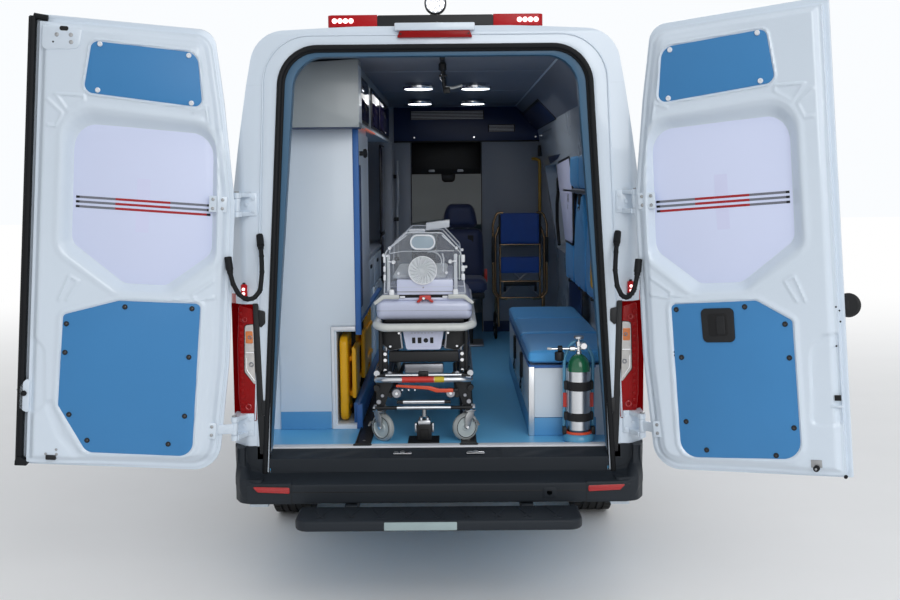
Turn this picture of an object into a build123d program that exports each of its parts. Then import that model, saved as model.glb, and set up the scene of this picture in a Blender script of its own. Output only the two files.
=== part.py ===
from build123d import *
import math
import os

# A high-roof van ambulance with its rear doors open, in mm: X right, Y forwards, Z up, ground at Z = 0

os.makedirs("parts", exist_ok=True)

# Vehicle layout
wheelbase = 4325
front_overhang = 1008
rear_overhang = 1514
front_axle_y = 2721
body_half_width = 1010
roof_height = 2640
sill_bottom = 340
load_floor = 705
floor_thickness = 85
wall = 90
nose_wall = 55
glass = 8
seat_gap = 0.3
running_fit = 0.1
panel_gap = 5

# Body shape
waist_height = 1120
shoulder_half_width = body_half_width - 165
shoulder_height = roof_height - 260
roof_corner_radius = 160
roof_joint_height = shoulder_height
rear_corner_half_width = body_half_width - 55
rear_face_half_width = body_half_width - 125
plan_slack = 8

# Openings of the load space
aperture_half_width = rear_face_half_width - 99
aperture_top = roof_height - 100
aperture_top_half_width = aperture_half_width - 82
aperture_radius = 150

# Rear doors, drawn closed and then turned open
hinge_x = rear_face_half_width + 24
hinge_height = 1200
hinge_tilt = 2.2
hinge_stand_off = 90
door_inner_stand_off = 10
rear_door_thickness = 65
rear_door_bottom = 650
rear_door_top = roof_height - 40
rear_door_skin = 12
seal_reach = 22
seal_clearance = 5
centre_gap = 11
left_door_angle = 173.3
right_door_angle = 150.2
knuckle_radius = 15
hinge_heights = (810, 1820)
knuckle_height = 60

# Wheels
tyre_radius = 356
tyre_width = 235
rim_radius = 208
front_track = 1706
rear_track = 1732
spindle_radius = 30
arch_radius = 440
kingpin_x = front_track / 2 - 73
kingpin_radius = 14

# Chassis
rail_x = 400
rail_width = 70
rail_height = 130

# Room
ceiling_height = roof_height - 140
partition_y_from_rear = 4184
partition_thickness = 40

# Places that follow
rear_axle_y = front_axle_y - wheelbase
nose_y = front_axle_y + front_overhang
rear_y = rear_axle_y - rear_overhang
length = nose_y - rear_y
floor_bottom = load_floor - floor_thickness
rail_bottom = floor_bottom - rail_height
partition_y = rear_y + partition_y_from_rear
tan_tilt = math.tan(math.radians(hinge_tilt))


def from_nose(distance):
    return nose_y - distance


def from_rear(distance):
    return rear_y + distance


def block(x, y, z, mode=Mode.ADD):
    """A box between two values on each axis."""
    (x0, x1), (y0, y1), (z0, z1) = sorted(x), sorted(y), sorted(z)
    with Locations(((x0 + x1) / 2, (y0 + y1) / 2, (z0 + z1) / 2)):
        Box(x1 - x0, y1 - y0, z1 - z0, mode=mode)


def drawn_in(rows, inset):
    """The same outline with each edge moved inwards by the inset."""
    count = len(rows)
    area = sum(rows[i - 1][0] * rows[i][1] - rows[i][0] * rows[i - 1][1] for i in range(count))
    turn = math.copysign(1, area)
    moved = []
    for i, (a, b, radius) in enumerate(rows):
        before = (Vector(a, b) - Vector(*rows[i - 1][:2])).normalized()
        after = (Vector(*rows[(i + 1) % count][:2]) - Vector(a, b)).normalized()
        bend = turn * before.cross(after).Z
        side = Vector(-before.Y, before.X) * turn
        share = inset * math.tan(math.acos(min(1, before.dot(after))) / 2) * math.copysign(1, bend)
        corner = Vector(a, b) + side * inset - before * share
        moved.append((corner.X, corner.Y, max(0, radius - math.copysign(inset, bend)) if radius else 0))
    return moved


def rounded_face(plane, rows, inset=0):
    """A face from rows of (first, second, corner radius) in the plane, drawn in by the inset."""
    rows = drawn_in(rows, inset) if inset else rows
    with BuildSketch(plane) as face:
        with BuildLine():
            FilletPolyline(*[row[:2] for row in rows], radius=[row[2] for row in rows], close=True)
        make_face()
    return face.sketch


def side_prism(rows, x, inset=0, mode=Mode.ADD):
    """A prism of a side view, rows of (y, z, radius), from one X to another."""
    extrude(rounded_face(Plane.YZ.offset(min(x)), rows, inset), amount=max(x) - min(x), mode=mode)


def end_prism(rows, y, inset=0, mode=Mode.ADD):
    """A prism of an end view, rows of (x, z, radius), from one Y to another."""
    extrude(rounded_face(Plane.XZ.offset(-max(y)), rows, inset), amount=max(y) - min(y), mode=mode)


def plan_prism(rows, z, inset=0, mode=Mode.ADD):
    """A prism of a plan view, rows of (x, y, radius), from one Z to another."""
    extrude(rounded_face(Plane.XY.offset(min(z)), rows, inset), amount=max(z) - min(z), mode=mode)


def rod(start, end, radius, mode=Mode.ADD):
    """A round bar between two points."""
    run = Vector(*end) - Vector(*start)
    with BuildSketch(Plane(origin=start, z_dir=run)) as section:
        Circle(radius)
    extrude(section.sketch, amount=run.length, mode=mode)


def both_sides(rows):
    """Half an outline, given for positive X from bottom to top, and its mirror image."""
    return rows + [(-a, b, radius) for a, b, radius in reversed(rows)]


def write(part, name):
    part.label = name
    export_step(part, f"parts/{name}.step")


# Body volume
def section_rows(bottom):
    """Columns: half width, height, corner radius."""
    return both_sides(
        [
            (body_half_width - 50, bottom, 0),
            (body_half_width, 620, 120),
            (body_half_width, waist_height, 500),
            (body_half_width - 25, waist_height + 400, 900),
            (shoulder_half_width, shoulder_height, 300),
            (shoulder_half_width - 45, roof_height - 26, roof_corner_radius),
            (300, roof_height, 1500),
        ]
    )


def profile_rows(bottom):
    """Columns: distance behind the nose, height, corner radius."""
    rows = [
        (60, bottom, 0),
        (0, 540, 120),
        (25, 800, 90),
        (140, 1010, 120),
        (windscreen_base[0], windscreen_base[1], 0),
        (windscreen_top[0], windscreen_top[1], 120),
        (2250, roof_height - 125, 500),
        (2760, roof_height, 900),
        (length, roof_height - 1, 45),
        (length, bottom, 0),
    ]
    return [(from_nose(back), height, radius) for back, height, radius in rows]


def plan_rows():
    """Columns: half width, distance behind the nose, corner radius."""
    rows = [
        (rear_face_half_width, length, 45),
        (rear_corner_half_width, length - 75, 60),
        (rear_corner_half_width + 12, length - 260, 200),
        (body_half_width + plan_slack, length - 1250, 2000),
        (body_half_width + plan_slack, 1500, 1500),
        (body_half_width - 75, 620, 400),
        (body_half_width - 220, 210, 260),
        (body_half_width - 580, 25, 300),
    ]
    return both_sides([(half, from_nose(back), radius) for half, back, radius in rows])


windscreen_base = (880, 1395)
windscreen_top = (1665, roof_height - 505)


def body_volume(inset, open_below):
    """The outer form of the whole body, drawn in by the inset."""
    bottom = sill_bottom - (2 * inset + 60 if open_below else 0)
    with BuildPart() as volume:
        end_prism(section_rows(bottom), (rear_y - 10, nose_y + 10), inset)
        side_prism(profile_rows(bottom), (-body_half_width - 10, body_half_width + 10), inset, Mode.INTERSECT)
        plan_prism(plan_rows(), (bottom - 10, roof_height + 10), inset, Mode.INTERSECT)
    return volume.part


outer_body = body_volume(0, False)
room_volume = body_volume(wall, True)
nose_volume = body_volume(nose_wall, True)
glass_volume = body_volume(glass, True)

# Outlines shared by panels
cab_front_y = from_nose(1280)
cab_door_rows = [
    (from_nose(1490), 500, 40),
    (from_nose(1285), 880, 200),
    (from_nose(1285), 1440, 60),
    (from_nose(1850), 2105, 120),
    (from_nose(2350), 2105, 90),
    (from_nose(2350), 500, 60),
]
cab_window_rows = [
    (from_nose(1430), 1470, 40),
    (from_nose(1880), 2030, 60),
    (from_nose(2270), 2030, 60),
    (from_nose(2270), 1440, 40),
]
windscreen_rows = both_sides([(820, 1445, 60), (700, 2075, 90)])
slide_door_rear_y = from_nose(3980)
slide_door_front_y = from_nose(2680)
slide_door_rows = [
    (slide_door_rear_y, 480, 60),
    (slide_door_front_y, 480, 60),
    (slide_door_front_y, 2300, 80),
    (slide_door_rear_y, 2300, 80),
]
slide_window_rows = [
    (slide_door_rear_y + 150, 1400, 70),
    (slide_door_front_y - 150, 1400, 70),
    (slide_door_front_y - 150, 2050, 70),
    (slide_door_rear_y + 150, 2050, 70),
]
aperture_rows = both_sides(
    [(aperture_half_width + 30, 0, 0), (aperture_half_width, load_floor - 60, 20),
     (aperture_top_half_width, aperture_top, aperture_radius)]
)
roof_rows = [
    (from_nose(1590), 2150, 0),
    (from_nose(2400), 2150, 0),
    (from_nose(2430), roof_joint_height, 0),
    (rear_y - 20, roof_joint_height, 0),
    (rear_y - 20, roof_height + 50, 0),
    (from_nose(1590), roof_height + 50, 0),
]
cab_rear_y = from_nose(2430)
bonnet_front_y = from_nose(105)
bonnet_rear_y = from_nose(850)
bonnet_half_width = 640
lamp_half_width = 470


def cut_front_arches():
    """Room for the turned front wheels, outside the chassis rails."""
    for side in (-1, 1):
        start = (side * 470, front_axle_y, tyre_radius)
        end = (side * (body_half_width + 20), front_axle_y, tyre_radius)
        rod(start, end, arch_radius, Mode.SUBTRACT)


# Roof
with BuildPart() as roof_panel:
    add(outer_body)
    add(room_volume, mode=Mode.SUBTRACT)
    side_prism(roof_rows, (-body_half_width - 5, body_half_width + 5), 0, Mode.INTERSECT)
    end_prism(aperture_rows, (rear_y - 20, rear_y + wall + 20), 0, Mode.SUBTRACT)
write(roof_panel.part, "roof_panel")

# Side walls with the rear pillars
lamp_inner_x = rear_face_half_width - 47
lamp_levels = (855, 1397)
skirt_bottom = 450
bumper_side_x = rear_face_half_width - 5
bumper_side_length = 330
bumper_corner_top = 738
for side, name in ((-1, "left"), (1, "right")):
    with BuildPart() as side_wall:
        add(outer_body)
        add(room_volume, mode=Mode.SUBTRACT)
        block((side * 300, side * 1100), (rear_y - 10, cab_rear_y - seat_gap),
              (sill_bottom - 10, roof_joint_height - seat_gap), Mode.INTERSECT)
        end_prism(aperture_rows, (rear_y - 20, rear_y + wall + 20), 0, Mode.SUBTRACT)
        rod((side * 600, rear_axle_y, tyre_radius), (side * 1100, rear_axle_y, tyre_radius),
            arch_radius - 10, Mode.SUBTRACT)
        if side == 1:
            side_prism(slide_door_rows, (500, 1100), 0, Mode.SUBTRACT)
        else:
            side_prism(slide_window_rows, (-1100, -500), 0, Mode.SUBTRACT)
        block((side * lamp_inner_x, side * 1100), (rear_y - 10, rear_y + 130), lamp_levels, Mode.SUBTRACT)
        block((side * 300, side * 1100), (rear_y - 10, rear_axle_y), (sill_bottom - 10, skirt_bottom), Mode.SUBTRACT)
        block((side * bumper_side_x, side * 1100), (rear_y - 10, rear_y + bumper_side_length + seat_gap),
              (sill_bottom - 10, bumper_corner_top + seat_gap), Mode.SUBTRACT)
    write(side_wall.part, f"side_wall_{name}")

# Tail lamps with the high-level brake lamp
with BuildPart() as high_lamp:
    block((-175, 175), (rear_y - 22, rear_y + 30), (roof_height - 25, roof_height + 4))
    add(outer_body, mode=Mode.SUBTRACT)
with BuildPart() as tail_lamps:
    add(outer_body)
    block((-1100, 1100), (rear_y - 10, rear_y + 130 - seat_gap),
          (lamp_levels[0] + seat_gap, lamp_levels[1] - seat_gap), Mode.INTERSECT)
    block((-lamp_inner_x - seat_gap, lamp_inner_x + seat_gap), (rear_y - 20, rear_y + 200), (800, 1450), Mode.SUBTRACT)
    add(body_volume(60, True), mode=Mode.SUBTRACT)
    for side in (-1, 1):
        block((side * (lamp_inner_x - 38), side * (lamp_inner_x + 42)), (rear_y + 60, rear_y + 200), (800, 1450),
              Mode.SUBTRACT)
    add(high_lamp.part)
write(tail_lamps.part, "tail_lamps")

# Sliding door of the right side
with BuildPart() as sliding_door:
    add(outer_body)
    add(room_volume, mode=Mode.SUBTRACT)
    side_prism(slide_door_rows, (500, 1100), 4, Mode.INTERSECT)
    side_prism(slide_window_rows, (500, 1100), 0, Mode.SUBTRACT)
    for y in (slide_door_rear_y + 200, slide_door_front_y - 260):
        block((body_half_width - 80, body_half_width - 50), (y, y + 60), (480 + seat_gap, 490))
write(sliding_door.part, "sliding_door")

# Fixed panes of the room
with BuildPart() as side_windows:
    add(outer_body)
    add(glass_volume, mode=Mode.SUBTRACT)
    side_prism(slide_window_rows, (-1100, 1100), seat_gap, Mode.INTERSECT)
write(side_windows.part, "side_windows")

# Cab shell: pillars, sills, cowl and fire wall
cab_rows = [
    (from_nose(865), 1330, 0),
    (cab_front_y, 1330, 0),
    (cab_front_y, 200, 0),
    (cab_rear_y, 200, 0),
    (cab_rear_y, 2150 + 190, 0),
    (from_nose(2400) - 4, 2150 - seat_gap, 0),
    (from_nose(1590), 2150 - seat_gap, 0),
    (from_nose(865), 1600, 0),
]
with BuildPart() as cab_shell:
    add(outer_body)
    add(room_volume, mode=Mode.SUBTRACT)
    side_prism(cab_rows, (-1100, 1100), 0, Mode.INTERSECT)
    side_prism(cab_door_rows, (-1100, -500), 0, Mode.SUBTRACT)
    side_prism(cab_door_rows, (500, 1100), 0, Mode.SUBTRACT)
    end_prism(windscreen_rows, (from_nose(1900), from_nose(700)), 0, Mode.SUBTRACT)
    block((-880, 880), (from_nose(1310), from_nose(1282)), (load_floor + seat_gap, 1400))
    cut_front_arches()
write(cab_shell.part, "cab_shell")

with BuildPart() as windscreen:
    add(outer_body)
    add(glass_volume, mode=Mode.SUBTRACT)
    end_prism(windscreen_rows, (from_nose(1900), from_nose(700)), seat_gap, Mode.INTERSECT)
write(windscreen.part, "windscreen")

# Nose: wings, bonnet, grille, head lamps and bumper share one thick outer form
lamp_z = (770, 1015)
bumper_top = 690


def nose_panel():
    add(outer_body)
    add(nose_volume, mode=Mode.SUBTRACT)


def bonnet_outline(inset):
    return both_sides(
        [
            (bonnet_half_width - inset, bonnet_rear_y + inset, 0),
            (bonnet_half_width - inset, bonnet_rear_y + 170, 300),
            (560 - inset, bonnet_front_y - inset, 20),
        ]
    )


with BuildPart() as bonnet:
    nose_panel()
    plan_prism(bonnet_outline(panel_gap), (900, 1450), 0, Mode.INTERSECT)
    block((-700, 700), (from_nose(0), from_nose(900)), (lamp_z[1] + panel_gap, 1450), Mode.INTERSECT)
bonnet_pivot = (bonnet_rear_y + 40, 1345)
with BuildPart() as bonnet_bored:
    add(bonnet.part)
    for side in (-1, 1):
        rod((side * (bonnet_half_width - 90), *bonnet_pivot), (side * bonnet_half_width, *bonnet_pivot),
            6 + running_fit, Mode.SUBTRACT)
write(bonnet_bored.part, "bonnet")

with BuildPart() as front_wings:
    nose_panel()
    block((-1100, 1100), (cab_front_y + 3, from_nose(60)), (bumper_top, 1400), Mode.INTERSECT)
    block((-1100, 1100), (from_nose(865) - 500, from_nose(865) + 3), (1330 - seat_gap, 1500), Mode.SUBTRACT)
    plan_prism(bonnet_outline(0), (900, 1450), 0, Mode.SUBTRACT)
    block((-bonnet_half_width, bonnet_half_width), (from_nose(900), from_nose(840)), (900, 1450), Mode.SUBTRACT)
    block((-560, 560), (from_nose(300), from_nose(-20)), (500, 1100), Mode.SUBTRACT)
    for side in (-1, 1):
        block((side * 400, side * 840), (from_nose(480), from_nose(-20)), (600, lamp_z[1]), Mode.SUBTRACT)
        rod((side * (bonnet_half_width - 60), *bonnet_pivot), (side * (bonnet_half_width + 20), *bonnet_pivot), 6)
    cut_front_arches()
write(front_wings.part, "front_wings")

with BuildPart() as headlamps:
    nose_panel()
    block((-1100, 1100), (from_nose(480) + seat_gap, from_nose(-20)), (bumper_top + seat_gap, lamp_z[1] - seat_gap),
          Mode.INTERSECT)
    block((-lamp_half_width, lamp_half_width), (from_nose(600), from_nose(-50)), (500, 1100), Mode.SUBTRACT)
    for side in (-1, 1):
        block((side * (840 - seat_gap), side * 1100), (from_nose(600), from_nose(-50)), (500, 1100), Mode.SUBTRACT)
    cut_front_arches()
write(headlamps.part, "headlamps")

with BuildPart() as grille:
    nose_panel()
    block((-lamp_half_width + seat_gap, lamp_half_width - seat_gap), (from_nose(300), from_nose(-20)),
          (bumper_top + seat_gap, lamp_z[1] - seat_gap), Mode.INTERSECT)
    for level in (760, 830, 900):
        block((-lamp_half_width + 30, lamp_half_width - 30), (from_nose(300), from_nose(-20)),
              (level, level + 38), Mode.SUBTRACT)
write(grille.part, "grille")

with BuildPart() as front_bumper:
    nose_panel()
    block((-1100, 1100), (from_nose(700), from_nose(-20)), (sill_bottom - 5, bumper_top - seat_gap), Mode.INTERSECT)
    block((-350, 350), (from_nose(200), from_nose(-20)), (430, 530), Mode.SUBTRACT)
    cut_front_arches()
write(front_bumper.part, "front_bumper")

# Cab doors with their windows and mirrors
cab_hinge = (body_half_width + 8, from_nose(1280))
cab_knuckle_radius = 9
cab_knuckle_levels = (930, 1300)
with BuildPart() as cab_hinge_posts:
    for side in (-1, 1):
        for level in cab_knuckle_levels:
            place = (side * cab_hinge[0], cab_hinge[1])
            rod((*place, level), (*place, level + 40), cab_knuckle_radius)
            block((side * (body_half_width - 50), side * cab_hinge[0]), (cab_hinge[1] + 1, cab_hinge[1] + 9), (level, level + 40))
    add(outer_body, mode=Mode.SUBTRACT)

for side, name in ((-1, "left"), (1, "right")):
    span = (side * 500, side * 1100)
    with BuildPart() as cab_door:
        add(outer_body)
        add(room_volume, mode=Mode.SUBTRACT)
        side_prism(cab_door_rows, span, panel_gap, Mode.INTERSECT)
        side_prism(cab_window_rows, span, 0, Mode.SUBTRACT)
        for level in cab_knuckle_levels:
            place = (side * cab_hinge[0], cab_hinge[1])
            low = level + 40 + seat_gap
            rod((*place, low), (*place, low + 40), cab_knuckle_radius)
            block((side * (body_half_width - 8), side * cab_hinge[0]), (cab_hinge[1] - 60, cab_hinge[1]), (low, low + 40))
            block((side * (body_half_width - 20), side * cab_hinge[0]), (cab_hinge[1] - 60, cab_hinge[1] - 20), (low, low + 40))
    write(cab_door.part, f"cab_door_{name}")
    with BuildPart() as cab_window:
        add(outer_body)
        add(glass_volume, mode=Mode.SUBTRACT)
        side_prism(cab_window_rows, span, seat_gap, Mode.INTERSECT)
    write(cab_window.part, f"cab_window_{name}")
    with BuildPart() as mirror:
        mirror_y = from_nose(1500)
        block((side * (body_half_width + 75), side * (body_half_width + 260)), (mirror_y - 45, mirror_y + 45),
              (1430, 1800))
        fillet(mirror.edges().filter_by(Axis.Z), 30)
        for level in (1460, 1600):
            block((side * (body_half_width - 50), side * (body_half_width + 80)), (mirror_y - 15, mirror_y + 15),
                  (level, level + 30))
        add(outer_body, mode=Mode.SUBTRACT)
    write(mirror.part, f"mirror_{name}")

# Rear doors
rear_door_skin_y = from_rear(-door_inner_stand_off - rear_door_thickness)
rear_door_inner_y = from_rear(-door_inner_stand_off)
hinge_y = from_rear(-hinge_stand_off)


def hinge_line_x(height):
    return hinge_x - (height - hinge_height) * tan_tilt


rear_door_half_rows = [
    (centre_gap / 2, rear_door_bottom, 8),
    (hinge_x - 45, rear_door_bottom, 120),
    (hinge_x - 21, 1150, 500),
    (hinge_x - 31, 1850, 600),
    (hinge_x - 97, rear_door_top - 310, 500),
    (hinge_x - 155, rear_door_top, 80),
    (centre_gap / 2, rear_door_top + 10, 8),
]
inner_free_edge = seal_reach + 8
door_inner_half_rows = [
    (inner_free_edge, rear_door_bottom, 8),
    *rear_door_half_rows[1:-1],
    (inner_free_edge, rear_door_top + 10, 8),
]
rear_window_half_rows = [
    (203, 1655, 60),
    (425, 1490, 50),
    (590, 1490, 50),
    (hinge_x - 129, 1640, 60),
    (hinge_x - 144, 2135, 90),
    (197, 2140, 90),
]
hinge_pocket_x = hinge_x - 74
hinge_pocket_reach = 45


def on_side(side, rows):
    return [(side * x, z, radius) for x, z, radius in rows]


def hinge_axis(side):
    direction = (-side * math.sin(math.radians(hinge_tilt)), 0, math.cos(math.radians(hinge_tilt)))
    return Axis((side * hinge_x, hinge_y, hinge_height), direction)


def on_hinge(side, height):
    return (side * hinge_line_x(height), hinge_y, height)


door_angles = {-1: -left_door_angle, 1: right_door_angle}
handle_x = -4
handle_z = 1365
handle_radius = 50
handle_height = 28
for side, name in ((-1, "left"), (1, "right")):
    with BuildPart() as rear_door:
        end_prism(on_side(side, rear_door_half_rows), (rear_door_skin_y, rear_door_skin_y + rear_door_skin))
        end_prism(on_side(side, door_inner_half_rows), (rear_door_skin_y + rear_door_skin - 1, rear_door_inner_y))
        end_prism(on_side(side, rear_window_half_rows), (rear_door_skin_y - 5, rear_door_inner_y + 5), 0,
                  Mode.SUBTRACT)
        for level in hinge_heights:
            block((side * hinge_pocket_x, side * 1000), (rear_door_skin_y - 5, rear_door_inner_y + 5),
                  (level - hinge_pocket_reach, level + knuckle_height + hinge_pocket_reach), Mode.SUBTRACT)
            rod(on_hinge(side, level), on_hinge(side, level + knuckle_height), knuckle_radius)
            block((side * hinge_line_x(level), side * (hinge_pocket_x - 60)),
                  (rear_door_skin_y - 8, rear_door_skin_y + 12),
                  (level + 4, level + knuckle_height - 4))
        if side == 1:
            rod((handle_x, rear_door_skin_y - seal_clearance, handle_z),
                (handle_x, rear_door_skin_y - handle_height, handle_z), handle_radius)
            block((centre_gap / 2 + 3, handle_radius + 10), (rear_door_skin_y + 1, rear_door_skin_y - handle_height),
                  (handle_z - 20, handle_z + 20))
        else:
            block((seal_reach, -inner_free_edge - 5),
                  (rear_door_skin_y + rear_door_skin + seal_clearance, rear_door_inner_y - 5),
                  (rear_door_bottom + 30, rear_door_top - 30))
    write(rear_door.part.rotate(hinge_axis(side), door_angles[side]), f"rear_door_{name}")
    with BuildPart() as rear_window:
        end_prism(on_side(side, rear_window_half_rows), (rear_door_skin_y + 12, rear_door_skin_y + 12 + glass),
                  seat_gap)
    write(rear_window.part.rotate(hinge_axis(side), door_angles[side]), f"rear_window_{name}")

with BuildPart() as door_hinges:
    for side in (-1, 1):
        for level in hinge_heights:
            for low, high in ((level - 24, level - seat_gap),
                              (level + knuckle_height + seat_gap, level + knuckle_height + 24)):
                rod(on_hinge(side, low), on_hinge(side, high), knuckle_radius)
                block((side * (hinge_line_x(level) - 20), side * (hinge_line_x(level) + 12)),
                      (hinge_y, rear_y + 90), (low + 1, high - 1))
    add(outer_body, mode=Mode.SUBTRACT)
    add(cab_hinge_posts.part)
write(door_hinges.part, "door_hinges")

# Floor pan with the rear wheel housings
with BuildPart() as floor_pan:
    add(room_volume)
    block((-1100, 1100), (rear_y - 10, from_nose(1290)), (floor_bottom, load_floor), Mode.INTERSECT)
    for side in (-1, 1):
        block((side * 680, side * 905), (rear_axle_y - 450, rear_axle_y + 450), (floor_bottom, 860))
    for side in (-1, 1):
        block((side * 700, side * 1100), (rear_axle_y - 430, rear_axle_y + 430), (floor_bottom - 10, 840),
              Mode.SUBTRACT)
    cut_front_arches()
    block((-aperture_half_width + 4, aperture_half_width - 4), (rear_y, rear_y + wall + 4),
          (floor_bottom, load_floor))
    side_prism([(rear_y - 5, 668, 0), (rear_y + 120, load_floor, 0), (rear_y + 120, load_floor + 20, 0),
                (rear_y - 5, load_floor + 20, 0)], (-900, 900), 0, Mode.SUBTRACT)
write(floor_pan.part, "floor_pan")

with BuildPart() as rear_sill:
    side_prism([(rear_y - 0.5, 607, 0), (rear_y - 0.5, 669.9, 0), (rear_y + 120, load_floor + 0.6, 0),
                (rear_y + 140, load_floor + 0.6, 0), (rear_y + 140, load_floor + 5, 0),
                (rear_y + 118, load_floor + 5, 0), (rear_y - 4.5, 674, 0), (rear_y - 4.5, 607, 0)],
               (-aperture_half_width + 8, aperture_half_width - 8))

# Rear bumper and step
tow_hole_radius = 12
tow_hole_x = 500
tow_z = 540
bumper_bottom = 495
bumper_shelf = 585
bumper_front_y = rear_y - 120
bumper_half_width = body_half_width - 140
bumper_rows = [
    (rear_y - seat_gap, bumper_bottom, 0),
    (bumper_front_y, bumper_bottom, 15),
    (bumper_front_y, bumper_shelf, 15),
    (rear_y - seat_gap, bumper_shelf + 27, 0),
]
bumper_corner_rows = [
    (bumper_half_width - 70, bumper_front_y + 2, 20),
    (bumper_half_width + 30, bumper_front_y + 20, 60),
    (bumper_half_width + 68, rear_y - 20, 60),
    (bumper_half_width + 105, rear_y + bumper_side_length, 0),
    (bumper_side_x + 12, rear_y + bumper_side_length, 0),
    (bumper_side_x + 12, rear_y - seat_gap, 0),
    (bumper_half_width - 70, rear_y - seat_gap, 0),
]
bumper_side_rows = [
    (bumper_side_x + 10, rear_y - 45, 0),
    (bumper_half_width + 55, rear_y - 45, 30),
    (bumper_half_width + 70, rear_y + 40, 200),
    (bumper_half_width + 105, rear_y + bumper_side_length, 0),
    (bumper_side_x + 10, rear_y + bumper_side_length, 0),
]
with BuildPart() as rear_bumper:
    side_prism(bumper_rows, (-bumper_half_width, bumper_half_width))
    for side in (-1, 1):
        corner_rows = [(side * x, y, radius) for x, y, radius in bumper_corner_rows]
        plan_prism(corner_rows, (bumper_bottom, bumper_shelf + 20))
        side_rows = [(side * x, y, radius) for x, y, radius in bumper_side_rows]
        plan_prism(side_rows, (bumper_bottom, bumper_corner_top))
        block((side * (bumper_side_x + 15), side * (aperture_half_width + 14)), (rear_y - 4.5, rear_y - seat_gap),
              (bumper_bottom + 20, bumper_corner_top))
    rod((tow_hole_x, bumper_front_y - 10, tow_z), (tow_hole_x, rear_y + 10, tow_z), tow_hole_radius, Mode.SUBTRACT)
    add(rear_sill.part)
write(rear_bumper.part, "rear_bumper")

step_half_width = 630
step_bottom = rail_bottom - 53
with BuildPart() as rear_step:
    block((-step_half_width, step_half_width), (from_rear(-360), bumper_front_y - 5), (step_bottom, rail_bottom))
    fillet(rear_step.edges().filter_by(Axis.Z), 30)
    for side in (-1, 1):
        block((side * (rail_x - 30), side * (rail_x + 30)), (bumper_front_y - 20, from_rear(260)),
              (step_bottom + 1, rail_bottom - seat_gap))
write(rear_step.part, "rear_step")

# Roof lamps
light_bar_levels = (roof_height + 20, roof_height + 75)
work_lamp_z = light_bar_levels[1] + 65
with BuildPart() as light_bars:
    for y in (from_rear(350), from_nose(2900)):
        block((-500, 500), (y - 130, y + 130), light_bar_levels)
        for side in (-1, 1):
            block((side * 400, side * 440), (y - 60, y + 60), (roof_height - 40, light_bar_levels[0] + 5))
    rod((0, from_rear(320), work_lamp_z), (0, from_rear(400), work_lamp_z), 53)
    block((-20, 20), (from_rear(345), from_rear(380)), (light_bar_levels[1] - 5, work_lamp_z - 40))
    add(outer_body, mode=Mode.SUBTRACT)
write(light_bars.part, "light_bars")

# Chassis with the fixed front suspension
arm_levels = (225, 460)
arm_thickness = 30
with BuildPart() as chassis_frame:
    for side in (-1, 1):
        x = side * rail_x
        block((x - rail_width / 2, x + rail_width / 2), (from_rear(30), from_nose(250)),
              (rail_bottom, floor_bottom - seat_gap))
        for low in arm_levels:
            block((side * 440, side * (kingpin_x + 26)), (front_axle_y - 25, front_axle_y + 25),
                  (low, low + arm_thickness))
            rod((side * kingpin_x, front_axle_y, low - 1), (side * kingpin_x, front_axle_y, low + arm_thickness + 1),
                kingpin_radius + running_fit, Mode.SUBTRACT)
        block((side * 430, side * 462), (front_axle_y - 60, front_axle_y + 60), (225, 950))
        block((side * 430, side * 700), (front_axle_y - 60, front_axle_y + 60), (930, 950))
        rod((side * 655, front_axle_y, 490), (side * 655, front_axle_y, 935), 22)
    for y in (from_rear(140), rear_axle_y + 700, rear_axle_y - 700, -100, 900, front_axle_y - 520,
              from_nose(300)):
        block((-rail_x, rail_x), (y - 30, y + 30), (rail_bottom + 15, floor_bottom - 15))
    block((-440, 440), (front_axle_y - 90, front_axle_y + 90), (225, 300))
write(chassis_frame.part, "chassis_frame")

# Rear axle with its leaf springs
spring_x = rail_x
with BuildPart() as rear_axle:
    axle_rows = both_sides([(rear_track / 2 + 65, 0, 0), (rear_track / 2 + 65, spindle_radius, 0),
                            (rear_track / 2 - 60, spindle_radius, 0), (rear_track / 2 - 60, 42, 0),
                            (150, 42, 40), (110, 150, 60)])
    placed = [(x, tyre_radius + radius, corner) for x, radius, corner in axle_rows]
    revolve(rounded_face(Plane.XZ.offset(-rear_axle_y), placed), Axis((0, rear_axle_y, tyre_radius), (1, 0, 0)))
    for side in (-1, 1):
        x = side * spring_x
        with BuildSketch(Plane.YZ.offset(x - 35)) as leaf:
            with BuildLine():
                ThreePointArc((rear_axle_y - 680, 478), (rear_axle_y, 398), (rear_axle_y + 680, 478))
                Line((rear_axle_y + 680, 478), (rear_axle_y + 680, rail_bottom - seat_gap))
                Line((rear_axle_y + 680, rail_bottom - seat_gap), (rear_axle_y + 640, rail_bottom - seat_gap))
                ThreePointArc((rear_axle_y + 640, rail_bottom - seat_gap), (rear_axle_y, 430),
                              (rear_axle_y - 640, rail_bottom - seat_gap))
                Line((rear_axle_y - 640, rail_bottom - seat_gap), (rear_axle_y - 680, rail_bottom - seat_gap))
                Line((rear_axle_y - 680, rail_bottom - seat_gap), (rear_axle_y - 680, 478))
            make_face()
        extrude(leaf.sketch, amount=70)
write(rear_axle.part, "rear_axle")

# Engine, drive line, tank and exhaust
with BuildPart() as engine_block:
    block((-260, 260), (from_nose(1130), from_nose(420)), (480, 1080))
    block((-330, 330), (front_axle_y - 40, front_axle_y + 40), (480, 489))
    block((-330, 330), (front_axle_y - 40, front_axle_y + 40), (300 + seat_gap, 484))
write(engine_block.part, "engine_block")

with BuildPart() as drive_line:
    block((-170, 170), (from_nose(1900), from_nose(1130) - seat_gap), (370, 500))
    rod((0, from_nose(1900) + 5, 430), (0, rear_axle_y + 149, 370), 40)
    add(rear_axle.part, mode=Mode.SUBTRACT)
write(drive_line.part, "drive_line")

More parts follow.
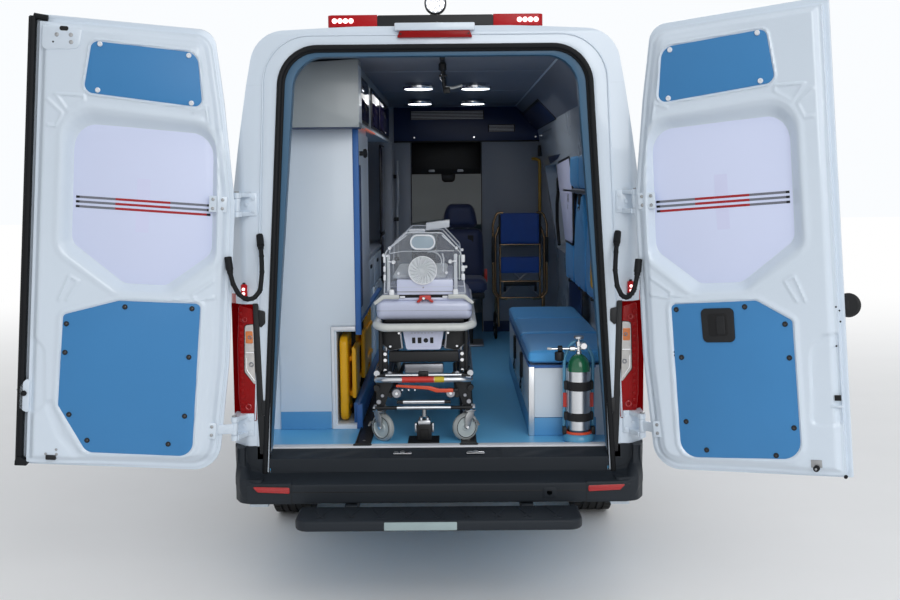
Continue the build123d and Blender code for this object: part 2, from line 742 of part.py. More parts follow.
with BuildPart() as fuel_tank:
    block((-870, -450), (-60, 1000), (330, floor_bottom - seat_gap))
    fillet(fuel_tank.edges().filter_by(Axis.Y), 40)
write(fuel_tank.part, "fuel_tank")

with BuildPart() as exhaust:
    rod((270, from_nose(1150), 420), (270, -1100, 420), 32)
    rod((270, 500, 420), (270, -300, 420), 85)
    rod((270, -1110, 440), (270, -1090, 440), 33)
    for y in (1500, 100, -600):
        block((262, 278), (y - 15, y + 15), (440, floor_bottom - seat_gap))
write(exhaust.part, "exhaust")

# Wheels: rims and tyres
tyre_rows = [
    (-98, rim_radius, 0),
    (-98, 228, 0),
    (-tyre_width / 2, 275, 30),
    (-112, 338, 15),
    (-88, tyre_radius, 15),
    (88, tyre_radius, 15),
    (112, 338, 15),
    (tyre_width / 2, 275, 30),
    (98, 228, 0),
    (98, rim_radius, 0),
]
rim_rows = [
    (-103, 222, 0),
    (-98 - seat_gap, 222, 0),
    (-98 - seat_gap, rim_radius - seat_gap, 0),
    (98 + seat_gap, rim_radius - seat_gap, 0),
    (98 + seat_gap, 222, 0),
    (103, 222, 0),
    (103, 200, 0),
    (72, 192, 0),
    (60, 120, 0),
    (76, 88, 0),
    (76, spindle_radius + running_fit, 0),
    (34, spindle_radius + running_fit, 0),
    (34, 80, 0),
    (40, 120, 0),
    (46, 192, 0),
    (-103, 198, 0),
]
wheels = [
    ("front_left", -1, front_axle_y, front_track / 2),
    ("front_right", 1, front_axle_y, front_track / 2),
    ("rear_left", -1, rear_axle_y, rear_track / 2),
    ("rear_right", 1, rear_axle_y, rear_track / 2),
]


def wheel_ring(side, y, centre_x, rows):
    placed = [(side * (centre_x + x), tyre_radius + radius, corner) for x, radius, corner in rows]
    revolve(rounded_face(Plane.XZ.offset(-y), placed), Axis((0, y, tyre_radius), (1, 0, 0)))


for name, side, y, centre_x in wheels:
    with BuildPart() as tyre:
        wheel_ring(side, y, centre_x, tyre_rows)
    write(tyre.part, f"tyre_{name}")
    with BuildPart() as rim:
        wheel_ring(side, y, centre_x, rim_rows)
        for turn in range(12):
            angle = math.radians(30 * turn)
            hole_y = y + 152 * math.cos(angle)
            hole_z = tyre_radius + 152 * math.sin(angle)
            rod((side * (centre_x + 30), hole_y, hole_z), (side * (centre_x + 90), hole_y, hole_z), 15, Mode.SUBTRACT)
    write(rim.part, f"rim_{name}")

# Front knuckles
for side, name in ((-1, "left"), (1, "right")):
    with BuildPart() as knuckle:
        block((side * (kingpin_x - 35), side * (kingpin_x + 45)), (front_axle_y - 40, front_axle_y + 40),
              (arm_levels[0] + arm_thickness + seat_gap, arm_levels[1] - seat_gap))
        rod((side * kingpin_x, front_axle_y, arm_levels[0] + 3),
            (side * kingpin_x, front_axle_y, arm_levels[1] + arm_thickness - 3), kingpin_radius)
        rod((side * (kingpin_x + 40), front_axle_y, tyre_radius),
            (side * (front_track / 2 + 26), front_axle_y, tyre_radius), 55)
        rod((side * (kingpin_x + 40), front_axle_y, tyre_radius),
            (side * (front_track / 2 + 70), front_axle_y, tyre_radius), spindle_radius)
        block((side * (kingpin_x - 35), side * (kingpin_x - 5)), (front_axle_y - 130, front_axle_y - 30), (320, 350))
    write(knuckle.part, f"knuckle_{name}")

# Dashboard with the steering column, and the steering wheel
wheel_centre = Vector(-400, from_nose(1790), 1180)
column = Vector(0, -math.sin(math.radians(45)), math.cos(math.radians(45)))
with BuildPart() as dashboard:
    side_prism([(from_nose(1310) - seat_gap, 880, 0), (from_nose(1550), 880, 60), (from_nose(1640), 1150, 60),
                (from_nose(1540), 1290, 40), (from_nose(1310) - seat_gap, 1320, 0)], (-890, 890))
    add(room_volume, mode=Mode.INTERSECT)
    rod(wheel_centre - column * 320, wheel_centre - column * 40.3, 35)
write(dashboard.part, "dashboard")

with BuildPart() as steering_wheel:
    with BuildSketch(Plane(origin=wheel_centre, x_dir=(1, 0, 0), z_dir=column)) as hub:
        Circle(50)
        Rectangle(360, 36)
    extrude(hub.sketch, amount=14, both=True)
    rod(wheel_centre - column * 40, wheel_centre - column * 10, 22)
    with BuildSketch(Plane(origin=wheel_centre, x_dir=(1, 0, 0), z_dir=(0, column.Z, -column.Y))) as rim_section:
        with Locations((190, 0)):
            Circle(15)
    revolve(rim_section.sketch, Axis(wheel_centre, column))
write(steering_wheel.part, "steering_wheel")

# Cab seats and the attendant's seat
with BuildPart() as cab_seats:
    for side in (-1, 1):
        x = side * 420
        seat_y = from_nose(2560)
        block((x - 210, x + 210), (seat_y + 30, seat_y + 450), (load_floor + seat_gap, 1040))
        block((x - 240, x + 240), (seat_y, seat_y + 500), (1040, 1160))
        side_prism([(seat_y + 60, 1150, 20), (seat_y + 180, 1150, 20), (seat_y + 60, 1780, 50),
                    (seat_y - 50, 1780, 50)], (x - 235, x + 235))
        block((x - 130, x + 130), (seat_y - 40, seat_y + 50), (1770, 1960))

attendant_x = 110
with BuildPart() as seats:
    add(cab_seats.part)
    seat_y = from_rear(3300)
    block((attendant_x - 60, attendant_x + 60), (seat_y + 100, seat_y + 260), (load_floor + seat_gap, 1120))
    block((attendant_x - 220, attendant_x + 220), (seat_y - 40, seat_y + 420), (1110, 1210))
    block((attendant_x - 200, attendant_x + 200), (seat_y + 330, seat_y + 430), (1200, 1600))
    block((attendant_x - 120, attendant_x + 120), (seat_y + 340, seat_y + 420), (1590, 1765))
write(seats.part, "seats")

# Partition with its doorway
with BuildPart() as partition_wall:
    add(room_volume)
    block((-1100, 1100), (partition_y, partition_y + partition_thickness), (load_floor + seat_gap, 2700), Mode.INTERSECT)
    block((-256, 305), (partition_y - 10, partition_y + 60), (load_floor - 10, 2260), Mode.SUBTRACT)
write(partition_wall.part, "partition_wall")

# Ceiling panel with its lamps and infusion rail
with BuildPart() as ceiling_panel:
    block((-640, 640), (rear_y + wall + 20, partition_y - seat_gap), (ceiling_height, ceiling_height + 50))
    for x in (-300, 300):
        for back in (900, 2000, 3100):
            rod((x, from_rear(back), ceiling_height + 1), (x, from_rear(back), ceiling_height - 22), 85)
    for back in (500, 1100, 1700, 2300):
        block((180, 200), (from_rear(back), from_rear(back) + 20), (ceiling_height - 40, ceiling_height + 1))
    rod((190, from_rear(480), ceiling_height - 40), (190, from_rear(2340), ceiling_height - 40), 12)
    add(body_volume(wall + seat_gap, True), mode=Mode.INTERSECT)
write(ceiling_panel.part, "ceiling_panel")

# Cabinets of the left side
closet_front_x = -416
with BuildPart() as cabinets:
    block((-1000, closet_front_x), (from_rear(510), from_rear(1390)), (load_floor + seat_gap, ceiling_height - seat_gap))
    block((-1000, -480), (from_rear(1390), from_rear(3900)), (load_floor + seat_gap, 1450))
    block((-1000, -400), (from_rear(1390), from_rear(3400)), (2230, ceiling_height - seat_gap))
    block((-1000, -370), (from_rear(350), from_rear(520)), (2230, ceiling_height - seat_gap))
    add(body_volume(wall + 3, True), mode=Mode.INTERSECT)
    block((-1000, -670), (rear_axle_y - 460, rear_axle_y + 460), (600, 870), Mode.SUBTRACT)
    block((-515, -400), (from_rear(500), from_rear(2400)), (730, 1200), Mode.SUBTRACT)
write(cabinets.part, "cabinets")

with BuildPart() as spine_board:
    block((-505, -460), (from_rear(530), from_rear(2300)), (730 + seat_gap, 1180))
    fillet(spine_board.edges().filter_by(Axis.X), 60)
write(spine_board.part, "spine_board")

# Bench of the right side
with BuildPart() as bench:
    block((450, 1000), (from_rear(320), from_rear(2270)), (load_floor + seat_gap, 1050))
    add(body_volume(wall + 3, True), mode=Mode.INTERSECT)
    block((670, 1000), (rear_axle_y - 460, rear_axle_y + 460), (600, 870), Mode.SUBTRACT)
write(bench.part, "bench")

with BuildPart() as bench_cushions:
    for index in range(3):
        start = from_rear(306 + index * 654)
        block((430, 860), (start, start + 646), (1050 + seat_gap, 1137))
    fillet(bench_cushions.edges().filter_by(Axis.Y).group_by(Axis.Z)[-1], 15)
write(bench_cushions.part, "bench_cushions")

# Stretcher with an incubator on it
stretcher_x = -70
with BuildPart() as stretcher:
    for side in (-1, 1):
        x = stretcher_x + side * 230
        rod((x, from_rear(150), 1080), (x, from_rear(2050), 1080), 16)
        for back in (220, 1850):
            castor_x = stretcher_x + side * 193.5
            rod((castor_x - 16, from_rear(back), load_floor + 63), (castor_x + 16, from_rear(back), load_floor + 63), 62.5)
            rod((castor_x, from_rear(back), load_floor + 100), (x, from_rear(back) + 60, 1080), 13)
    for back in (170, 280, 1100, 1910, 2030):
        rod((stretcher_x - 230, from_rear(back), 1080), (stretcher_x + 230, from_rear(back), 1080), 14)
    for back in (220, 1850):
        rod((stretcher_x - 200, from_rear(back) + 10, load_floor + 180),
            (stretcher_x + 200, from_rear(back) + 10, load_floor + 180), 13)
    block((stretcher_x - 230, stretcher_x + 230), (from_rear(190), from_rear(2010)), (1096.3, 1150))
write(stretcher.part, "stretcher")

with BuildPart() as incubator:
    block((stretcher_x - 220, stretcher_x + 220), (from_rear(300), from_rear(1250)), (1150 + seat_gap, 1380))
    block((stretcher_x - 200, stretcher_x + 200), (from_rear(340), from_rear(1210)), (1379, 1760))
    fillet(incubator.edges().group_by(Axis.Z)[-1], 40)
write(incubator.part, "incubator")

# Oxygen cylinder on its trolley
with BuildPart() as oxygen_cylinder:
    rod((660, from_rear(200), load_floor + 40), (660, from_rear(200), load_floor + 640), 53.5)
    with Locations((660, from_rear(200), load_floor + 640)):
        Sphere(53.5)
    block((590, 730), (from_rear(140), from_rear(262)), (load_floor + seat_gap, load_floor + 45))
write(oxygen_cylinder.part, "oxygen_cylinder")

# Folded wheelchair by the partition
with BuildPart() as wheelchair:
    for x in (400, 800):
        rod((x - 12, from_rear(3860), 1005.3), (x + 12, from_rear(3860), 1005.3), 300)
    block((388, 812), (from_rear(3680), from_rear(4060)), (1000, 1100))
    block((380, 825), (from_rear(4040), from_rear(4080)), (1080, 1700))
write(wheelchair.part, "wheelchair")

# Grab rails
with BuildPart() as grab_rails:
    rod((345, partition_y - 40, load_floor + seat_gap), (345, partition_y - 40, ceiling_height - seat_gap), 16)
    rod((790, from_rear(400), 1650), (790, from_rear(2200), 1650), 16)
    for back in (400, 1300, 2200):
        rod((790, from_rear(back), 1650), (890, from_rear(back), 1650), 12)
    add(body_volume(wall + seat_gap, True), mode=Mode.INTERSECT)
write(grab_rails.part, "grab_rails")
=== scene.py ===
import bpy
import math
import numpy as np
from mathutils import Matrix, Vector


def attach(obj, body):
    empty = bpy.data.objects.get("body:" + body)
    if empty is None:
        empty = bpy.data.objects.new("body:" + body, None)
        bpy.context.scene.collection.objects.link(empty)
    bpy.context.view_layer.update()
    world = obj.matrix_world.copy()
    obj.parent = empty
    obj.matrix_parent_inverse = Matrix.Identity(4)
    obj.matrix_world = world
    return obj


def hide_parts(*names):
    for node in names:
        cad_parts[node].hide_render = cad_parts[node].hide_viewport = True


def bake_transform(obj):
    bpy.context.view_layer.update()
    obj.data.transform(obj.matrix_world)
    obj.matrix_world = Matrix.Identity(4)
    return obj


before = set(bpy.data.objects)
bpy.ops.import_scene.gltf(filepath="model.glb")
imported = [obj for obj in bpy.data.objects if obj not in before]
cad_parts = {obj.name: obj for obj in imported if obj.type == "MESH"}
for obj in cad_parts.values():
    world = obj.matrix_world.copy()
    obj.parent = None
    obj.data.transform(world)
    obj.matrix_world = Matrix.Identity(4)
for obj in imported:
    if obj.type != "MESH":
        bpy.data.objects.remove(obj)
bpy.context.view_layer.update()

camera = {
    "place": (0.073, -8.379, 1.961),
    "lens": 46.48,
    "turn": 0.17,  # degrees to the left
    "down": 6.0,
    "roll": -0.52,
}
bpy.ops.object.select_all(action="DESELECT")
aim = (
    Matrix.Rotation(math.radians(camera["turn"]), 4, "Z")
    @ Matrix.Rotation(math.radians(90 - camera["down"]), 4, "X")
    @ Matrix.Rotation(math.radians(camera["roll"]), 4, "Z")
)
bpy.ops.object.camera_add(location=camera["place"], rotation=aim.to_euler())
bpy.context.scene.camera = bpy.context.object
bpy.context.object.data.lens = camera["lens"]
print("camera placed")


# Shader maths: a Signal is a socket that can be added, multiplied and compared
class Signal:
    def __init__(self, paint, socket):
        self.paint = paint
        self.socket = socket

    def __add__(self, other):
        return self.paint.node("Math", {"operation": "ADD"}, {0: self, 1: other})

    def __sub__(self, other):
        return self.paint.node("Math", {"operation": "SUBTRACT"}, {0: self, 1: other})

    def __rsub__(self, other):
        return self.paint.node("Math", {"operation": "SUBTRACT"}, {0: other, 1: self})

    def __mul__(self, other):
        return self.paint.node("Math", {"operation": "MULTIPLY"}, {0: self, 1: other})

    def __gt__(self, other):
        return self.paint.node("Math", {"operation": "GREATER_THAN"}, {0: self, 1: other})

    def __lt__(self, other):
        return self.paint.node("Math", {"operation": "LESS_THAN"}, {0: self, 1: other})

    def __abs__(self):
        return self.paint.node("Math", {"operation": "ABSOLUTE"}, {0: self})

    def __mod__(self, other):
        return self.paint.node("Math", {"operation": "FLOORED_MODULO"}, {0: self, 1: other})

    __radd__ = __add__
    __rmul__ = __mul__


class Paint:
    def __init__(self, name):
        self.material = bpy.data.materials.new(name)
        self.material.use_nodes = True
        self.tree = self.material.node_tree
        self.shader = self.tree.nodes["Principled BSDF"]
        self.spot = self.node("TexCoord", {}, {}, "Object")
        parts = self.tree.nodes.new("ShaderNodeSeparateXYZ")
        self.tree.links.new(self.spot.socket, parts.inputs[0])
        self.x, self.y, self.z = (Signal(self, socket) for socket in parts.outputs)

    def node(self, kind, settings, sockets, output=0):
        made = self.tree.nodes.new("ShaderNode" + kind)
        for key, value in settings.items():
            if key == "stops":
                for stop, (position, colour) in zip(made.color_ramp.elements, value):
                    stop.position, stop.color = position, colour
            else:
                setattr(made, key, value)
        for key, value in sockets.items():
            if isinstance(value, Signal):
                self.tree.links.new(value.socket, made.inputs[key])
            else:
                made.inputs[key].default_value = value
        return Signal(self, made.outputs[output])

    def stretched(self, scale):
        return self.node("Mapping", {"vector_type": "POINT"}, {"Vector": self.spot, "Scale": scale})

    def noise(self, scale, detail=2.0, stretch=None):
        where = self.stretched(stretch) if stretch else self.spot
        return self.node("TexNoise", {}, {"Vector": where, "Scale": scale, "Detail": detail})

    def between(self, value, low, high):
        return (value > low) * (value < high)

    def ramp(self, value, low, high):
        sockets = {"Value": value, "From Min": low, "From Max": high}
        return self.node("MapRange", {"clamp": True, "interpolation_type": "SMOOTHSTEP"}, sockets)

    def mix(self, share, first, second):
        first = first if isinstance(first, Signal) else (*first, 1)
        second = second if isinstance(second, Signal) else (*second, 1)
        return self.node("Mix", {"data_type": "RGBA"}, {0: share, 6: first, 7: second}, 2)

    def give(self, **values):
        names = {
            "colour": "Base Color", "roughness": "Roughness", "metallic": "Metallic", "coat": "Coat Weight",
            "coatRoughness": "Coat Roughness", "alpha": "Alpha", "glow": "Emission Color",
            "glowStrength": "Emission Strength", "sheen": "Sheen Weight", "clear": "Transmission Weight",
            "ior": "IOR", "specular": "Specular IOR Level",
        }
        for key, value in values.items():
            socket = self.shader.inputs[names[key]]
            if isinstance(value, Signal):
                self.tree.links.new(value.socket, socket)
            else:
                socket.default_value = (*value, 1) if isinstance(value, tuple) else value

    def bumps(self, height, strength, distance=0.001):
        sockets = {"Height": height, "Strength": strength, "Distance": distance}
        self.tree.links.new(self.node("Bump", {}, sockets).socket, self.shader.inputs["Normal"])


paints = {}


def finish(name, colour, roughness, **extra):
    # extra: tone, broad, grain, bump, depth, metallic, coat, streak, glow, alpha, sheen, clear
    paint = Paint(name)
    tone = extra.get("tone", 0.08)
    streak = extra.get("streak")
    broad = paint.noise(extra.get("broad", 3.0), 5.0, streak)
    fine = paint.noise(extra.get("grain", 300.0), 3.0, streak)
    darker = tuple(part * (1 - tone) for part in colour)
    lighter = tuple(min(1.0, part * (1 + tone * 0.6)) for part in colour)
    paint.give(colour=paint.mix(broad * 0.7 + fine * 0.3, darker, lighter))
    paint.give(roughness=roughness + (broad - 0.5) * (0.16 * roughness) + (fine - 0.5) * (0.12 * roughness))
    paint.give(metallic=extra.get("metallic", 0.0), coat=extra.get("coat", 0.0), alpha=extra.get("alpha", 1.0))
    paint.give(sheen=extra.get("sheen", 0.0), clear=extra.get("clear", 0.0), specular=extra.get("specular", 0.5))
    if "glow" in extra:
        paint.give(glow=extra["glow"][0], glowStrength=extra["glow"][1])
    paint.bumps(fine, extra.get("bump", 0.15), extra.get("depth", 0.0004))
    paints[name] = paint.material
    return paint


# Modelling helpers, each a few steps of work in Blender's edit mode
def deselect():
    if bpy.context.mode != "OBJECT":
        bpy.ops.object.mode_set(mode="OBJECT")
    bpy.ops.object.select_all(action="DESELECT")


def pick(*chosen):
    deselect()
    for piece in chosen:
        piece.select_set(True)
    bpy.context.view_layer.objects.active = chosen[0]


def setPoints(piece, points):
    piece.data.vertices.foreach_set("co", np.array(points, np.float32).ravel())
    piece.data.update()


def getPoints(piece):
    points = np.zeros(len(piece.data.vertices) * 3, np.float32)
    piece.data.vertices.foreach_get("co", points)
    return points.reshape(-1, 3).astype(float)


def markVerts(piece, marks):
    mesh = piece.data
    mesh.polygons.foreach_set("select", np.zeros(len(mesh.polygons), bool))
    mesh.edges.foreach_set("select", np.zeros(len(mesh.edges), bool))
    mesh.vertices.foreach_set("select", np.array(marks, bool))


def editing(piece, selectMode="VERT"):
    pick(piece)
    bpy.ops.object.mode_set(mode="EDIT")
    bpy.ops.mesh.select_mode(type=selectMode)


def outward(piece):
    editing(piece)
    bpy.ops.mesh.select_all(action="SELECT")
    bpy.ops.mesh.remove_doubles(threshold=0.00002)
    bpy.ops.mesh.normals_make_consistent(inside=False)
    bpy.ops.object.mode_set(mode="OBJECT")
    return piece


def useModifier(piece, kind, **settings):
    pick(piece)
    bpy.ops.object.modifier_add(type=kind)
    modifier = piece.modifiers[-1]
    for key, value in settings.items():
        setattr(modifier, key, value)
    bpy.ops.object.modifier_apply(modifier=modifier.name)
    return piece


def bevelled(piece, width, segments=2, angle=35):
    if width <= 0:
        return piece
    return useModifier(piece, "BEVEL", width=width, segments=segments, limit_method="ANGLE",
                       angle_limit=math.radians(angle))


def coat(piece, paintName):
    piece.data.materials.clear()
    piece.data.materials.append(paints[paintName])
    return piece


def box4(low, high, base, top, radius=0.0):
    return [(low, base, radius), (high, base, radius), (high, top, radius), (low, top, radius)]


def bar(name, x, y, z, paintName, edge=0.003, segments=2):
    low = Vector((min(x), min(y), min(z)))
    high = Vector((max(x), max(y), max(z)))
    deselect()
    bpy.ops.mesh.primitive_cube_add(size=1, location=(low + high) / 2, scale=high - low)
    piece = bpy.context.object
    bpy.ops.object.transform_apply(location=True, rotation=True, scale=True)
    piece.name = name
    return coat(bevelled(piece, edge, segments), paintName)


def rounded(rows, steps=5):
    # rows of (a, b, radius) become the points of an outline with round corners
    points = []
    count = len(rows)
    for index, (a, b, radius) in enumerate(rows):
        corner = Vector((a, b))
        before = Vector(rows[index - 1][:2]) - corner
        after = Vector(rows[(index + 1) % count][:2]) - corner
        if radius <= 0:
            points.append(corner)
            continue
        half = before.angle(after) / 2
        reach = min(radius / math.tan(half), before.length * 0.49, after.length * 0.49)
        radius = reach * math.tan(half)
        start, end = corner + before.normalized() * reach, corner + after.normalized() * reach
        centre = corner + (before.normalized() + after.normalized()).normalized() * radius / math.sin(half)
        for step in range(steps + 1):
            way = start.lerp(end, step / steps) - centre
            points.append(centre + way.normalized() * radius)
    return points


planes = {
    "XZ": lambda a, b, depth: (a, depth, b),
    "YZ": lambda a, b, depth: (depth, a, b),
    "XY": lambda a, b, depth: (a, b, depth),
}


def plate(name, rows, plane, near, far, paintName, edge=0.0, steps=5, segments=2):
    points = rounded(rows, steps)
    deselect()
    bpy.ops.mesh.primitive_circle_add(vertices=len(points), radius=1, fill_type="NGON")
    piece = bpy.context.object
    piece.name = name
    setPoints(piece, [planes[plane](a, b, near) for a, b in points])
    editing(piece)
    bpy.ops.mesh.select_all(action="SELECT")
    shift = Vector(planes[plane](0, 0, far - near))
    bpy.ops.mesh.extrude_region_move(TRANSFORM_OT_translate={"value": shift})
    bpy.ops.mesh.select_all(action="SELECT")
    bpy.ops.mesh.normals_make_consistent(inside=False)
    bpy.ops.object.mode_set(mode="OBJECT")
    return coat(bevelled(piece, edge, segments), paintName)


def bendPath(points, radius, steps=5):
    # a path whose corners are rounded
    path = [Vector(points[0])]
    for index in range(1, len(points) - 1):
        corner = Vector(points[index])
        before, after = Vector(points[index - 1]) - corner, Vector(points[index + 1]) - corner
        half = before.angle(after) / 2
        if half > math.radians(88):
            path.append(corner)
            continue
        reach = min(radius / math.tan(half), before.length * 0.48, after.length * 0.48)
        turn = reach * math.tan(half)
        start, end = corner + before.normalized() * reach, corner + after.normalized() * reach
        centre = corner + (before.normalized() + after.normalized()).normalized() * turn / math.sin(half)
        for step in range(steps + 1):
            path.append(centre + (start.lerp(end, step / steps) - centre).normalized() * turn)
    path.append(Vector(points[-1]))
    return path


def tube(name, points, radius, paintName, bend=0.03, closed=False, resolution=3):
    path = bendPath(points, bend) if bend else [Vector(point) for point in points]
    deselect()
    bpy.ops.curve.primitive_nurbs_path_add(radius=1)
    piece = bpy.context.object
    piece.name = name
    piece.location = (0, 0, 0)
    shape = piece.data
    shape.splines.clear()
    spline = shape.splines.new("POLY")
    spline.points.add(len(path) - 1)
    for point, place in zip(spline.points, path):
        point.co = (*place, 1)
    spline.use_cyclic_u = closed
    shape.dimensions = "3D"
    shape.bevel_depth = radius
    shape.bevel_resolution = resolution
    shape.use_fill_caps = not closed
    bpy.ops.object.convert(target="MESH")
    piece = bpy.context.object
    outward(piece)
    return coat(piece, paintName)


axes = {"X": Vector((1, 0, 0)), "Y": Vector((0, 1, 0)), "Z": Vector((0, 0, 1))}
acrossAxes = {"X": Vector((0, 1, 0)), "Y": Vector((1, 0, 0)), "Z": Vector((1, 0, 0))}


def turned(name, rows, axis, centre, paintName, steps=24, ring=False):
    # rows of (radius, height) spun about an axis through the centre
    along, across = axes[axis], acrossAxes[axis]
    centre = Vector(centre)
    deselect()
    bpy.ops.mesh.primitive_circle_add(vertices=len(rows), radius=1, fill_type="NOTHING")
    piece = bpy.context.object
    piece.name = name
    setPoints(piece, [centre + along * height + across * radius for radius, height in rows])
    if not ring:
        marks = np.zeros(len(rows), bool)
        marks[[0, -1]] = True
        markVerts(piece, marks)
        editing(piece)
        if len(rows) > 2:
            bpy.ops.mesh.select_mode(type="EDGE")
            bpy.ops.mesh.delete(type="EDGE_FACE")
    else:
        editing(piece)
    bpy.ops.mesh.select_mode(type="VERT")
    bpy.ops.mesh.select_all(action="SELECT")
    bpy.ops.mesh.spin(steps=steps, angle=2 * math.pi, center=centre, axis=along)
    return coat(outward(piece), paintName)


def disc(name, axis, centre, radius, thickness, paintName, edge=0.002, steps=24):
    # a round plate whose centre is the middle of its first face
    rim = min(edge, abs(thickness) * 0.4, radius * 0.4)
    sign = math.copysign(1, thickness)
    rows = [(0, 0), (radius - rim, 0), (radius, sign * rim), (radius, thickness - sign * rim),
            (radius - rim, thickness), (0, thickness)]
    return turned(name, rows, axis, centre, paintName, steps)


def cut(piece, *cutters, operation="DIFFERENCE"):
    for cutter in cutters:
        useModifier(piece, "BOOLEAN", object=cutter, operation=operation, solver="EXACT")
        bpy.data.objects.remove(cutter)
    return piece


def joined(name, *parts):
    pick(*parts)
    if len(parts) > 1:
        bpy.ops.object.join()
    bpy.context.object.name = name
    return bpy.context.object


def copied(piece, name, matrix):
    pick(piece)
    bpy.ops.object.duplicate(linked=False)
    twin = bpy.context.object
    twin.name = name
    twin.matrix_world = matrix
    bpy.ops.object.transform_apply(location=True, rotation=True, scale=True)
    if matrix.determinant() < 0:
        editing(twin)
        bpy.ops.mesh.select_all(action="SELECT")
        bpy.ops.mesh.flip_normals()
        bpy.ops.object.mode_set(mode="OBJECT")
    return twin


def moved(x=0.0, y=0.0, z=0.0):
    return Matrix.Translation((x, y, z))


def mirrorX(middle=0.0):
    return Matrix.Translation((2 * middle, 0, 0)) @ Matrix.Scale(-1, 4, (1, 0, 0))


def placed(piece, matrix):
    pick(piece)
    piece.matrix_world = matrix @ piece.matrix_world
    bpy.ops.object.transform_apply(location=True, rotation=True, scale=True)
    return piece


def settle(piece, body, *nodes, smooth=32):
    pick(piece)
    bpy.ops.object.shade_smooth_by_angle(angle=math.radians(smooth))
    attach(piece, body)
    if nodes:
        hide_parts(*nodes)
    return piece


def insideOf(rows, x, z):
    # signed distance to an outline in its plane, positive inside
    points = np.array([tuple(point) for point in rounded(rows, 6)])
    far = np.full(x.shape, 9.0)
    inside = np.zeros(x.shape, bool)
    for (x0, z0), (x1, z1) in zip(points, np.roll(points, -1, axis=0)):
        runX, runZ = x1 - x0, z1 - z0
        size = max(runX * runX + runZ * runZ, 1e-12)
        share = np.clip(((x - x0) * runX + (z - z0) * runZ) / size, 0, 1)
        far = np.minimum(far, np.hypot(x - x0 - share * runX, z - z0 - share * runZ))
        if z0 != z1:
            crossing = ((z0 > z) != (z1 > z)) & (x < runX * (z - z0) / runZ + x0)
            inside ^= crossing
    return np.where(inside, far, -far)


def nearLine(line, x, z):
    far = np.full(x.shape, 9.0)
    for (x0, z0), (x1, z1) in zip(line, line[1:]):
        runX, runZ = x1 - x0, z1 - z0
        share = np.clip(((x - x0) * runX + (z - z0) * runZ) / (runX * runX + runZ * runZ), 0, 1)
        far = np.minimum(far, np.hypot(x - x0 - share * runX, z - z0 - share * runZ))
    return far


def ease(value, low, high):
    share = np.clip((value - low) / (high - low), 0, 1)
    return share * share * (3 - 2 * share)


# Finishes
whiteColour = (0.69, 0.78, 0.88)
panelBlue = (0.058, 0.245, 0.53)
finish("bodyWhite", whiteColour, 0.28, coat=0.6, tone=0.05, broad=1.5, grain=900, bump=0.05)
finish("panelBlue", panelBlue, 0.42, specular=0.3, tone=0.07, broad=5, grain=1200, bump=0.25, depth=0.0002)
finish("frosted", (0.7, 0.76, 0.98), 0.42, tone=0.03, broad=2, grain=700, bump=0.08, coat=0.25)
finish("frostedEdge", (0.58, 0.63, 0.9), 0.42, tone=0.04, broad=2, grain=700, bump=0.08)
finish("frostedBar", (0.7, 0.73, 0.96), 0.42, tone=0.03, grain=700, bump=0.05)
finish("blackRubber", (0.01, 0.011, 0.013), 0.6, specular=0.2, tone=0.3, broad=20, grain=900, bump=0.35)
finish("blackPlastic", (0.013, 0.014, 0.016), 0.42, specular=0.3, tone=0.2, broad=8, grain=1500, bump=0.4)
finish("bumperPlastic", (0.014, 0.019, 0.026), 0.55, specular=0.3, tone=0.25, broad=4, grain=1100, bump=0.6, depth=0.0005)
finish("steel", (0.55, 0.57, 0.6), 0.28, metallic=1.0, tone=0.15, broad=8, grain=260, streak=(1, 14, 14))
finish("chrome", (0.8, 0.81, 0.83), 0.1, metallic=1.0, tone=0.06, broad=6, grain=500, bump=0.04)
finish("zinc", (0.42, 0.43, 0.44), 0.42, metallic=1.0, tone=0.3, broad=40, grain=500, bump=0.3)
finish("aluminium", (0.66, 0.68, 0.71), 0.3, metallic=1.0, tone=0.1, broad=10, grain=240, streak=(16, 1, 16))
finish("studWhite", (0.82, 0.84, 0.88), 0.25, tone=0.04, grain=800, bump=0.05, coat=0.4)
finish("stripeRed", (0.38, 0.006, 0.012), 0.4, tone=0.1, grain=900, bump=0.1)
finish("stripeGrey", (0.17, 0.18, 0.22), 0.4, tone=0.1, grain=900, bump=0.1)
finish("darkGlass", (0.012, 0.014, 0.02), 0.06, tone=0.2, broad=2, grain=300, bump=0.01, coat=0.5)
finish("lampRed", (0.3, 0.001, 0.002), 0.25, specular=0.2, tone=0.25, broad=30, grain=240, bump=0.3, depth=0.001)
finish("lampClear", (0.62, 0.6, 0.58), 0.12, tone=0.35, broad=40, grain=260, bump=0.6, depth=0.001, coat=0.6)
finish("lampAmber", (0.72, 0.2, 0.04), 0.16, tone=0.3, broad=40, grain=260, bump=0.5, coat=0.5)
finish("reflectorRed", (0.42, 0.006, 0.008), 0.2, tone=0.3, broad=60, grain=600, bump=0.8, coat=0.5)
finish("redGlow", (0.7, 0.01, 0.01), 0.3, glow=((1.0, 0.02, 0.02), 1.4), tone=0.1)
finish("whiteGlow", (0.9, 0.9, 0.9), 0.3, glow=((1.0, 0.97, 0.95), 4.0), tone=0.05)
finish("shadowBlack", (0.004, 0.004, 0.005), 0.8, tone=0.3)
finish("plateGrey", (0.33, 0.42, 0.43), 0.45, tone=0.08, broad=12, grain=500, bump=0.15)
finish("barRed", (0.38, 0.002, 0.006), 0.22, tone=0.2, broad=12, grain=320, bump=0.4, specular=0.25,
       glow=((0.6, 0.002, 0.004), 0.12))
finish("ledGlow", (1.0, 0.8, 0.8), 0.3, glow=((1.0, 0.5, 0.5), 2.4), tone=0.02)
finish("lampWhite", (0.7, 0.72, 0.75), 0.15, tone=0.2, broad=40, grain=200, bump=0.5, coat=0.5)
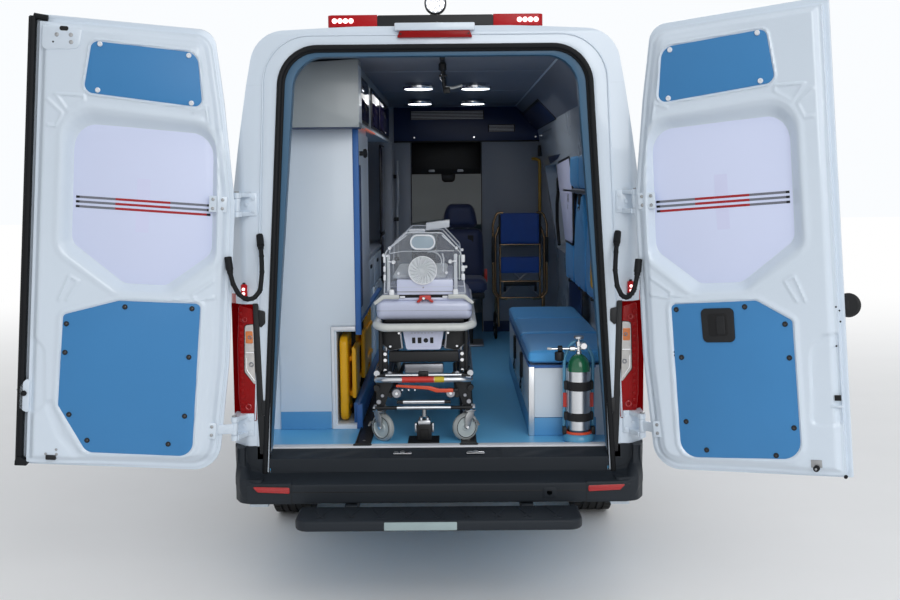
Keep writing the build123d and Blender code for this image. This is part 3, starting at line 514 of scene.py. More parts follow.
finish("sillWhite", (0.72, 0.75, 0.8), 0.35, tone=0.06, broad=9, grain=600, bump=0.1)
finish("liningBlue", (0.04, 0.12, 0.215), 0.42, tone=0.1, broad=3, grain=800, bump=0.1)
finish("wallGrey", (0.7, 0.78, 0.86), 0.36, tone=0.05, broad=2, grain=900, bump=0.06, coat=0.2)
finish("lockerGrey", (0.37, 0.405, 0.42), 0.34, tone=0.05, broad=2, grain=900, bump=0.06, coat=0.2)
finish("edgeViolet", (0.045, 0.15, 0.42), 0.36, specular=0.3, tone=0.08, grain=900, bump=0.06)
finish("skirtingBlue", (0.11, 0.34, 0.62), 0.38, specular=0.3, tone=0.08, broad=3, grain=700, bump=0.1)
finish("vinylFloor", (0.15, 0.52, 0.88), 0.32, tone=0.14, broad=1.2, grain=1500, bump=0.12, specular=0.35)
finish("seatVinyl", (0.078, 0.37, 0.76), 0.42, specular=0.35, tone=0.1, broad=6, grain=1600, bump=0.35, depth=0.0006,
       sheen=0.1)
finish("seatNavy", (0.014, 0.026, 0.09), 0.55, tone=0.25, broad=10, grain=1400, bump=0.5, depth=0.0006, sheen=0.2)
finish("slingBlue", (0.008, 0.085, 0.43), 0.5, tone=0.2, broad=16, grain=1800, bump=0.6, depth=0.0008, sheen=0.25)
finish("boardYellow", (0.95, 0.48, 0.006), 0.38, specular=0.35, tone=0.12, broad=5, grain=500, bump=0.15, coat=0.15)
finish("railYellow", (0.58, 0.32, 0.015), 0.3, tone=0.08, broad=8, grain=500, bump=0.1, coat=0.3)
finish("navyPanel", (0.012, 0.032, 0.11), 0.4, tone=0.15, broad=3, grain=800, bump=0.08)
finish("ceilingGrey", (0.22, 0.235, 0.28), 0.42, tone=0.06, broad=2, grain=900, bump=0.08)
finish("partitionGrey", (0.32, 0.355, 0.42), 0.42, tone=0.06, broad=2, grain=900, bump=0.08)
finish("incubatorWhite", (0.62, 0.66, 0.84), 0.26, tone=0.04, broad=3, grain=900, bump=0.05, coat=0.4)
finish("creamTube", (0.62, 0.64, 0.62), 0.32, tone=0.08, broad=12, grain=600, bump=0.1, coat=0.2)
finish("clearHood", (0.8, 0.84, 0.9), 0.05, alpha=0.07, tone=0.02, grain=200, bump=0.0, coat=0.3)
finish("clearEdge", (0.8, 0.84, 0.9), 0.1, alpha=0.6, tone=0.02, grain=200, bump=0.02, coat=0.3)
finish("portGlass", (0.42, 0.52, 0.6), 0.14, alpha=0.75, tone=0.1, grain=300, bump=0.05)
finish("irisCloth", (0.66, 0.69, 0.72), 0.55, tone=0.1, broad=30, grain=900, bump=0.4, sheen=0.2)
finish("greySteel", (0.34, 0.35, 0.38), 0.36, metallic=1.0, tone=0.2, broad=10, grain=400, bump=0.1)
finish("leverRed", (0.68, 0.075, 0.025), 0.34, tone=0.1, broad=10, grain=500, bump=0.1)
finish("labelRed", (0.55, 0.03, 0.02), 0.4, tone=0.1, broad=10, grain=500, bump=0.1)
finish("labelYellow", (0.6, 0.46, 0.02), 0.4, tone=0.1, broad=10, grain=500, bump=0.1)
finish("castorGrey", (0.32, 0.34, 0.34), 0.5, tone=0.12, broad=12, grain=700, bump=0.3)
finish("castorDisc", (0.48, 0.54, 0.55), 0.36, tone=0.1, broad=20, grain=500, bump=0.1)
finish("cylinderGreen", (0.01, 0.135, 0.06), 0.22, tone=0.15, broad=10, grain=500, bump=0.08, coat=0.4)
finish("trolleyBlue", (0.09, 0.33, 0.54), 0.3, tone=0.08, broad=8, grain=500, bump=0.08, coat=0.3)
finish("strapBlack", (0.01, 0.01, 0.012), 0.75, tone=0.3, broad=30, grain=1500, bump=0.8, depth=0.0006)
finish("bronzeTube", (0.42, 0.27, 0.15), 0.24, metallic=1.0, tone=0.2, broad=14, grain=400, bump=0.06)
finish("lampShell", (0.2, 0.001, 0.002), 0.65, tone=0.1, broad=14, grain=400, bump=0.1, specular=0.0)
finish("lampGlow", (0.9, 0.9, 0.95), 0.3, glow=((0.92, 0.96, 1.0), 3.0), tone=0.03)
finish("lampDim", (0.42, 0.44, 0.48), 0.3, glow=((0.85, 0.92, 1.0), 0.22), tone=0.05)
finish("ledOrange", (0.6, 0.14, 0.06), 0.3, glow=((1.0, 0.22, 0.1), 0.35), tone=0.03)
finish("paneDark", (0.016, 0.01, 0.045), 0.08, tone=0.2, broad=3, grain=300, bump=0.02, coat=0.4)
print("finishes mixed")

# Rear doors: modelled closed on the right side, mirrored for the left, then turned open on their hinges
rearDoor = {
    "skin": -3.193, "inner": -3.128, "hingeX": 0.909, "hingeY": -3.208, "hingeZ": 1.2, "tilt": 2.2,
    "left": -173.3, "right": 150.2, "ledge": 0.02, "basin": 0.045, "step": 0.006,
}
rearOutline = [(0.0065, 0.651, 0.008), (0.863, 0.651, 0.12), (0.887, 1.15, 0.5), (0.877, 1.85, 0.6),
               (0.811, 2.29, 0.5), (0.753, 2.599, 0.08), (0.0065, 2.609, 0.008)]
pressOutline = [(0.03, 0.668, 0.02), (0.842, 0.668, 0.11), (0.87, 1.15, 0.5), (0.86, 1.85, 0.6),
                (0.794, 2.28, 0.5), (0.738, 2.574, 0.075), (0.03, 2.583, 0.02)]
paneOutline = [(0.203, 1.655, 0.06), (0.425, 1.49, 0.05), (0.59, 1.49, 0.05), (0.78, 1.64, 0.06),
               (0.765, 2.135, 0.09), (0.197, 2.14, 0.09)]
basinOutline = [(0.137, 1.612, 0.09), (0.392, 1.436, 0.08), (0.622, 1.436, 0.08), (0.815, 1.6, 0.08),
                (0.8, 2.196, 0.12), (0.14, 2.232, 0.12)]
upperPanel = [(0.222, 2.291, 0.035), (0.722, 2.262, 0.03), (0.69, 2.492, 0.055), (0.249, 2.508, 0.03)]
lowerPanelLeft = [(0.161, 0.93, 0.02), (0.288, 0.726, 0.05), (0.746, 0.724, 0.06), (0.752, 1.409, 0.02),
                  (0.4, 1.403, 0.05), (0.17, 1.33, 0.02)]
lowerPanelRight = [(0.201, 0.733, 0.075), (0.72, 0.721, 0.075), (0.722, 1.395, 0.02), (0.352, 1.402, 0.03),
                   (0.207, 1.315, 0.02)]
pressRibs = [
    [(0.107, 2.274), (0.222, 2.278), (0.226, 2.255), (0.157, 2.208), (0.107, 2.274)],
    [(0.076, 2.248), (0.137, 2.196), (0.112, 2.137), (0.08, 2.141)],
    [(0.684, 2.24), (0.74, 2.262), (0.753, 2.196)],
    [(0.803, 1.512), (0.716, 1.447), (0.73, 1.425), (0.811, 1.44)],
    [(0.15, 1.395), (0.19, 1.5), (0.229, 1.48), (0.184, 1.395)],
    [(0.64, 1.425), (0.72, 1.435)],
]
doorPocket = [(0.026, 0.872, 0.03), (0.157, 0.872, 0.03), (0.149, 1.2, 0.09), (0.09, 1.262, 0.05),
              (0.026, 1.262, 0.01)]


def doorTurn(side):
    tilt = math.radians(rearDoor["tilt"])
    pivot = Vector((side * rearDoor["hingeX"], rearDoor["hingeY"], rearDoor["hingeZ"]))
    direction = Vector((-side * math.sin(tilt), 0, math.cos(tilt)))
    angle = math.radians(rearDoor["right"] if side > 0 else rearDoor["left"])
    return Matrix.Translation(pivot) @ Matrix.Rotation(angle, 4, direction) @ Matrix.Translation(-pivot)


def shapeDoor(side, lowerPanel):
    edge = np.array([tuple(point) for point in rounded(pressOutline, 10)])
    hingeSide = edge[edge[:, 0] > 0.45]
    hingeSide = hingeSide[np.argsort(hingeSide[:, 1])]
    levels = np.unique(np.round(np.concatenate([np.arange(0.668, 2.574, 0.0065), hingeSide[:, 1]]), 4))
    columns, lines = 130, len(levels) - 1
    deselect()
    bpy.ops.mesh.primitive_grid_add(x_subdivisions=columns, y_subdivisions=lines, size=2)
    piece = bpy.context.object
    start = getPoints(piece)
    u, v = (start[:, 0] + 1) / 2, (start[:, 1] + 1) / 2
    z = levels[np.rint(v * lines).astype(int)]
    x = 0.03 + u * (np.interp(z, hingeSide[:, 1], hingeSide[:, 0]) - 0.03)
    fromEdge = insideOf(pressOutline, x, z)
    deep = rearDoor["ledge"] * (1 - ease(fromEdge, 0.01, 0.036))
    deep += 0.01 * (1 - ease(fromEdge, 0.034, 0.06)) * ease(x, 0.3, 0.6)
    deep += 0.012 * (1 - ease(z, 0.69, 0.735)) * ease(x, 0.2, 0.32)
    basin, pane = insideOf(basinOutline, x, z), insideOf(paneOutline, x, z)
    way = np.clip(basin, 0, None) / (np.clip(basin, 0, None) + np.clip(-pane, 0, None) + 1e-6)
    deep = np.maximum(deep, rearDoor["basin"] * ease(way, 0.0, 0.92))
    lip = ease(basin, -0.03, -0.006) * (1 - ease(basin, -0.006, 0.01))
    deep -= 0.004 * lip
    for outline, width in ((lowerPanel, 0.03), (upperPanel, 0.016)):
        panel = insideOf(outline, x, z)
        deep -= rearDoor["step"] * ease(panel, -width, -width * 0.45) * (1 - ease(panel, -0.008, 0.002))
        deep += 0.003 * ease(panel, -0.008, 0.002)
    for rib in pressRibs:
        deep -= 0.0045 * (1 - ease(nearLine(rib, x, z), 0.002, 0.01))
    if side > 0:
        deep += 0.009 * ease(insideOf(doorPocket, x, z), 0.0, 0.014)
    else:
        bulge = insideOf([(0.03, 0.86, 0.05), (0.112, 0.92, 0.05), (0.104, 1.18, 0.07), (0.03, 1.26, 0.05)], x, z)
        deep += 0.006 * ease(bulge, 0.0, 0.016)
        deep += 0.006 * (1 - ease(nearLine([(0.125, 0.93), (0.175, 0.8), (0.245, 0.715)], x, z), 0.004, 0.03))
    setPoints(piece, np.stack([side * x, rearDoor["inner"] - deep, z], 1))
    editing(piece)
    bpy.ops.mesh.select_all(action="DESELECT")
    bpy.ops.mesh.select_non_manifold()
    bpy.ops.mesh.extrude_region_move(TRANSFORM_OT_translate={"value": (0, -0.05, 0)})
    bpy.ops.object.mode_set(mode="OBJECT")
    made = getPoints(piece)
    made[len(start):, 1] = rearDoor["skin"] + 0.011
    setPoints(piece, made)
    return coat(outward(piece), "bodyWhite")


def onSide(side, rows):
    return [(side * row[0], *row[1:]) for row in rows]


def grown(rows, amount):
    # the outline with its corners pushed outwards from its middle
    a = sum(row[0] for row in rows) / len(rows)
    b = sum(row[1] for row in rows) / len(rows)
    return [(p + math.copysign(amount, p - a), q + math.copysign(amount, q - b), r + amount) for p, q, r in rows]


def screwAt(x, y, z, radius, paintName, height=0.005):
    rows = [(0, 0), (radius, 0), (radius, height * 0.4), (radius * 0.82, height * 0.85), (radius * 0.45, height),
            (radius * 0.4, height * 0.7), (0, height * 0.7)]
    return turned("screw", rows, "Y", (x, y, z), paintName, 16)


panelScrews = {
    -1: [(0.185, 1.291), (0.43, 1.378), (0.717, 1.386), (0.183, 1.165), (0.713, 1.17), (0.209, 0.891),
         (0.706, 0.905), (0.29, 0.779), (0.64, 0.776)],
    1: [(0.7, 1.372), (0.401, 1.377), (0.237, 1.301), (0.69, 1.163), (0.227, 1.16), (0.688, 0.88),
        (0.224, 0.865), (0.604, 0.757), (0.305, 0.745)],
}
panelStuds = [(0.283, 2.497), (0.655, 2.478), (0.281, 2.303), (0.675, 2.277)]


def buildRearDoor(side, name, lowerPanel):
    body, label = "rear_door_" + name, name.capitalize()
    turn = doorTurn(side)
    inner, skin = rearDoor["inner"], rearDoor["skin"]
    shell = shapeDoor(side, lowerPanel)
    outer = plate("skin", onSide(side, rearOutline), "XZ", skin, skin + 0.013, "bodyWhite", 0.004, 8)
    lowGroove = plate("groove", onSide(side, [(0.06, 1.36, 0.02), (0.84, 1.36, 0.02), (0.84, 1.375, 0.005),
                                              (0.06, 1.375, 0.005)]), "XZ", skin - 0.002, skin + 0.003, "bodyWhite")
    cut(outer, lowGroove)
    hem = plate("hem", onSide(side, grown(pressOutline, 0.006)), "XZ", skin + 0.012, skin + 0.02, "bodyWhite", 0.002, 8)
    pane = plate("outerPane", onSide(side, [(0.075, 1.43, 0.06), (0.815, 1.43, 0.09), (0.775, 2.2, 0.12),
                                            (0.075, 2.21, 0.07)]), "XZ", skin - 0.004, skin + 0.002, "darkGlass", 0.002,
                                            8)
    parts = [shell, outer, hem, pane]
    settleDoor(joined("rearDoor" + label, *parts), turn, body, body)

    frost = plate("frost", onSide(side, grown(paneOutline, 0.01)), "XZ", inner - 0.05, inner - 0.0425,
                  "frostedEdge", 0.001, 8)
    light = plate("light", onSide(side, grown(paneOutline, -0.02)), "XZ", inner - 0.045, inner - 0.0415,
                  "frosted", 0.0015, 8)
    parts = [frost, light]
    parts.append(plate("mark", onSide(side, box4(0.455, 0.511, 1.705, 1.938)), "XZ", inner - 0.043, inner - 0.0412,
                       "frostedBar"))
    for step in range(3):
        level = 1.801 + 0.0205 * step
        for near, far, paintName in ((0.199, 0.214, "shadowBlack"), (0.214, 0.366, "stripeGrey"),
                                     (0.366, 0.6, "stripeRed"),
                                     (0.6, 0.758, "stripeRed" if step == 0 else "stripeGrey"),
                                     (0.758, 0.774, "shadowBlack")):
            rows = [(near, level - 0.005 + 0.004 * (0.5 - near), 0), (far, level - 0.005 + 0.004 * (0.5 - far), 0),
                    (far, level + 0.005 + 0.004 * (0.5 - far), 0), (near, level + 0.005 + 0.004 * (0.5 - near), 0)]
            parts.append(plate("stripe", onSide(side, rows), "XZ", inner - 0.042, inner - 0.0405, paintName))
    settleDoor(joined("rearPane" + label, *parts), turn, body, "rear_window_" + name)

    lower = plate("lower", onSide(side, lowerPanel), "XZ", inner - 0.004, inner + 0.0005, "panelBlue", 0.0015, 8)
    upper = plate("upper", onSide(side, upperPanel), "XZ", inner - 0.004, inner + 0.0005, "panelBlue", 0.0015, 8)
    parts = [lower, upper]
    for x, z in panelScrews[side]:
        parts += [
            screwAt(side * x, inner, z, 0.0115, "blackPlastic"),
            screwAt(side * x, inner + 0.0005, z, 0.0065, "darkGlass", 0.006)]
    for x, z in panelStuds:
        parts.append(screwAt(side * x, inner, z, 0.0115, "studWhite", 0.008))
    settleDoor(joined("doorPanels" + label, *parts), turn, body)

    parts = []
    for x, z in ((0.779, 1.186), (0.793, 1.18), (0.779, 1.172)) if side < 0 else ((0.745, 1.186), (0.758, 1.179),
                                                                                   (0.745, 1.172)):
        parts.append(disc("hole", "Y", (side * (x - 0.02), inner - 0.004, z), 0.0055, 0.005, "shadowBlack", steps=12))
    if side < 0:
        parts += [
            plate("slotPlate", onSide(side, [(0.045, 2.455, 0.02), (0.2, 2.47, 0.03), (0.21, 2.555, 0.01),
                (0.045, 2.56, 0.01)]), "XZ", inner - 0.01, inner + 0.004,
                "bodyWhite", 0.004),
            plate("slot", onSide(side, [(0.116, 2.54, 0.008), (0.152, 2.541, 0.008), (0.152, 2.56, 0.008),
                (0.116, 2.559, 0.008)]), "XZ", inner, inner + 0.005, "shadowBlack")]
        for x, z in ((0.105, 2.522), (0.163, 2.525), (0.165, 2.495)):
            parts.append(screwAt(side * x, inner + 0.003, z, 0.009, "zinc", 0.004))
        parts.append(disc("hole", "Y", (side * 0.091, inner + 0.003, 2.491), 0.004, 0.002, "shadowBlack", steps=12))
        catchX, catchZ = 0.14, 0.697
        parts.append(bar("catch", (side * (catchX - 0.024), side * (catchX + 0.02)), (inner - 0.02, inner + 0.006),
                         (catchZ - 0.012, catchZ + 0.01), "blackPlastic", 0.004))
        for dx, dz in ((-0.02, 0.035), (-0.022, 0.014), (0.024, 0.014)):
            parts.append(screwAt(side * (catchX - dx), inner - 0.001, catchZ + dz, 0.006, "zinc", 0.005))
        striker = plate("striker", onSide(side, [(-0.012, 0.905, 0.02), (0.036, 0.885, 0.01), (0.036, 1.05, 0.01),
                                                 (-0.012, 1.005, 0.03)]), "XZ", inner - 0.03, inner - 0.012,
                        "bodyWhite", 0.004)
        parts += [
            striker,
            disc("knob", "Y", (side * 0.014, inner - 0.013, 0.975), 0.012, 0.012, "blackRubber", 0.004),
            tube("pin", [(side * 0.006, inner - 0.02, 0.978), (side * -0.014, inner - 0.02, 0.978),
                (side * -0.02, inner - 0.02, 0.99)], 0.004, "chrome", 0.004)]
        seal = plate("seal", onSide(side, [(-0.014, 0.66, 0), (0.012, 0.66, 0), (0.012, 2.595, 0.004),
                                           (-0.014, 2.595, 0.004)]), "XZ", skin + 0.012, inner - 0.012, "blackRubber",
                                           0.004)
        foot = plate("foot", onSide(side, [(-0.017, 0.652, 0.003), (0.034, 0.652, 0.003), (0.034, 0.668, 0.004),
                                           (0.01, 0.69, 0.01), (-0.012, 0.69, 0.01), (-0.017, 0.67, 0.003)]), "XZ",
                     skin + 0.012, inner - 0.006, "blackRubber", 0.003)
        cap = tube("cap", [(side * 0.002, inner - 0.03, 2.596), (side * 0.06, inner - 0.03, 2.59)], 0.013,
                   "blackRubber", 0)
        lip = tube("lip", [(side * -0.01, inner - 0.014, 0.68), (side * -0.01, inner - 0.014, 2.59)], 0.006,
                   "blackRubber", 0)
        step = bar("clip", (side * -0.016, side * -0.006), (inner - 0.035, inner - 0.014), (1.045, 1.155), "blackPlastic")
        parts += [seal, foot, cap, lip, step]
    else:
        parts += [
            plate("pullRim", onSide(side, [(0.449, 1.228, 0.022), (0.588, 1.228, 0.022), (0.592, 1.374, 0.022),
                (0.449, 1.374, 0.022)]), "XZ", inner - 0.002, inner + 0.007,
                "blackPlastic", 0.003, 8),
            plate("pullWell", onSide(side, [(0.478, 1.254, 0.012), (0.56, 1.254, 0.012), (0.562, 1.352, 0.012),
                (0.478, 1.352, 0.012)]), "XZ", inner + 0.0065, inner + 0.0085,
                "shadowBlack", 0.001, 8),
            plate("pullLever", onSide(side, box4(0.486, 0.524, 1.262, 1.344, 0.008)), "XZ", inner + 0.008, inner + 0.013,
                "blackPlastic", 0.003, 6),
            disc("handle", "Y", (side * -0.004, skin - 0.02, 1.365), 0.05, 0.022, "blackPlastic", 0.008, 40),
            bar("handleFoot", (side * -0.01, side * 0.04), (skin - 0.018, skin + 0.004), (1.345, 1.385),
                "blackPlastic", 0.004),
            bar("latchLip", (side * 0.026, side * 0.074), (inner - 0.015, inner - 0.006), (0.952, 0.962),
                "bodyWhite", 0.003),
            bar("latchHole", (side * 0.03, side * 0.056), (inner - 0.013, inner - 0.007), (0.981, 1.004),
                "shadowBlack", 0.001),
            bar("catchPlate", (side * 0.118, side * 0.163), (inner - 0.004, inner + 0.003), (0.7, 0.733),
                "zinc", 0.002),
            disc("catchPin", "Y", (side * 0.14, inner - 0.002, 0.698), 0.013, 0.02, "blackRubber", 0.004),
            disc("catchEye", "Y", (side * 0.14, inner + 0.018, 0.698), 0.005, 0.003, "zinc", 0.001)]
        for x, z in ((0.021, 1.35), (0.019, 1.305), (0.034, 1.365), (0.04, 1.205)):
            parts.append(disc("hole", "Y", (side * x, inner - 0.021, z), 0.004, 0.003, "shadowBlack", steps=12))
        parts.append(disc("plug", "Y", (side * 0.03, inner - 0.026, 0.662), 0.008, 0.012, "blackRubber", 0.003))
    for level in (0.81, 1.82):
        parts += hingeArm(side, level)
    settleDoor(joined("doorFittings" + label, *parts), turn, body)


def hingeArm(side, level):
    x = rearDoor["hingeX"] - (level + 0.03 - rearDoor["hingeZ"]) * math.tan(math.radians(rearDoor["tilt"]))
    y = rearDoor["hingeY"]
    made = [bar("foot", (side * 0.768, side * 0.846), (rearDoor["inner"] - 0.022, rearDoor["inner"] - 0.008),
                (level - 0.006, level + 0.066), "bodyWhite", 0.004)]
    made += [
        plate("arm", [(side * 0.8, rearDoor["inner"] - 0.03, 0.004), (side * (x - 0.02), y - 0.002, 0.01),
            (side * (x + 0.004), y - 0.012, 0.01), (side * (x + 0.012), y + 0.006, 0.01),
            (side * (x - 0.03), y + 0.022, 0.012), (side * 0.815, rearDoor["inner"] - 0.012, 0.004)],
            "XY", level + 0.008, level + 0.052, "bodyWhite", 0.003),
        turned("knuckle", [(0, 0.001), (0.013, 0.001), (0.015, 0.004), (0.015, 0.056), (0.013, 0.059), (0, 0.059)],
            "Z", (side * x, y, level), "bodyWhite", 20)]
    for dx, dz in ((0.785, 0.01), (0.785, 0.05), (0.826, 0.012), (0.826, 0.05)):
        made.append(screwAt(side * dx, rearDoor["inner"] - 0.009, level + dz, 0.0075, "zinc", 0.006))
    return made


def settleDoor(piece, turn, body, *nodes):
    settle(placed(piece, turn), body, *nodes)


buildRearDoor(-1, "left", lowerPanelLeft)
buildRearDoor(1, "right", lowerPanelRight)
print("rear doors built")

# Rear of the body: seal, pillars, lamps, hinges, sill, bumper and step
rearFrame = {"plane": -3.118}


def apertureLine(grow, low=0.675, lean=0.0):
    # from the sill on the left, up, across the top and down on the right
    side = [(0.7875 + grow, low), (0.704 + grow - lean, 2.54 + grow - 0.4 * lean)]
    points = rounded([(side[0][0], side[0][1], 0), (side[1][0], side[1][1], 0.155 + grow),
                      (-side[1][0], side[1][1], 0.155 + grow),
                      (-side[0][0], side[0][1], 0)], 12)
    return [tuple(point) for point in points]


def archStrip(name, near, far, front, back, paintName, low=0.675, edge=0.002, lean=0.0):
    # a flat band that follows the aperture, between two outlines
    rows = [(a, b, 0) for a, b in apertureLine(far, low)] + [(a, b, 0) for a,
            b in reversed(apertureLine(near, low, lean))]
    return plate(name, rows, "XZ", front, back, paintName, edge)


plane = rearFrame["plane"]
seal = tube("rearSeal", [(a, plane - 0.006, b) for a, b in apertureLine(0.017, 0.612, 0.036)], 0.012, "blackRubber", 0)
sealLip = tube("sealLip", [(a, plane + 0.01, b) for a, b in apertureLine(0.005, 0.612, 0.036)], 0.009, "blackRubber", 0)
settle(joined("rearSeal", seal, sealLip), "van")
ledge = archStrip("frameLedge", 0.016, 0.052, plane - 0.0045, plane + 0.002, "bodyWhite", lean=0.036)
drip = tube("frameDrip", [(a, plane - 0.002, b) for a, b in apertureLine(0.056, 0.86)], 0.0035, "bodyWhite", 0)
settle(joined("frameLedge", ledge, drip), "van")
lining = archStrip("rearLining", -0.01, 0.004, plane + 0.014, plane + 0.085, "liningBlue", 0.72, lean=0.065)
settle(lining, "van")


def bodyHinge(side, level):
    x = rearDoor["hingeX"] - (level + 0.03 - rearDoor["hingeZ"]) * math.tan(math.radians(rearDoor["tilt"]))
    y = rearDoor["hingeY"]
    made = []
    for low, high in ((level - 0.024, level - 0.0008), (level + 0.0608, level + 0.084)):
        made += [
            turned("knuckle", [(0, low), (0.013, low), (0.015, low + 0.003), (0.015, high - 0.003),
                (0.013, high), (0, high)], "Z", (side * x, y, 0), "bodyWhite", 20),
            plate("bracket", [(side * (x - 0.016), y + 0.004, 0.006), (side * (x + 0.014), y - 0.002, 0.008),
                (side * (x + 0.02), y + 0.045, 0.02), (side * (x - 0.005), plane + 0.01, 0.01),
                (side * (x - 0.055), plane + 0.01, 0.004), (side * (x - 0.05), plane - 0.006, 0.004)],
                "XY", low + 0.002, high - 0.002, "bodyWhite", 0.002)]
    made.append(bar("foot", (side * (x - 0.075), side * (x + 0.006)), (plane - 0.01, plane + 0.02),
                    (level - 0.022, level + 0.082), "bodyWhite", 0.004))
    for dx, dz in ((-0.062, 0.0), (-0.062, 0.058), (-0.03, 0.03)):
        made.append(screwAt(side * (x + dx), plane - 0.02, level + dz, 0.008, "bodyWhite", 0.01))
    made.append(disc("cap", "Z", (side * x, y, level + 0.084), 0.0115, 0.006, "zinc", 0.002, 16))
    return made


hingeParts = []
for side in (-1, 1):
    for level in (0.81, 1.82):
        hingeParts += bodyHinge(side, level)
settle(joined("rearHinges", *hingeParts), "van")
coat(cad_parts["door_hinges"], "bodyWhite")

# Tail lamps: red shells with a clear pocket on the inner side
coat(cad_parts["tail_lamps"], "lampShell")
for side, name in ((-1, "Left"), (1, "Right")):
    parts = []
    face = [(0.833, 0.8585, 0.006), (0.908, 0.8585, 0.012), (0.918, 0.971, 0.1), (0.917, 1.19, 0.3),
            (0.907, 1.3935, 0.01),
            (0.842, 1.3755, 0.006)]
    parts.append(plate("lens", onSide(side, face), "XZ", plane - 0.001, plane + 0.012, "lampRed", 0.005, 6, 3))
    pocket = [(0.842, 1.304, 0.004), (0.88, 1.3, 0.014), (0.886, 1.086, 0.02), (0.838, 1.02, 0.004)]
    parts += [
        plate("pocketRim", onSide(side, grown(pocket, 0.003)), "XZ", plane - 0.003, plane + 0.002, "blackPlastic", 0.001),
        plate("pocket", onSide(side, pocket), "XZ", plane - 0.0045, plane + 0.002, "lampClear", 0.002),
        plate("amber", onSide(side, box4(0.844, 0.878, 1.216, 1.274, 0.006)), "XZ", plane - 0.0055, plane, "lampAmber",
              0.002)]
    for x, z, size, shade in ((0.857, 1.245, 0.009, "greySteel"), (0.853, 1.12, 0.011, "greySteel"),
                              (0.879, 1.326, 0.012, "reflectorRed"),
                              (0.872, 0.923, 0.015, "reflectorRed")):
        parts.append(turned("bulbRing", [(size * 0.55, 0), (size, 0), (size, -0.004), (size * 0.8, -0.0055),
                                         (size * 0.55, -0.003)], "Y",
                            (side * x, plane - 0.0035, z), shade, 20, ring=True))
    parts += [
        bar("pocketLine", (side * 0.84, side * 0.88), (plane - 0.0056, plane), (1.172, 1.178), "chrome", 0.001, 1),
        tube("pocketCurve", [(side * 0.876, plane - 0.005, 1.15), (side * 0.876, plane - 0.005, 1.095),
            (side * 0.842, plane - 0.005, 1.045)], 0.0022, "chrome", 0.03)]
    for step in range(16):
        z = 0.9 + 0.0295 * step
        rib = [(0.891, z, 0.003), (0.909, z + 0.004, 0.003), (0.909, z + 0.02, 0.003), (0.891, z + 0.018, 0.003)]
        parts.append(plate("rib", onSide(side, rib), "XZ", plane - 0.0035, plane + 0.002, "lampRed", 0.0015))
    settle(joined("tailLens" + name, *parts), "van")
    # black strip, stays and grey cover between the lamp and the seal, and a red lamp with two lights on top
    parts = []
    for rows, front, shade in (
        ([(0.841, 1.4, 0.004), (0.815, 1.4, 0.004), (0.803, 0.935, 0.02), (0.79, 0.7, 0), (0.826, 0.7, 0),
          (0.832, 0.86, 0.01)],
         0.0065, "blackPlastic"),
        ([(0.818, 1.372, 0.006), (0.785, 1.364, 0.01), (0.785, 1.309, 0.01), (0.81, 1.284, 0.006)], 0.0125,
         "blackPlastic"),
        ([(0.812, 0.955, 0.006), (0.78, 0.948, 0.01), (0.78, 0.897, 0.01), (0.816, 0.875, 0.006)], 0.0125,
         "blackPlastic"),
        ([(0.812, 1.285, 0.004), (0.786, 1.3, 0.004), (0.788, 0.95, 0.004), (0.8, 0.95, 0.004)], 0.0035, "sillWhite"),
    ):
        parts.append(plate("pillarPlate", onSide(side, rows), "XZ", plane - front, plane + 0.003, shade, 0.003))
    parts += [
        disc("lampBulb", "Z", (side * 0.876, plane - 0.018, 1.432), 0.015, 0.058, "barRed", 0.005, 20),
        disc("lampFoot", "Z", (side * 0.876, plane - 0.018, 1.424), 0.018, 0.012, "blackPlastic", 0.003, 20),
        disc("lampCap", "Z", (side * 0.876, plane - 0.018, 1.489), 0.007, 0.008, "blackPlastic", 0.002, 16)]
    for z in (1.448, 1.468):
        parts.append(disc("glow", "Y", (side * 0.876, plane - 0.0325, z), 0.007, -0.003, "ledGlow", 0.001, 16))
    settle(joined("pillarTrim" + name, *parts), "van")

# High-level brake lamp on a white pod
highLamp = plate("highLamp", [(-0.168, 2.581, 0.004), (0.168, 2.581, 0.004), (0.155, 2.611, 0.01),
                              (-0.155, 2.611, 0.01)], "XZ", plane - 0.0215, plane + 0.012, "lampRed", 0.003)
parts = [highLamp, bar("lampPod", (-0.178, 0.178), (plane - 0.0245, plane + 0.031), (2.6115, 2.6455), "bodyWhite", 0.005)]
for x in (-0.15, 0.15):
    parts.append(screwAt(x, plane - 0.026, 2.597, 0.004, "blackPlastic", 0.004))
settle(joined("highLamp", *parts), "van")

# Sill cover, bumper and step
bumper = {"seam": 0.668, "back": 0.612, "cornerTop": 0.7375}
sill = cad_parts["rear_bumper"]
coat(sill, "bumperPlastic")
parts = [plate("sillPlate", [(-0.782, 0.7015, 0), (0.782, 0.7015, 0), (0.782, 0.7125, 0.002), (-0.782, 0.7125, 0.002)],
               "XZ", plane + 0.094, plane + 0.141, "sillWhite", 0.001)]
parts.append(plate("sillNose", [(-0.78, 0.688, 0), (0.78, 0.688, 0), (0.78, 0.7125, 0.004), (-0.78, 0.7125, 0.004)],
                   "XZ", plane + 0.086, plane + 0.098, "sillWhite", 0.002))
for x in (-0.66, -0.4, -0.13, 0.15, 0.43, 0.7):
    parts.append(screwAt(x, plane + 0.0845, 0.7005, 0.004, "zinc", 0.002))
settle(joined("sillPlate", *parts), "van")

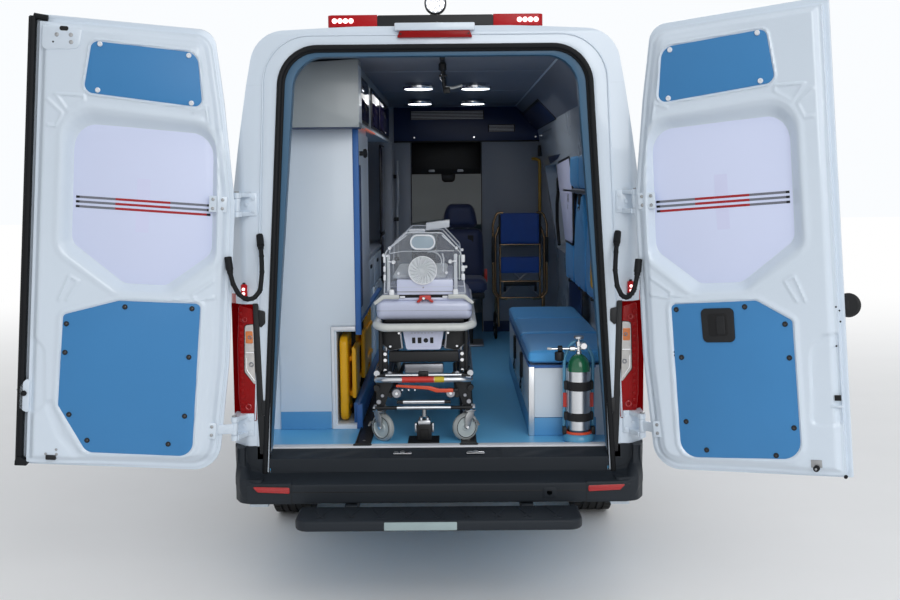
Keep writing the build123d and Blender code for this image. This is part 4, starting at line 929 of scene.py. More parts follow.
# the sill cover is pressed: long dents, two recesses for the door strikers and a bowed lower edge
deselect()
bpy.ops.mesh.primitive_grid_add(x_subdivisions=180, y_subdivisions=34, size=2)
sillCover = bpy.context.object
sillCover.name = "sillCover"
spots = getPoints(sillCover)
across, along = spots[:, 0] * 0.781, (spots[:, 1] + 1) / 2
slope = np.clip(along / 0.62, 0, 1)
lift = 0.676 + (0.7035 - 0.676) * (1 - slope)
depth = plane - 0.0052 + 0.093 * (1 - slope)
fall = np.clip((along - 0.62) / 0.38, 0, 1)
lift = lift - fall * (0.676 - 0.6125) * (1 - 0.35 * (np.abs(across) / 0.781) ** 6)
for middle, reach in ((-0.17, 0.13), (0.17, 0.13)):
    dent = ease(np.abs(across - middle) * -1, -reach, -reach + 0.05) * ease(slope * (1 - fall), 0.1, 0.35)
    dent *= 1 - ease(slope + fall, 0.85, 1.05)
    lift = lift - 0.007 * dent
for start, end in ((-0.72, -0.34), (0.34, 0.72)):
    inside = ease(across, start, start + 0.04) * (1 - ease(across, end - 0.04, end))
    wave = np.sin((across - start) * 34 + slope * 5)
    lift = lift + 0.0016 * inside * wave * ease(slope, 0.15, 0.4) * (1 - ease(slope, 0.8, 0.95))
setPoints(sillCover, np.column_stack([across, depth, lift]))
useModifier(sillCover, "SOLIDIFY", thickness=0.003, offset=0)
coat(outward(sillCover), "bumperPlastic")
parts = [sillCover]
for x in (-0.17, 0.17):
    rows = [(x - 0.05, plane + 0.026, 0.006), (x + 0.05, plane + 0.026, 0.006), (x + 0.036, plane + 0.046, 0.004),
            (x - 0.036, plane + 0.046, 0.004)]
    striker = [plate("striker", rows, "XY", 0.68, 0.6865, "chrome", 0.0025),
               disc("strikerBolt", "Z", (x, plane + 0.036, 0.685), 0.012, 0.006, "zinc", 0.002, 20)]
    for part in striker:
        parts.append(placed(part, Matrix.Translation((0, plane, 0.675)) @ Matrix.Rotation(math.radians(14), 4, "X")
                            @ Matrix.Translation((0, -plane, -0.675))))
settle(joined("sillCover", *parts), "van")

# centre of the bumper, and a corner moulding on each side that flows up to the lamps
parts = [plate("bumperFace", [(plane - 0.002, 0.4945, 0), (plane - 0.1195, 0.4945, 0.012), (plane - 0.1212, 0.54, 0.3),
                              (plane - 0.1205, 0.5845, 0.01), (plane - 0.1, 0.589, 0.01), (plane - 0.002, 0.6125, 0)],
               "YZ", -bumper["seam"], bumper["seam"], "bumperPlastic", 0.0, 6)]
parts.append(bar("faceLine", (-0.664, 0.664), (plane - 0.1222, plane - 0.118), (0.5475, 0.5525), "blackPlastic", 0.0015))
tool = disc("towHole", "Y", (0.5, -3.3, 0.54), 0.013, 0.2, "shadowBlack", steps=32)
parts[0] = cut(parts[0], tool)
hole = disc("towHole", "Y", (0.5, -3.3, 0.54), 0.013, 0.2, "shadowBlack", steps=32)
towPlate = plate("towPlate", box4(0.47, 0.53, 0.516, 0.566, 0.012),
                 "XZ", plane - 0.1235, plane - 0.119, "bumperPlastic", 0.002)
parts.append(cut(towPlate, hole))
low = [(0.668, -0.1205), (0.85, -0.119), (0.905, -0.095), (0.936, -0.03), (0.95, 0.08), (0.975, 0.33)]
high = [(0.8, -0.0058), (0.87, -0.0058), (0.896, -0.01), (0.922, -0.045), (0.945, 0.04), (0.975, 0.33)]
shares = np.linspace(0, 1, 6)
for side, name in ((-1, "Left"), (1, "Right")):
    deselect()
    bpy.ops.mesh.primitive_grid_add(x_subdivisions=54, y_subdivisions=34, size=2)
    corner = bpy.context.object
    spots = getPoints(corner)
    run, rise = (spots[:, 0] + 1) / 2, (spots[:, 1] + 1) / 2
    lowX, lowY = (np.interp(run, shares, [row[part] for row in low]) for part in (0, 1))
    highX, highY = (np.interp(run, shares, [row[part] for row in high]) for part in (0, 1))
    front = 1 - ease(rise, 0.42, 0.86)
    climb = np.clip((rise - 0.4) / 0.6, 0, 1)
    outer = ease(run, 0.1, 0.42)
    top = bumper["back"] + (bumper["cornerTop"] - bumper["back"]) * outer
    height = np.where(rise < 0.4, 0.4955 + 0.09 * rise / 0.4, 0.5855 + (top - 0.5855) * climb)
    highX = np.where(run < 0.2, lowX + (highX - lowX) * outer, highX)
    tuck = 0.085 * (1 - np.sqrt(np.clip(1 - (np.clip(0.575 - height, 0, 0.08) / 0.081) ** 2, 0, 1)))
    spotX = highX + (lowX - highX) * front - tuck * ease(run, 0.25, 0.6)
    spotY = highY + (lowY - highY) * front + 0.006 * np.exp(-rise * 12)
    setPoints(corner, np.column_stack([side * spotX, plane + spotY, height]))
    useModifier(corner, "SOLIDIFY", thickness=0.003, offset=0)
    parts.append(coat(outward(corner), "bumperPlastic"))
    rows = [(0.676, 0.545, 0.006), (0.82, 0.552, 0.006), (0.846, 0.578, 0.004), (0.676, 0.573, 0.006)]
    parts += [
        plate("reflectorBed", onSide(side, grown(rows, 0.003)), "XZ", plane - 0.1228, plane - 0.117,
            "blackPlastic", 0.001),
        plate("reflector", onSide(side, rows), "XZ", plane - 0.124, plane - 0.117, "reflectorRed", 0.0015),
        bar("cornerSeam", (side * 0.6665, side * 0.6695), (plane - 0.1213, plane - 0.01), (0.497, 0.588),
            "shadowBlack", 0.0005)]
settle(joined("bumperTrim", *parts), "van")

step = {"low": 0.4375, "high": 0.4885, "front": -3.4765, "half": 0.628}
parts = [plate("stepBoard", [(-step["half"], -3.2445, 0.012), (step["half"], -3.2445, 0.012),
                             (step["half"], step["front"], 0.06), (-step["half"], step["front"], 0.06)],
               "XY", step["low"], step["high"] - 0.003, "bumperPlastic", 0.012, 8, 4)]
for index in range(9):
    x = -0.52 + 0.13 * index
    rows = [(x - 0.045, -3.27, 0.006), (x - 0.03, -3.27, 0.006), (x + 0.02, -3.43, 0.006), (x + 0.005, -3.43, 0.006)]
    parts.append(plate("grip", rows, "XY", step["high"] - 0.005, step["high"] + 0.0005, "bumperPlastic", 0.001, 4, 1))
    rows = [(-p, q, r) for p, q, r in rows]
    parts.append(plate("grip", rows, "XY", step["high"] - 0.005, step["high"] + 0.0001, "bumperPlastic", 0.001, 4, 1))
parts.append(plate("plateHolder", box4(-0.236, 0.08, 0.4435, 0.479, 0.003), "XZ", -3.479, -3.47, "plateGrey", 0.001))
for x in (-0.222, 0.066):
    parts.append(screwAt(x, -3.4783, 0.474, 0.004, "zinc", 0.0012))
for side in (-1, 1):
    parts.append(bar("stepArm", (side * 0.372, side * 0.428), (-3.25, -2.862), (0.4385, 0.4895), "bumperPlastic", 0.004))
settle(joined("stepBoard", *parts), "van", "rear_step")
print("rear built")

# Roof: light bars, work lamp
lightBar = {"low": 2.6605, "high": 2.7145, "lamp": 2.78, "rear": -2.768, "front": 0.829}
parts = []
for y in (lightBar["rear"], lightBar["front"]):
    low, high = lightBar["low"], lightBar["high"]
    parts.append(plate("barBody", [(-0.27, low + 0.001, 0.004), (0.27, low + 0.001, 0.004), (0.27, high - 0.002, 0.01),
                                   (-0.27, high - 0.002, 0.01)], "XZ", y - 0.1285, y + 0.1285, "blackPlastic", 0.008, 5,
                                   3))
    for side in (-1, 1):
        ends = [(0.268, y - 0.1275, 0.003), (0.4985, y - 0.1275, 0.025), (0.4985, y + 0.1275, 0.025),
                (0.268, y + 0.1275, 0.003)]
        parts.append(plate("barEnd", onSide(side, ends), "XY", low, high, "barRed", 0.007, 6, 3))
        for index in range(4):
            for face in (-1, 1):
                parts.append(disc("led", "Y", (side * (0.39 + 0.0255 * index), y + face * 0.127, low + 0.027), 0.0118,
                                  face * 0.003,
                                  "ledGlow", 0.002, 20))
        parts.append(bar("foot", (side * 0.395, side * 0.445), (y - 0.065, y + 0.065), (2.605, low + 0.004),
                         "blackPlastic", 0.008))
workLamp = turned("workLamp", [(0, 0.038), (0.03, 0.036), (0.047, 0.02), (0.052, 0.004), (0.052, -0.03), (0.049, -0.036),
                               (0.046, -0.034), (0, -0.034)], "Y", (0, -2.76, lightBar["lamp"]), "blackPlastic", 40)
parts += [
    workLamp,
    disc("workGlass", "Y", (0, -2.7935, lightBar["lamp"]), 0.0455, -0.0025, "lampDim", 0.001, 40)]
for ring, count in ((0.0, 1), (0.019, 6), (0.035, 12)):
    for index in range(count):
        turn = 2 * math.pi * index / count
        parts.append(disc("workLed", "Y", (ring * math.cos(turn), -2.7955, lightBar["lamp"] + ring * math.sin(turn)),
                          0.0068, -0.0025,
                          "whiteGlow", 0.001, 12))
parts += [
    tube("workBracket", [(-0.018, -2.755, 2.714), (-0.018, -2.755, 2.731), (0.018, -2.755, 2.731),
        (0.018, -2.755, 2.714)], 0.005, "blackPlastic", 0.004),
    tube("workWire", [(-0.006, -2.742, 2.732), (-0.022, -2.73, 2.738), (-0.036, -2.742, 2.716)], 0.003,
        "blackRubber", 0.02)]
settle(joined("roofLamps", *parts), "van", "light_bars")
print("roof lamps built")

# Patient room
room = {
    "partition": 1.064, "closetRear": -2.608, "closetFace": -0.416, "lockerLow": 2.207,
}
for name in ("side_wall_left", "side_wall_right", "roof_panel", "cab_shell", "sliding_door"):
    coat(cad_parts[name], "bodyWhite")
coat(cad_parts["floor_pan"], "vinylFloor")
coat(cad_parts["partition_wall"], "partitionGrey")
coat(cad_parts["cabinets"], "wallGrey")
coat(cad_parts["bench"], "wallGrey")


def cushion(name, x, y, z, paintName, crown=0.008, edge=0.018, cuts=22, seams=True):
    # a foam pad: a box divided, its edges rounded, its wide faces crowned, and piping round it
    low, high = Vector((min(x), min(y), min(z))), Vector((max(x), max(y), max(z)))
    middle, half = (low + high) / 2, (high - low) / 2
    deselect()
    bpy.ops.mesh.primitive_cube_add(size=2)
    pad = bpy.context.object
    pad.name = name
    editing(pad)
    bpy.ops.mesh.select_all(action="SELECT")
    bpy.ops.mesh.subdivide(number_cuts=cuts)
    bpy.ops.object.mode_set(mode="OBJECT")
    spots = getPoints(pad)
    share = np.sign(spots) * np.abs(spots) ** 0.75
    size = np.array(half)
    edge = min(edge, min(half) * 0.98)
    core = np.clip(share * size, -(size - edge), size - edge)
    out = share * size - core
    length = np.linalg.norm(out, axis=1)
    solid = core + out / np.maximum(length, 1e-9)[:, None] * edge
    thin = int(np.argmin(size))
    wide = [axis for axis in range(3) if axis != thin]
    swell = (1 - share[:, wide[0]] ** 4) * (1 - share[:, wide[1]] ** 4)
    solid[:, thin] -= crown * np.sign(solid[:, thin]) * (1 - swell) * (np.abs(solid[:, thin]) > size[thin] * 0.5)
    setPoints(pad, solid + np.array(middle))
    coat(pad, paintName)
    parts = [pad]
    if seams:
        for face in (-1, 1):
            level = face * (size[thin] - crown * 1.0 - edge * 0.35)
            a, b = size[wide[0]] - edge * 0.25, size[wide[1]] - edge * 0.25
            line = []
            for p, q in ((-a, -b), (a, -b), (a, b), (-a, b)):
                spot = [0.0, 0.0, 0.0]
                spot[wide[0]], spot[wide[1]], spot[thin] = p, q, level
                line.append(Vector(spot) + middle)
            line = [line[0].lerp(line[1], 0.5), line[1], line[2], line[3], line[0], line[0].lerp(line[1], 0.498)]
            parts.append(tube("piping", line, 0.0022, paintName, edge * 1.2, resolution=2))
    piece = joined(name, *parts)
    return piece


# floor: vinyl, two stretcher rails, strips and screws
parts = [plate("vinyl", [(-0.775, -3.018, 0.01), (0.775, -3.018, 0.01), (0.8, -2.55, 0.02), (0.845, -2.0, 0.02),
                         (0.845, 1.06, 0.01), (-0.845, 1.06, 0.01), (-0.845, -2.0, 0.02), (-0.8, -2.55, 0.02)],
               "XY", 0.7045, 0.7065, "vinylFloor", 0.0006, 4, 1)]
for x in (-0.362, 0.14):
    parts.append(bar("railBase", (x - 0.036, x + 0.036), (-3.014, -0.95), (0.7055, 0.7095), "blackPlastic", 0.001, 1))
    for side in (-1, 1):
        parts.append(bar("railLip", (x + side * 0.03, x + side * 0.037), (-3.014, -0.95), (0.7055, 0.717), "blackPlastic",
                         0.002, 2))
    parts.append(plate("railStop", [(x - 0.05, -3.02, 0.012), (x + 0.05, -3.02, 0.012), (x + 0.036, -2.985, 0.006),
                                    (x - 0.036, -2.985, 0.006)], "XY", 0.706, 0.718, "blackPlastic", 0.003))
    for y in (-2.9, -2.5, -2.1, -1.7, -1.3):
        parts.append(disc("railBolt", "Z", (x, y, 0.7093), 0.007, 0.0022, "zinc", 0.0008, 12))
parts.append(bar("lockPlate", (-0.15, 0.0), (-2.965, -2.8), (0.7062, 0.7095), "blackPlastic", 0.002, 1))
settle(joined("roomFloor", *parts), "van")

# closet at the rear left: wall with skirting, a niche with an open white frame, blue edge strips
parts = []
face = room["closetRear"]
outer = [(-0.8, 0.7075, 0.0), (-0.5425, 0.7075, 0), (-0.5425, 1.232, 0), (-0.4175, 1.232, 0), (-0.4175, 2.206, 0.0),
         (-0.792, 2.206, 0.0)]
parts += [
    plate("closetWall", outer, "XZ", face - 0.012, face + 0.004, "wallGrey", 0.0015),
    plate("closetSkirt", [(-0.8, 0.7075, 0), (-0.545, 0.7075, 0), (-0.545, 0.797, 0.002), (-0.8, 0.797, 0.002)],
        "XZ", face - 0.0145, face - 0.01, "skirtingBlue", 0.001)]
niche = box4(-0.5405, -0.4185, 0.7075, 1.226)
hole = box4(-0.5255, -0.4, 0.727, 1.208)
ringPlate = plate("nicheFrame", niche, "XZ", face - 0.0155, face + 0.004, "studWhite", 0.001)
tool = plate("nicheHole", hole, "XZ", face - 0.05, face + 0.05, "studWhite")
parts.append(cut(ringPlate, tool))
for low, high in ((0.7075, 0.832), (1.185, 2.203)):
    parts.append(plate("edgeStrip", [(-0.4175, face - 0.016, 0.005), (-0.388, face - 0.016, 0.006),
                                     (-0.388, face + 0.015, 0.006),
                                     (-0.4175, face + 0.015, 0.002)], "XY", low, high, "edgeViolet", 0.002, 4, 2))
settle(joined("closetWall", *parts), "van")
parts = []
x = room["closetFace"]
for rows, shade in ((box4(-2.575, -1.735, 0.7075, 0.797), "skirtingBlue"),
                    (box4(-2.56, -1.75, 1.245, 2.195, 0.006), "wallGrey")):
    parts.append(plate("closetDoor", rows, "YZ", x - 0.004, x + 0.012, shade, 0.002))
parts += [
    plate("closetInset", box4(-2.41, -2.31, 1.3, 2.03, 0.01), "YZ",
        x + 0.01, x + 0.0145, "navyPanel", 0.001),
    bar("closetSeam", (x, x + 0.0125), (-2.53, -2.524), (1.245, 2.195), "edgeViolet", 0.0005, 1),
    turned("closetKnob", [(0, 0.0), (0.012, 0.0), (0.012, 0.018), (0.022, 0.022), (0.024, 0.032), (0.018, 0.04),
                          (0, 0.042)],
        "X", (x + 0.012, -2.36, 2.09), "blackPlastic", 20),
    bar("nicheRail", (x - 0.012, x + 0.014), (-2.575, -0.72), (1.228, 1.243), "edgeViolet", 0.003),
    bar("nicheKerb", (x - 0.02, x + 0.014), (-2.575, -0.72), (0.7075, 0.832), "edgeViolet", 0.006)]
settle(joined("closetSide", *parts), "van")

# upper locker whose rear panel follows the opening, and the overhead lockers behind it
low = room["lockerLow"]
topLine = [(a, b) for a, b in apertureLine(0.045, 1.0) if b > low and a < -0.372]
top = 2.528
rows = [(-0.3705, low, 0.03), (-0.3705, top, 0.0)]
rows += [(a, b, 0) for a, b in sorted(topLine, key=lambda spot: -spot[1]) if b < top - 0.002]
rows += [(-0.765, low, 0.0)]
parts = [plate("lockerRear", rows, "XZ", -2.772, -2.758, "lockerGrey", 0.003, 6)]
parts += [
    plate("lockerEdge", [(-0.3705, -2.762, 0.004), (-0.3705, -2.596, 0.0), (-0.4, -2.596, 0), (-0.4, -2.762, 0)], "XY",
        low, top, "lockerGrey", 0.001),
    bar("lockerShade", (-0.735, -0.374), (-2.756, -2.6), (low - 0.004, low + 0.002), "navyPanel", 0.001, 1)]
settle(joined("upperLocker", *parts), "van")
parts = []
x = -0.4
parts += [
    plate("overhead", box4(-1.72, 0.276, 2.232, 2.527, 0.004), "YZ",
        x - 0.002, x + 0.006, "lockerGrey", 0.001),
    plate("overheadRear", box4(-2.59, -1.724, 2.232, 2.527, 0.004),
        "YZ", -0.416, x + 0.006, "lockerGrey", 0.001)]
for start, end in ((-2.53, -1.86), (-1.6, -0.92), (-0.86, 0.2)):
    pane = box4(start, end, 2.262, 2.47, 0.03)
    parts += [
        plate("paneFrame", grown(pane, 0.012), "YZ", x + 0.004, x + 0.011, "blackPlastic", 0.002),
        plate("pane", pane, "YZ", x + 0.009, x + 0.0135, "paneDark", 0.001)]
parts += [
    bar("ledStrip", (x - 0.004, x + 0.0135), (-2.15, -1.36), (2.2225, 2.23), "ledOrange", 0.001, 1),
    bar("lockerLip", (x + 0.002, x + 0.012), (-2.58, 0.26), (2.222, 2.238), "wallGrey", 0.002, 1)]
settle(joined("overheadLockers", *parts), "van")

# lower cabinets of the left wall with drawers and a worktop
parts = [bar("worktop", (-0.905, -0.462), (-1.722, 0.78), (1.449, 1.474), "partitionGrey", 0.006)]
for start in (-1.7, -1.07, -0.44, 0.19):
    for base, height in ((1.235, 0.195), (0.995, 0.225), (0.74, 0.24)):
        if base < 1.2 and start < -0.75:
            continue
        rows = box4(start, start + 0.6, base, base + height, 0.012)
        parts.append(plate("drawer", rows, "YZ", -0.4805, -0.466, "wallGrey", 0.004))
        rows = box4(start + 0.24, start + 0.36, base + height - 0.055, base + height - 0.03, 0.012)
        parts.append(plate("drawerPull", rows, "YZ", -0.4665, -0.46, "blackPlastic", 0.003))
settle(joined("lowerCabinets", *parts), "van")

# spine board standing in the niche, with hand holes and straps
board = [(-2.583, 0.738, 0.05), (-0.9, 0.738, 0.08), (-0.86, 0.95, 0.1), (-0.9, 1.17, 0.08), (-2.583, 1.17, 0.05)]
slab = plate("spineBoard", board, "YZ", -0.504, -0.462, "boardYellow", 0.012, 6, 4)
tools = []
for start in (-2.5, -2.28, -2.06, -1.84, -1.62, -1.4, -1.18):
    for base in (0.775, 1.105):
        rows = box4(start, start + 0.12, base, base + 0.03, 0.014)
        tools.append(plate("handHole", rows, "YZ", -0.52, -0.44, "boardYellow", 0.0, 5))
slab = cut(slab, joined("handHoles", *tools))
parts = [bevelled(slab, 0.0015, 1, 50)]
parts += [
    bar("boardRib", (-0.462, -0.446), (-2.5, -1.0), (0.85, 0.88), "boardYellow", 0.008),
    bar("boardRib", (-0.462, -0.446), (-2.5, -1.0), (1.03, 1.06), "boardYellow", 0.008)]
for y in (-2.36, -1.8):
    parts.append(bar("boardStrap", (-0.5048, -0.444), (y, y + 0.05), (0.742, 1.168), "strapBlack", 0.004))
settle(joined("spineBoard", *parts), "van", "spine_board")
for y in (-2.545, -1.95):
    block = plate("headBlock", [(-0.445, 0.85, 0.03), (-0.425, 0.85, 0.01), (-0.425, 1.1, 0.03), (-0.445, 1.12, 0.02)],
                  "XZ",
                  y, y + 0.22, "boardYellow", 0.006)
    settle(block, "van")

# bench: white box with an aluminium corner, skirting, a latch, and three stepped cushions
parts = []
x = 0.45
parts += [
    plate("benchSide", box4(-2.796, -0.85, 0.797, 1.048), "YZ",
        x - 0.012, x + 0.003, "wallGrey", 0.002),
    plate("benchSideSkirt", box4(-2.797, -0.85, 0.7075, 0.795), "YZ",
        x - 0.014, x + 0.003, "skirtingBlue", 0.001),
    plate("benchEnd", [(0.452, 0.797, 0), (0.762, 0.797, 0), (0.758, 1.048, 0), (0.452, 1.048, 0)], "XZ",
        -2.808, -2.795, "wallGrey", 0.002),
    plate("benchEndSkirt", [(0.452, 0.7075, 0), (0.763, 0.7075, 0), (0.762, 0.795, 0), (0.452, 0.795, 0)], "XZ",
        -2.81, -2.795, "skirtingBlue", 0.001),
    plate("benchCorner", [(0.434, -2.814, 0.003), (0.462, -2.814, 0.003), (0.462, -2.81, 0), (0.438, -2.81, 0),
        (0.438, -2.78, 0), (0.434, -2.78, 0.001)], "XY", 0.7075, 1.046, "aluminium", 0.001),
    bar("benchEdge", (0.434, 0.76), (-2.812, -2.8), (1.04, 1.0535), "edgeViolet", 0.003),
    bar("benchEdge", (0.434, 0.446), (-2.8, -0.85), (1.04, 1.0535), "edgeViolet", 0.003)]
for y in (-2.15, -1.496):
    parts.append(bar("benchGap", (0.4365, 0.44), (y - 0.002, y + 0.002), (0.8, 1.04), "shadowBlack", 0.0005, 1))
for y in (-2.28, -1.63):
    parts += [
        plate("benchLatch", [(y, 0.9, 0.012), (y + 0.05, 0.9, 0.012), (y + 0.06, 1.035, 0.012), (y - 0.01, 1.035, 0.012)],
            "YZ", 0.424, 0.439, "blackPlastic", 0.004),
        tube("benchStrap", [(0.43, y + 0.02, 0.905), (0.426, y + 0.05, 0.86), (0.43, y + 0.09, 0.83)], 0.004,
             "strapBlack", 0.02)]
settle(joined("benchBox", *parts), "van")
for index in range(3):
    start = -2.812 + 0.654 * index
    top = 1.132 + 0.004 * (index % 2)
    pad = cushion("benchCushion" + str(index), (0.432, 0.858), (start, start + 0.646), (1.0535, top), "seatVinyl", 0.01,
                  0.024, 26)
    settle(pad, "van", *(("bench_cushions",) if index == 0 else ()), smooth=60)
print("left and right of the room built")

# Ceiling: lining with a folded right edge, four ring lamps, two fixings, an infusion hook
ceiling = {"low": 2.53, "lampRadius": 0.095, "lamps": ((-0.126, -1.275), (0.218, -1.243), (-0.158, 0.155),
                                                       (0.226, 0.197))}
low = ceiling["low"]
fold = [(-0.62, low, 0), (0.585, low, 0.02), (0.765, low - 0.19, 0), (0.772, low - 0.183, 0), (0.59, low + 0.01, 0.02),
        (-0.62, low + 0.01, 0)]
parts = [plate("ceilingLining", fold, "XZ", -3.0, 1.06, "ceilingGrey", 0.001)]
for y in (-2.05, -0.62, 0.62):
    parts.append(bar("liningJoint", (-0.4, 0.58), (y - 0.008, y + 0.008), (low - 0.002, low + 0.001), "partitionGrey",
                     0.001, 1))
parts.append(bar("liningEdge", (0.578, 0.592), (-2.995, 1.055), (low - 0.004, low + 0.002), "wallGrey", 0.002))
for x, y in ceiling["lamps"]:
    radius = ceiling["lampRadius"]
    rows = [(radius * 0.8, 0.0), (radius * 0.86, 0.0), (radius * 0.89, -0.012), (radius, -0.017), (radius, -0.028),
            (radius * 0.95, -0.036), (radius * 0.88, -0.036), (radius * 0.8, -0.026)]
    parts.append(turned("lampBezel", rows, "Z", (x, y, low), "chrome", 40, ring=True))
    rows = [(0, -0.004), (radius * 0.83, -0.004), (radius * 0.83, -0.027), (radius * 0.62, -0.032), (0, -0.03)]
    parts.append(turned("lampLens", rows, "Z", (x, y, low), "lampDim", 32))
    for count, reach, fall, tall in ((24, 0.8, -0.028, -0.01), (14, 0.5, -0.03, -0.006)):
        for index in range(count):
            turn = 2 * math.pi * (index + 0.5) / count
            place = (x + radius * reach * math.cos(turn), y + radius * reach * math.sin(turn), low + fall)
            parts.append(disc("lampSpot", "Z", place, 0.0085, tall, "lampGlow", 0.001, 8))
for x in (-0.094, 0.12):
    parts += [
        disc("fixing", "Z", (x, -2.93, low), 0.02, -0.006, "chrome", 0.002, 20),
        disc("fixingEye", "Z", (x, -2.93, low - 0.006), 0.008, -0.006, "greySteel", 0.002, 14)]
x, y = 0.03, -2.618
parts += [
    bar("hookRail", (x - 0.012, x + 0.012), (-2.8, -0.9), (low - 0.012, low + 0.001), "blackPlastic", 0.003),
    disc("hookHub", "Z", (x, y, low - 0.01), 0.02, -0.04, "blackPlastic", 0.006, 20),
    tube("hookShaft", [(x, y, low - 0.04), (x + 0.006, y, low - 0.12), (x + 0.016, y, low - 0.15)], 0.008, "blackPlastic",
         0.02),
    bar("hookGrip", (x - 0.018, x + 0.022), (y - 0.014, y + 0.014), (low - 0.078, low - 0.068), "blackPlastic", 0.004),
    bar("hookEnd", (x + 0.002, x + 0.036), (y - 0.012, y + 0.012), (low - 0.158, low - 0.128), "blackPlastic", 0.006),
    tube("hookArm", [(x + 0.01, y, low - 0.128), (x + 0.05, y, low - 0.132), (x + 0.095, y, low - 0.12)], 0.006,
         "creamTube", 0.02),
    tube("hookWire", [(x - 0.002, y, low - 0.1), (x - 0.014, y, low - 0.085), (x - 0.004, y, low - 0.06)], 0.0022,
         "chrome", 0.01)]
settle(joined("ceilingPanel", *parts), "van", "ceiling_panel", smooth=40)

# Partition: navy header with two vents, black trim round the doorway, grey panels with navy skirting and a speaker
partition = room["partition"]
header = [(-0.395, 2.256, 0), (0.775, 2.256, 0), (0.76, 2.36, 0), (0.6, 2.528, 0), (-0.395, 2.528, 0)]
parts = [plate("header", header, "XZ", partition - 0.012, partition + 0.001, "navyPanel", 0.002)]
for left, right, base, top, count in ((-0.262, 0.332, 2.425, 2.5, 6), (0.363, 0.58, 2.325, 2.385, 5)):
    parts.append(bar("ventTray", (left, right), (partition - 0.0145, partition - 0.008), (base, top), "blackPlastic",
                     0.003))
    for index in range(count):
        z = base + (top - base) * (index + 0.75) / (count + 0.5)
        parts.append(bar("ventSlat", (left + 0.008, right - 0.008), (partition - 0.0175, partition - 0.01),
                         (z - 0.003, z + 0.002),
                         "greySteel", 0.001, 1))
for x, z in ((-0.23, 2.285), (0.745, 2.285), (0.7, 2.4), (0.25, 2.285)):
    parts.append(disc("headerScrew", "Y", (x, partition - 0.012, z), 0.007, -0.003, "chrome", 0.001, 14))
for x0, x1 in ((-0.262, -0.2565), (0.3055, 0.311)):
    parts.append(bar("doorTrim", (x0, x1), (partition - 0.004, partition + 0.042), (0.7075, 2.256), "blackPlastic",
                     0.002))
parts.append(bar("headerEdge", (-0.395, 0.775), (partition - 0.014, partition + 0.001), (2.246, 2.258), "blackPlastic",
                 0.002))
for x0, x1 in ((-0.392, -0.268), (0.318, 0.77)):
    rows = box4(x0, x1, 0.8, 2.235, 0.004)
    parts.append(plate("partitionPanel", rows, "XZ", partition - 0.005, partition + 0.001, "partitionGrey", 0.002))
    rows = [(x0, 0.7075, 0), (x1, 0.7075, 0), (x1, 0.795, 0.002), (x0, 0.795, 0.002)]
    parts.append(plate("partitionSkirt", rows, "XZ", partition - 0.008, partition + 0.001, "navyPanel", 0.001))
parts += [
    bar("speaker", (0.762, 0.832), (partition - 0.052, partition - 0.006), (2.128, 2.214), "blackPlastic", 0.006),
    bar("speakerFace", (0.776, 0.826), (partition - 0.0545, partition - 0.05), (2.136, 2.206), "shadowBlack", 0.002)]
settle(joined("partitionTrim", *parts), "van")

# Cab seen through the doorway: sun visors, black fringe and the mirror housing
parts = []
y = 1.45
visor = [(-0.42, 2.33, 0), (-0.42, 2.03, 0.02), (-0.262, 1.992, 0.05), (0.322, 1.992, 0.05), (0.48, 2.03, 0.02),
         (0.48, 2.33, 0)]
parts.append(plate("visor", visor, "XZ", y - 0.01, y + 0.01, "blackPlastic", 0.004))
mirrorBlock = [(-0.022, 1.995, 0), (-0.016, 1.94, 0.02), (0.004, 1.925, 0.01), (0.074, 1.925, 0.01), (0.094, 1.94, 0.02),
               (0.1, 1.995, 0)]
parts.append(plate("mirrorBlock", mirrorBlock, "XZ", y - 0.022, y + 0.02, "blackPlastic", 0.006))
for x in (-0.1, 0.14):
    parts.append(plate("readingLamp", [(x - 0.03, 2.01, 0.008), (x + 0.03, 2.01, 0.008), (x + 0.022, 2.032, 0.008),
                                       (x - 0.022, 2.032, 0.008)],
                       "XZ", y - 0.0135, y - 0.009, "greySteel", 0.002))
settle(joined("cabVisors", *parts), "van")


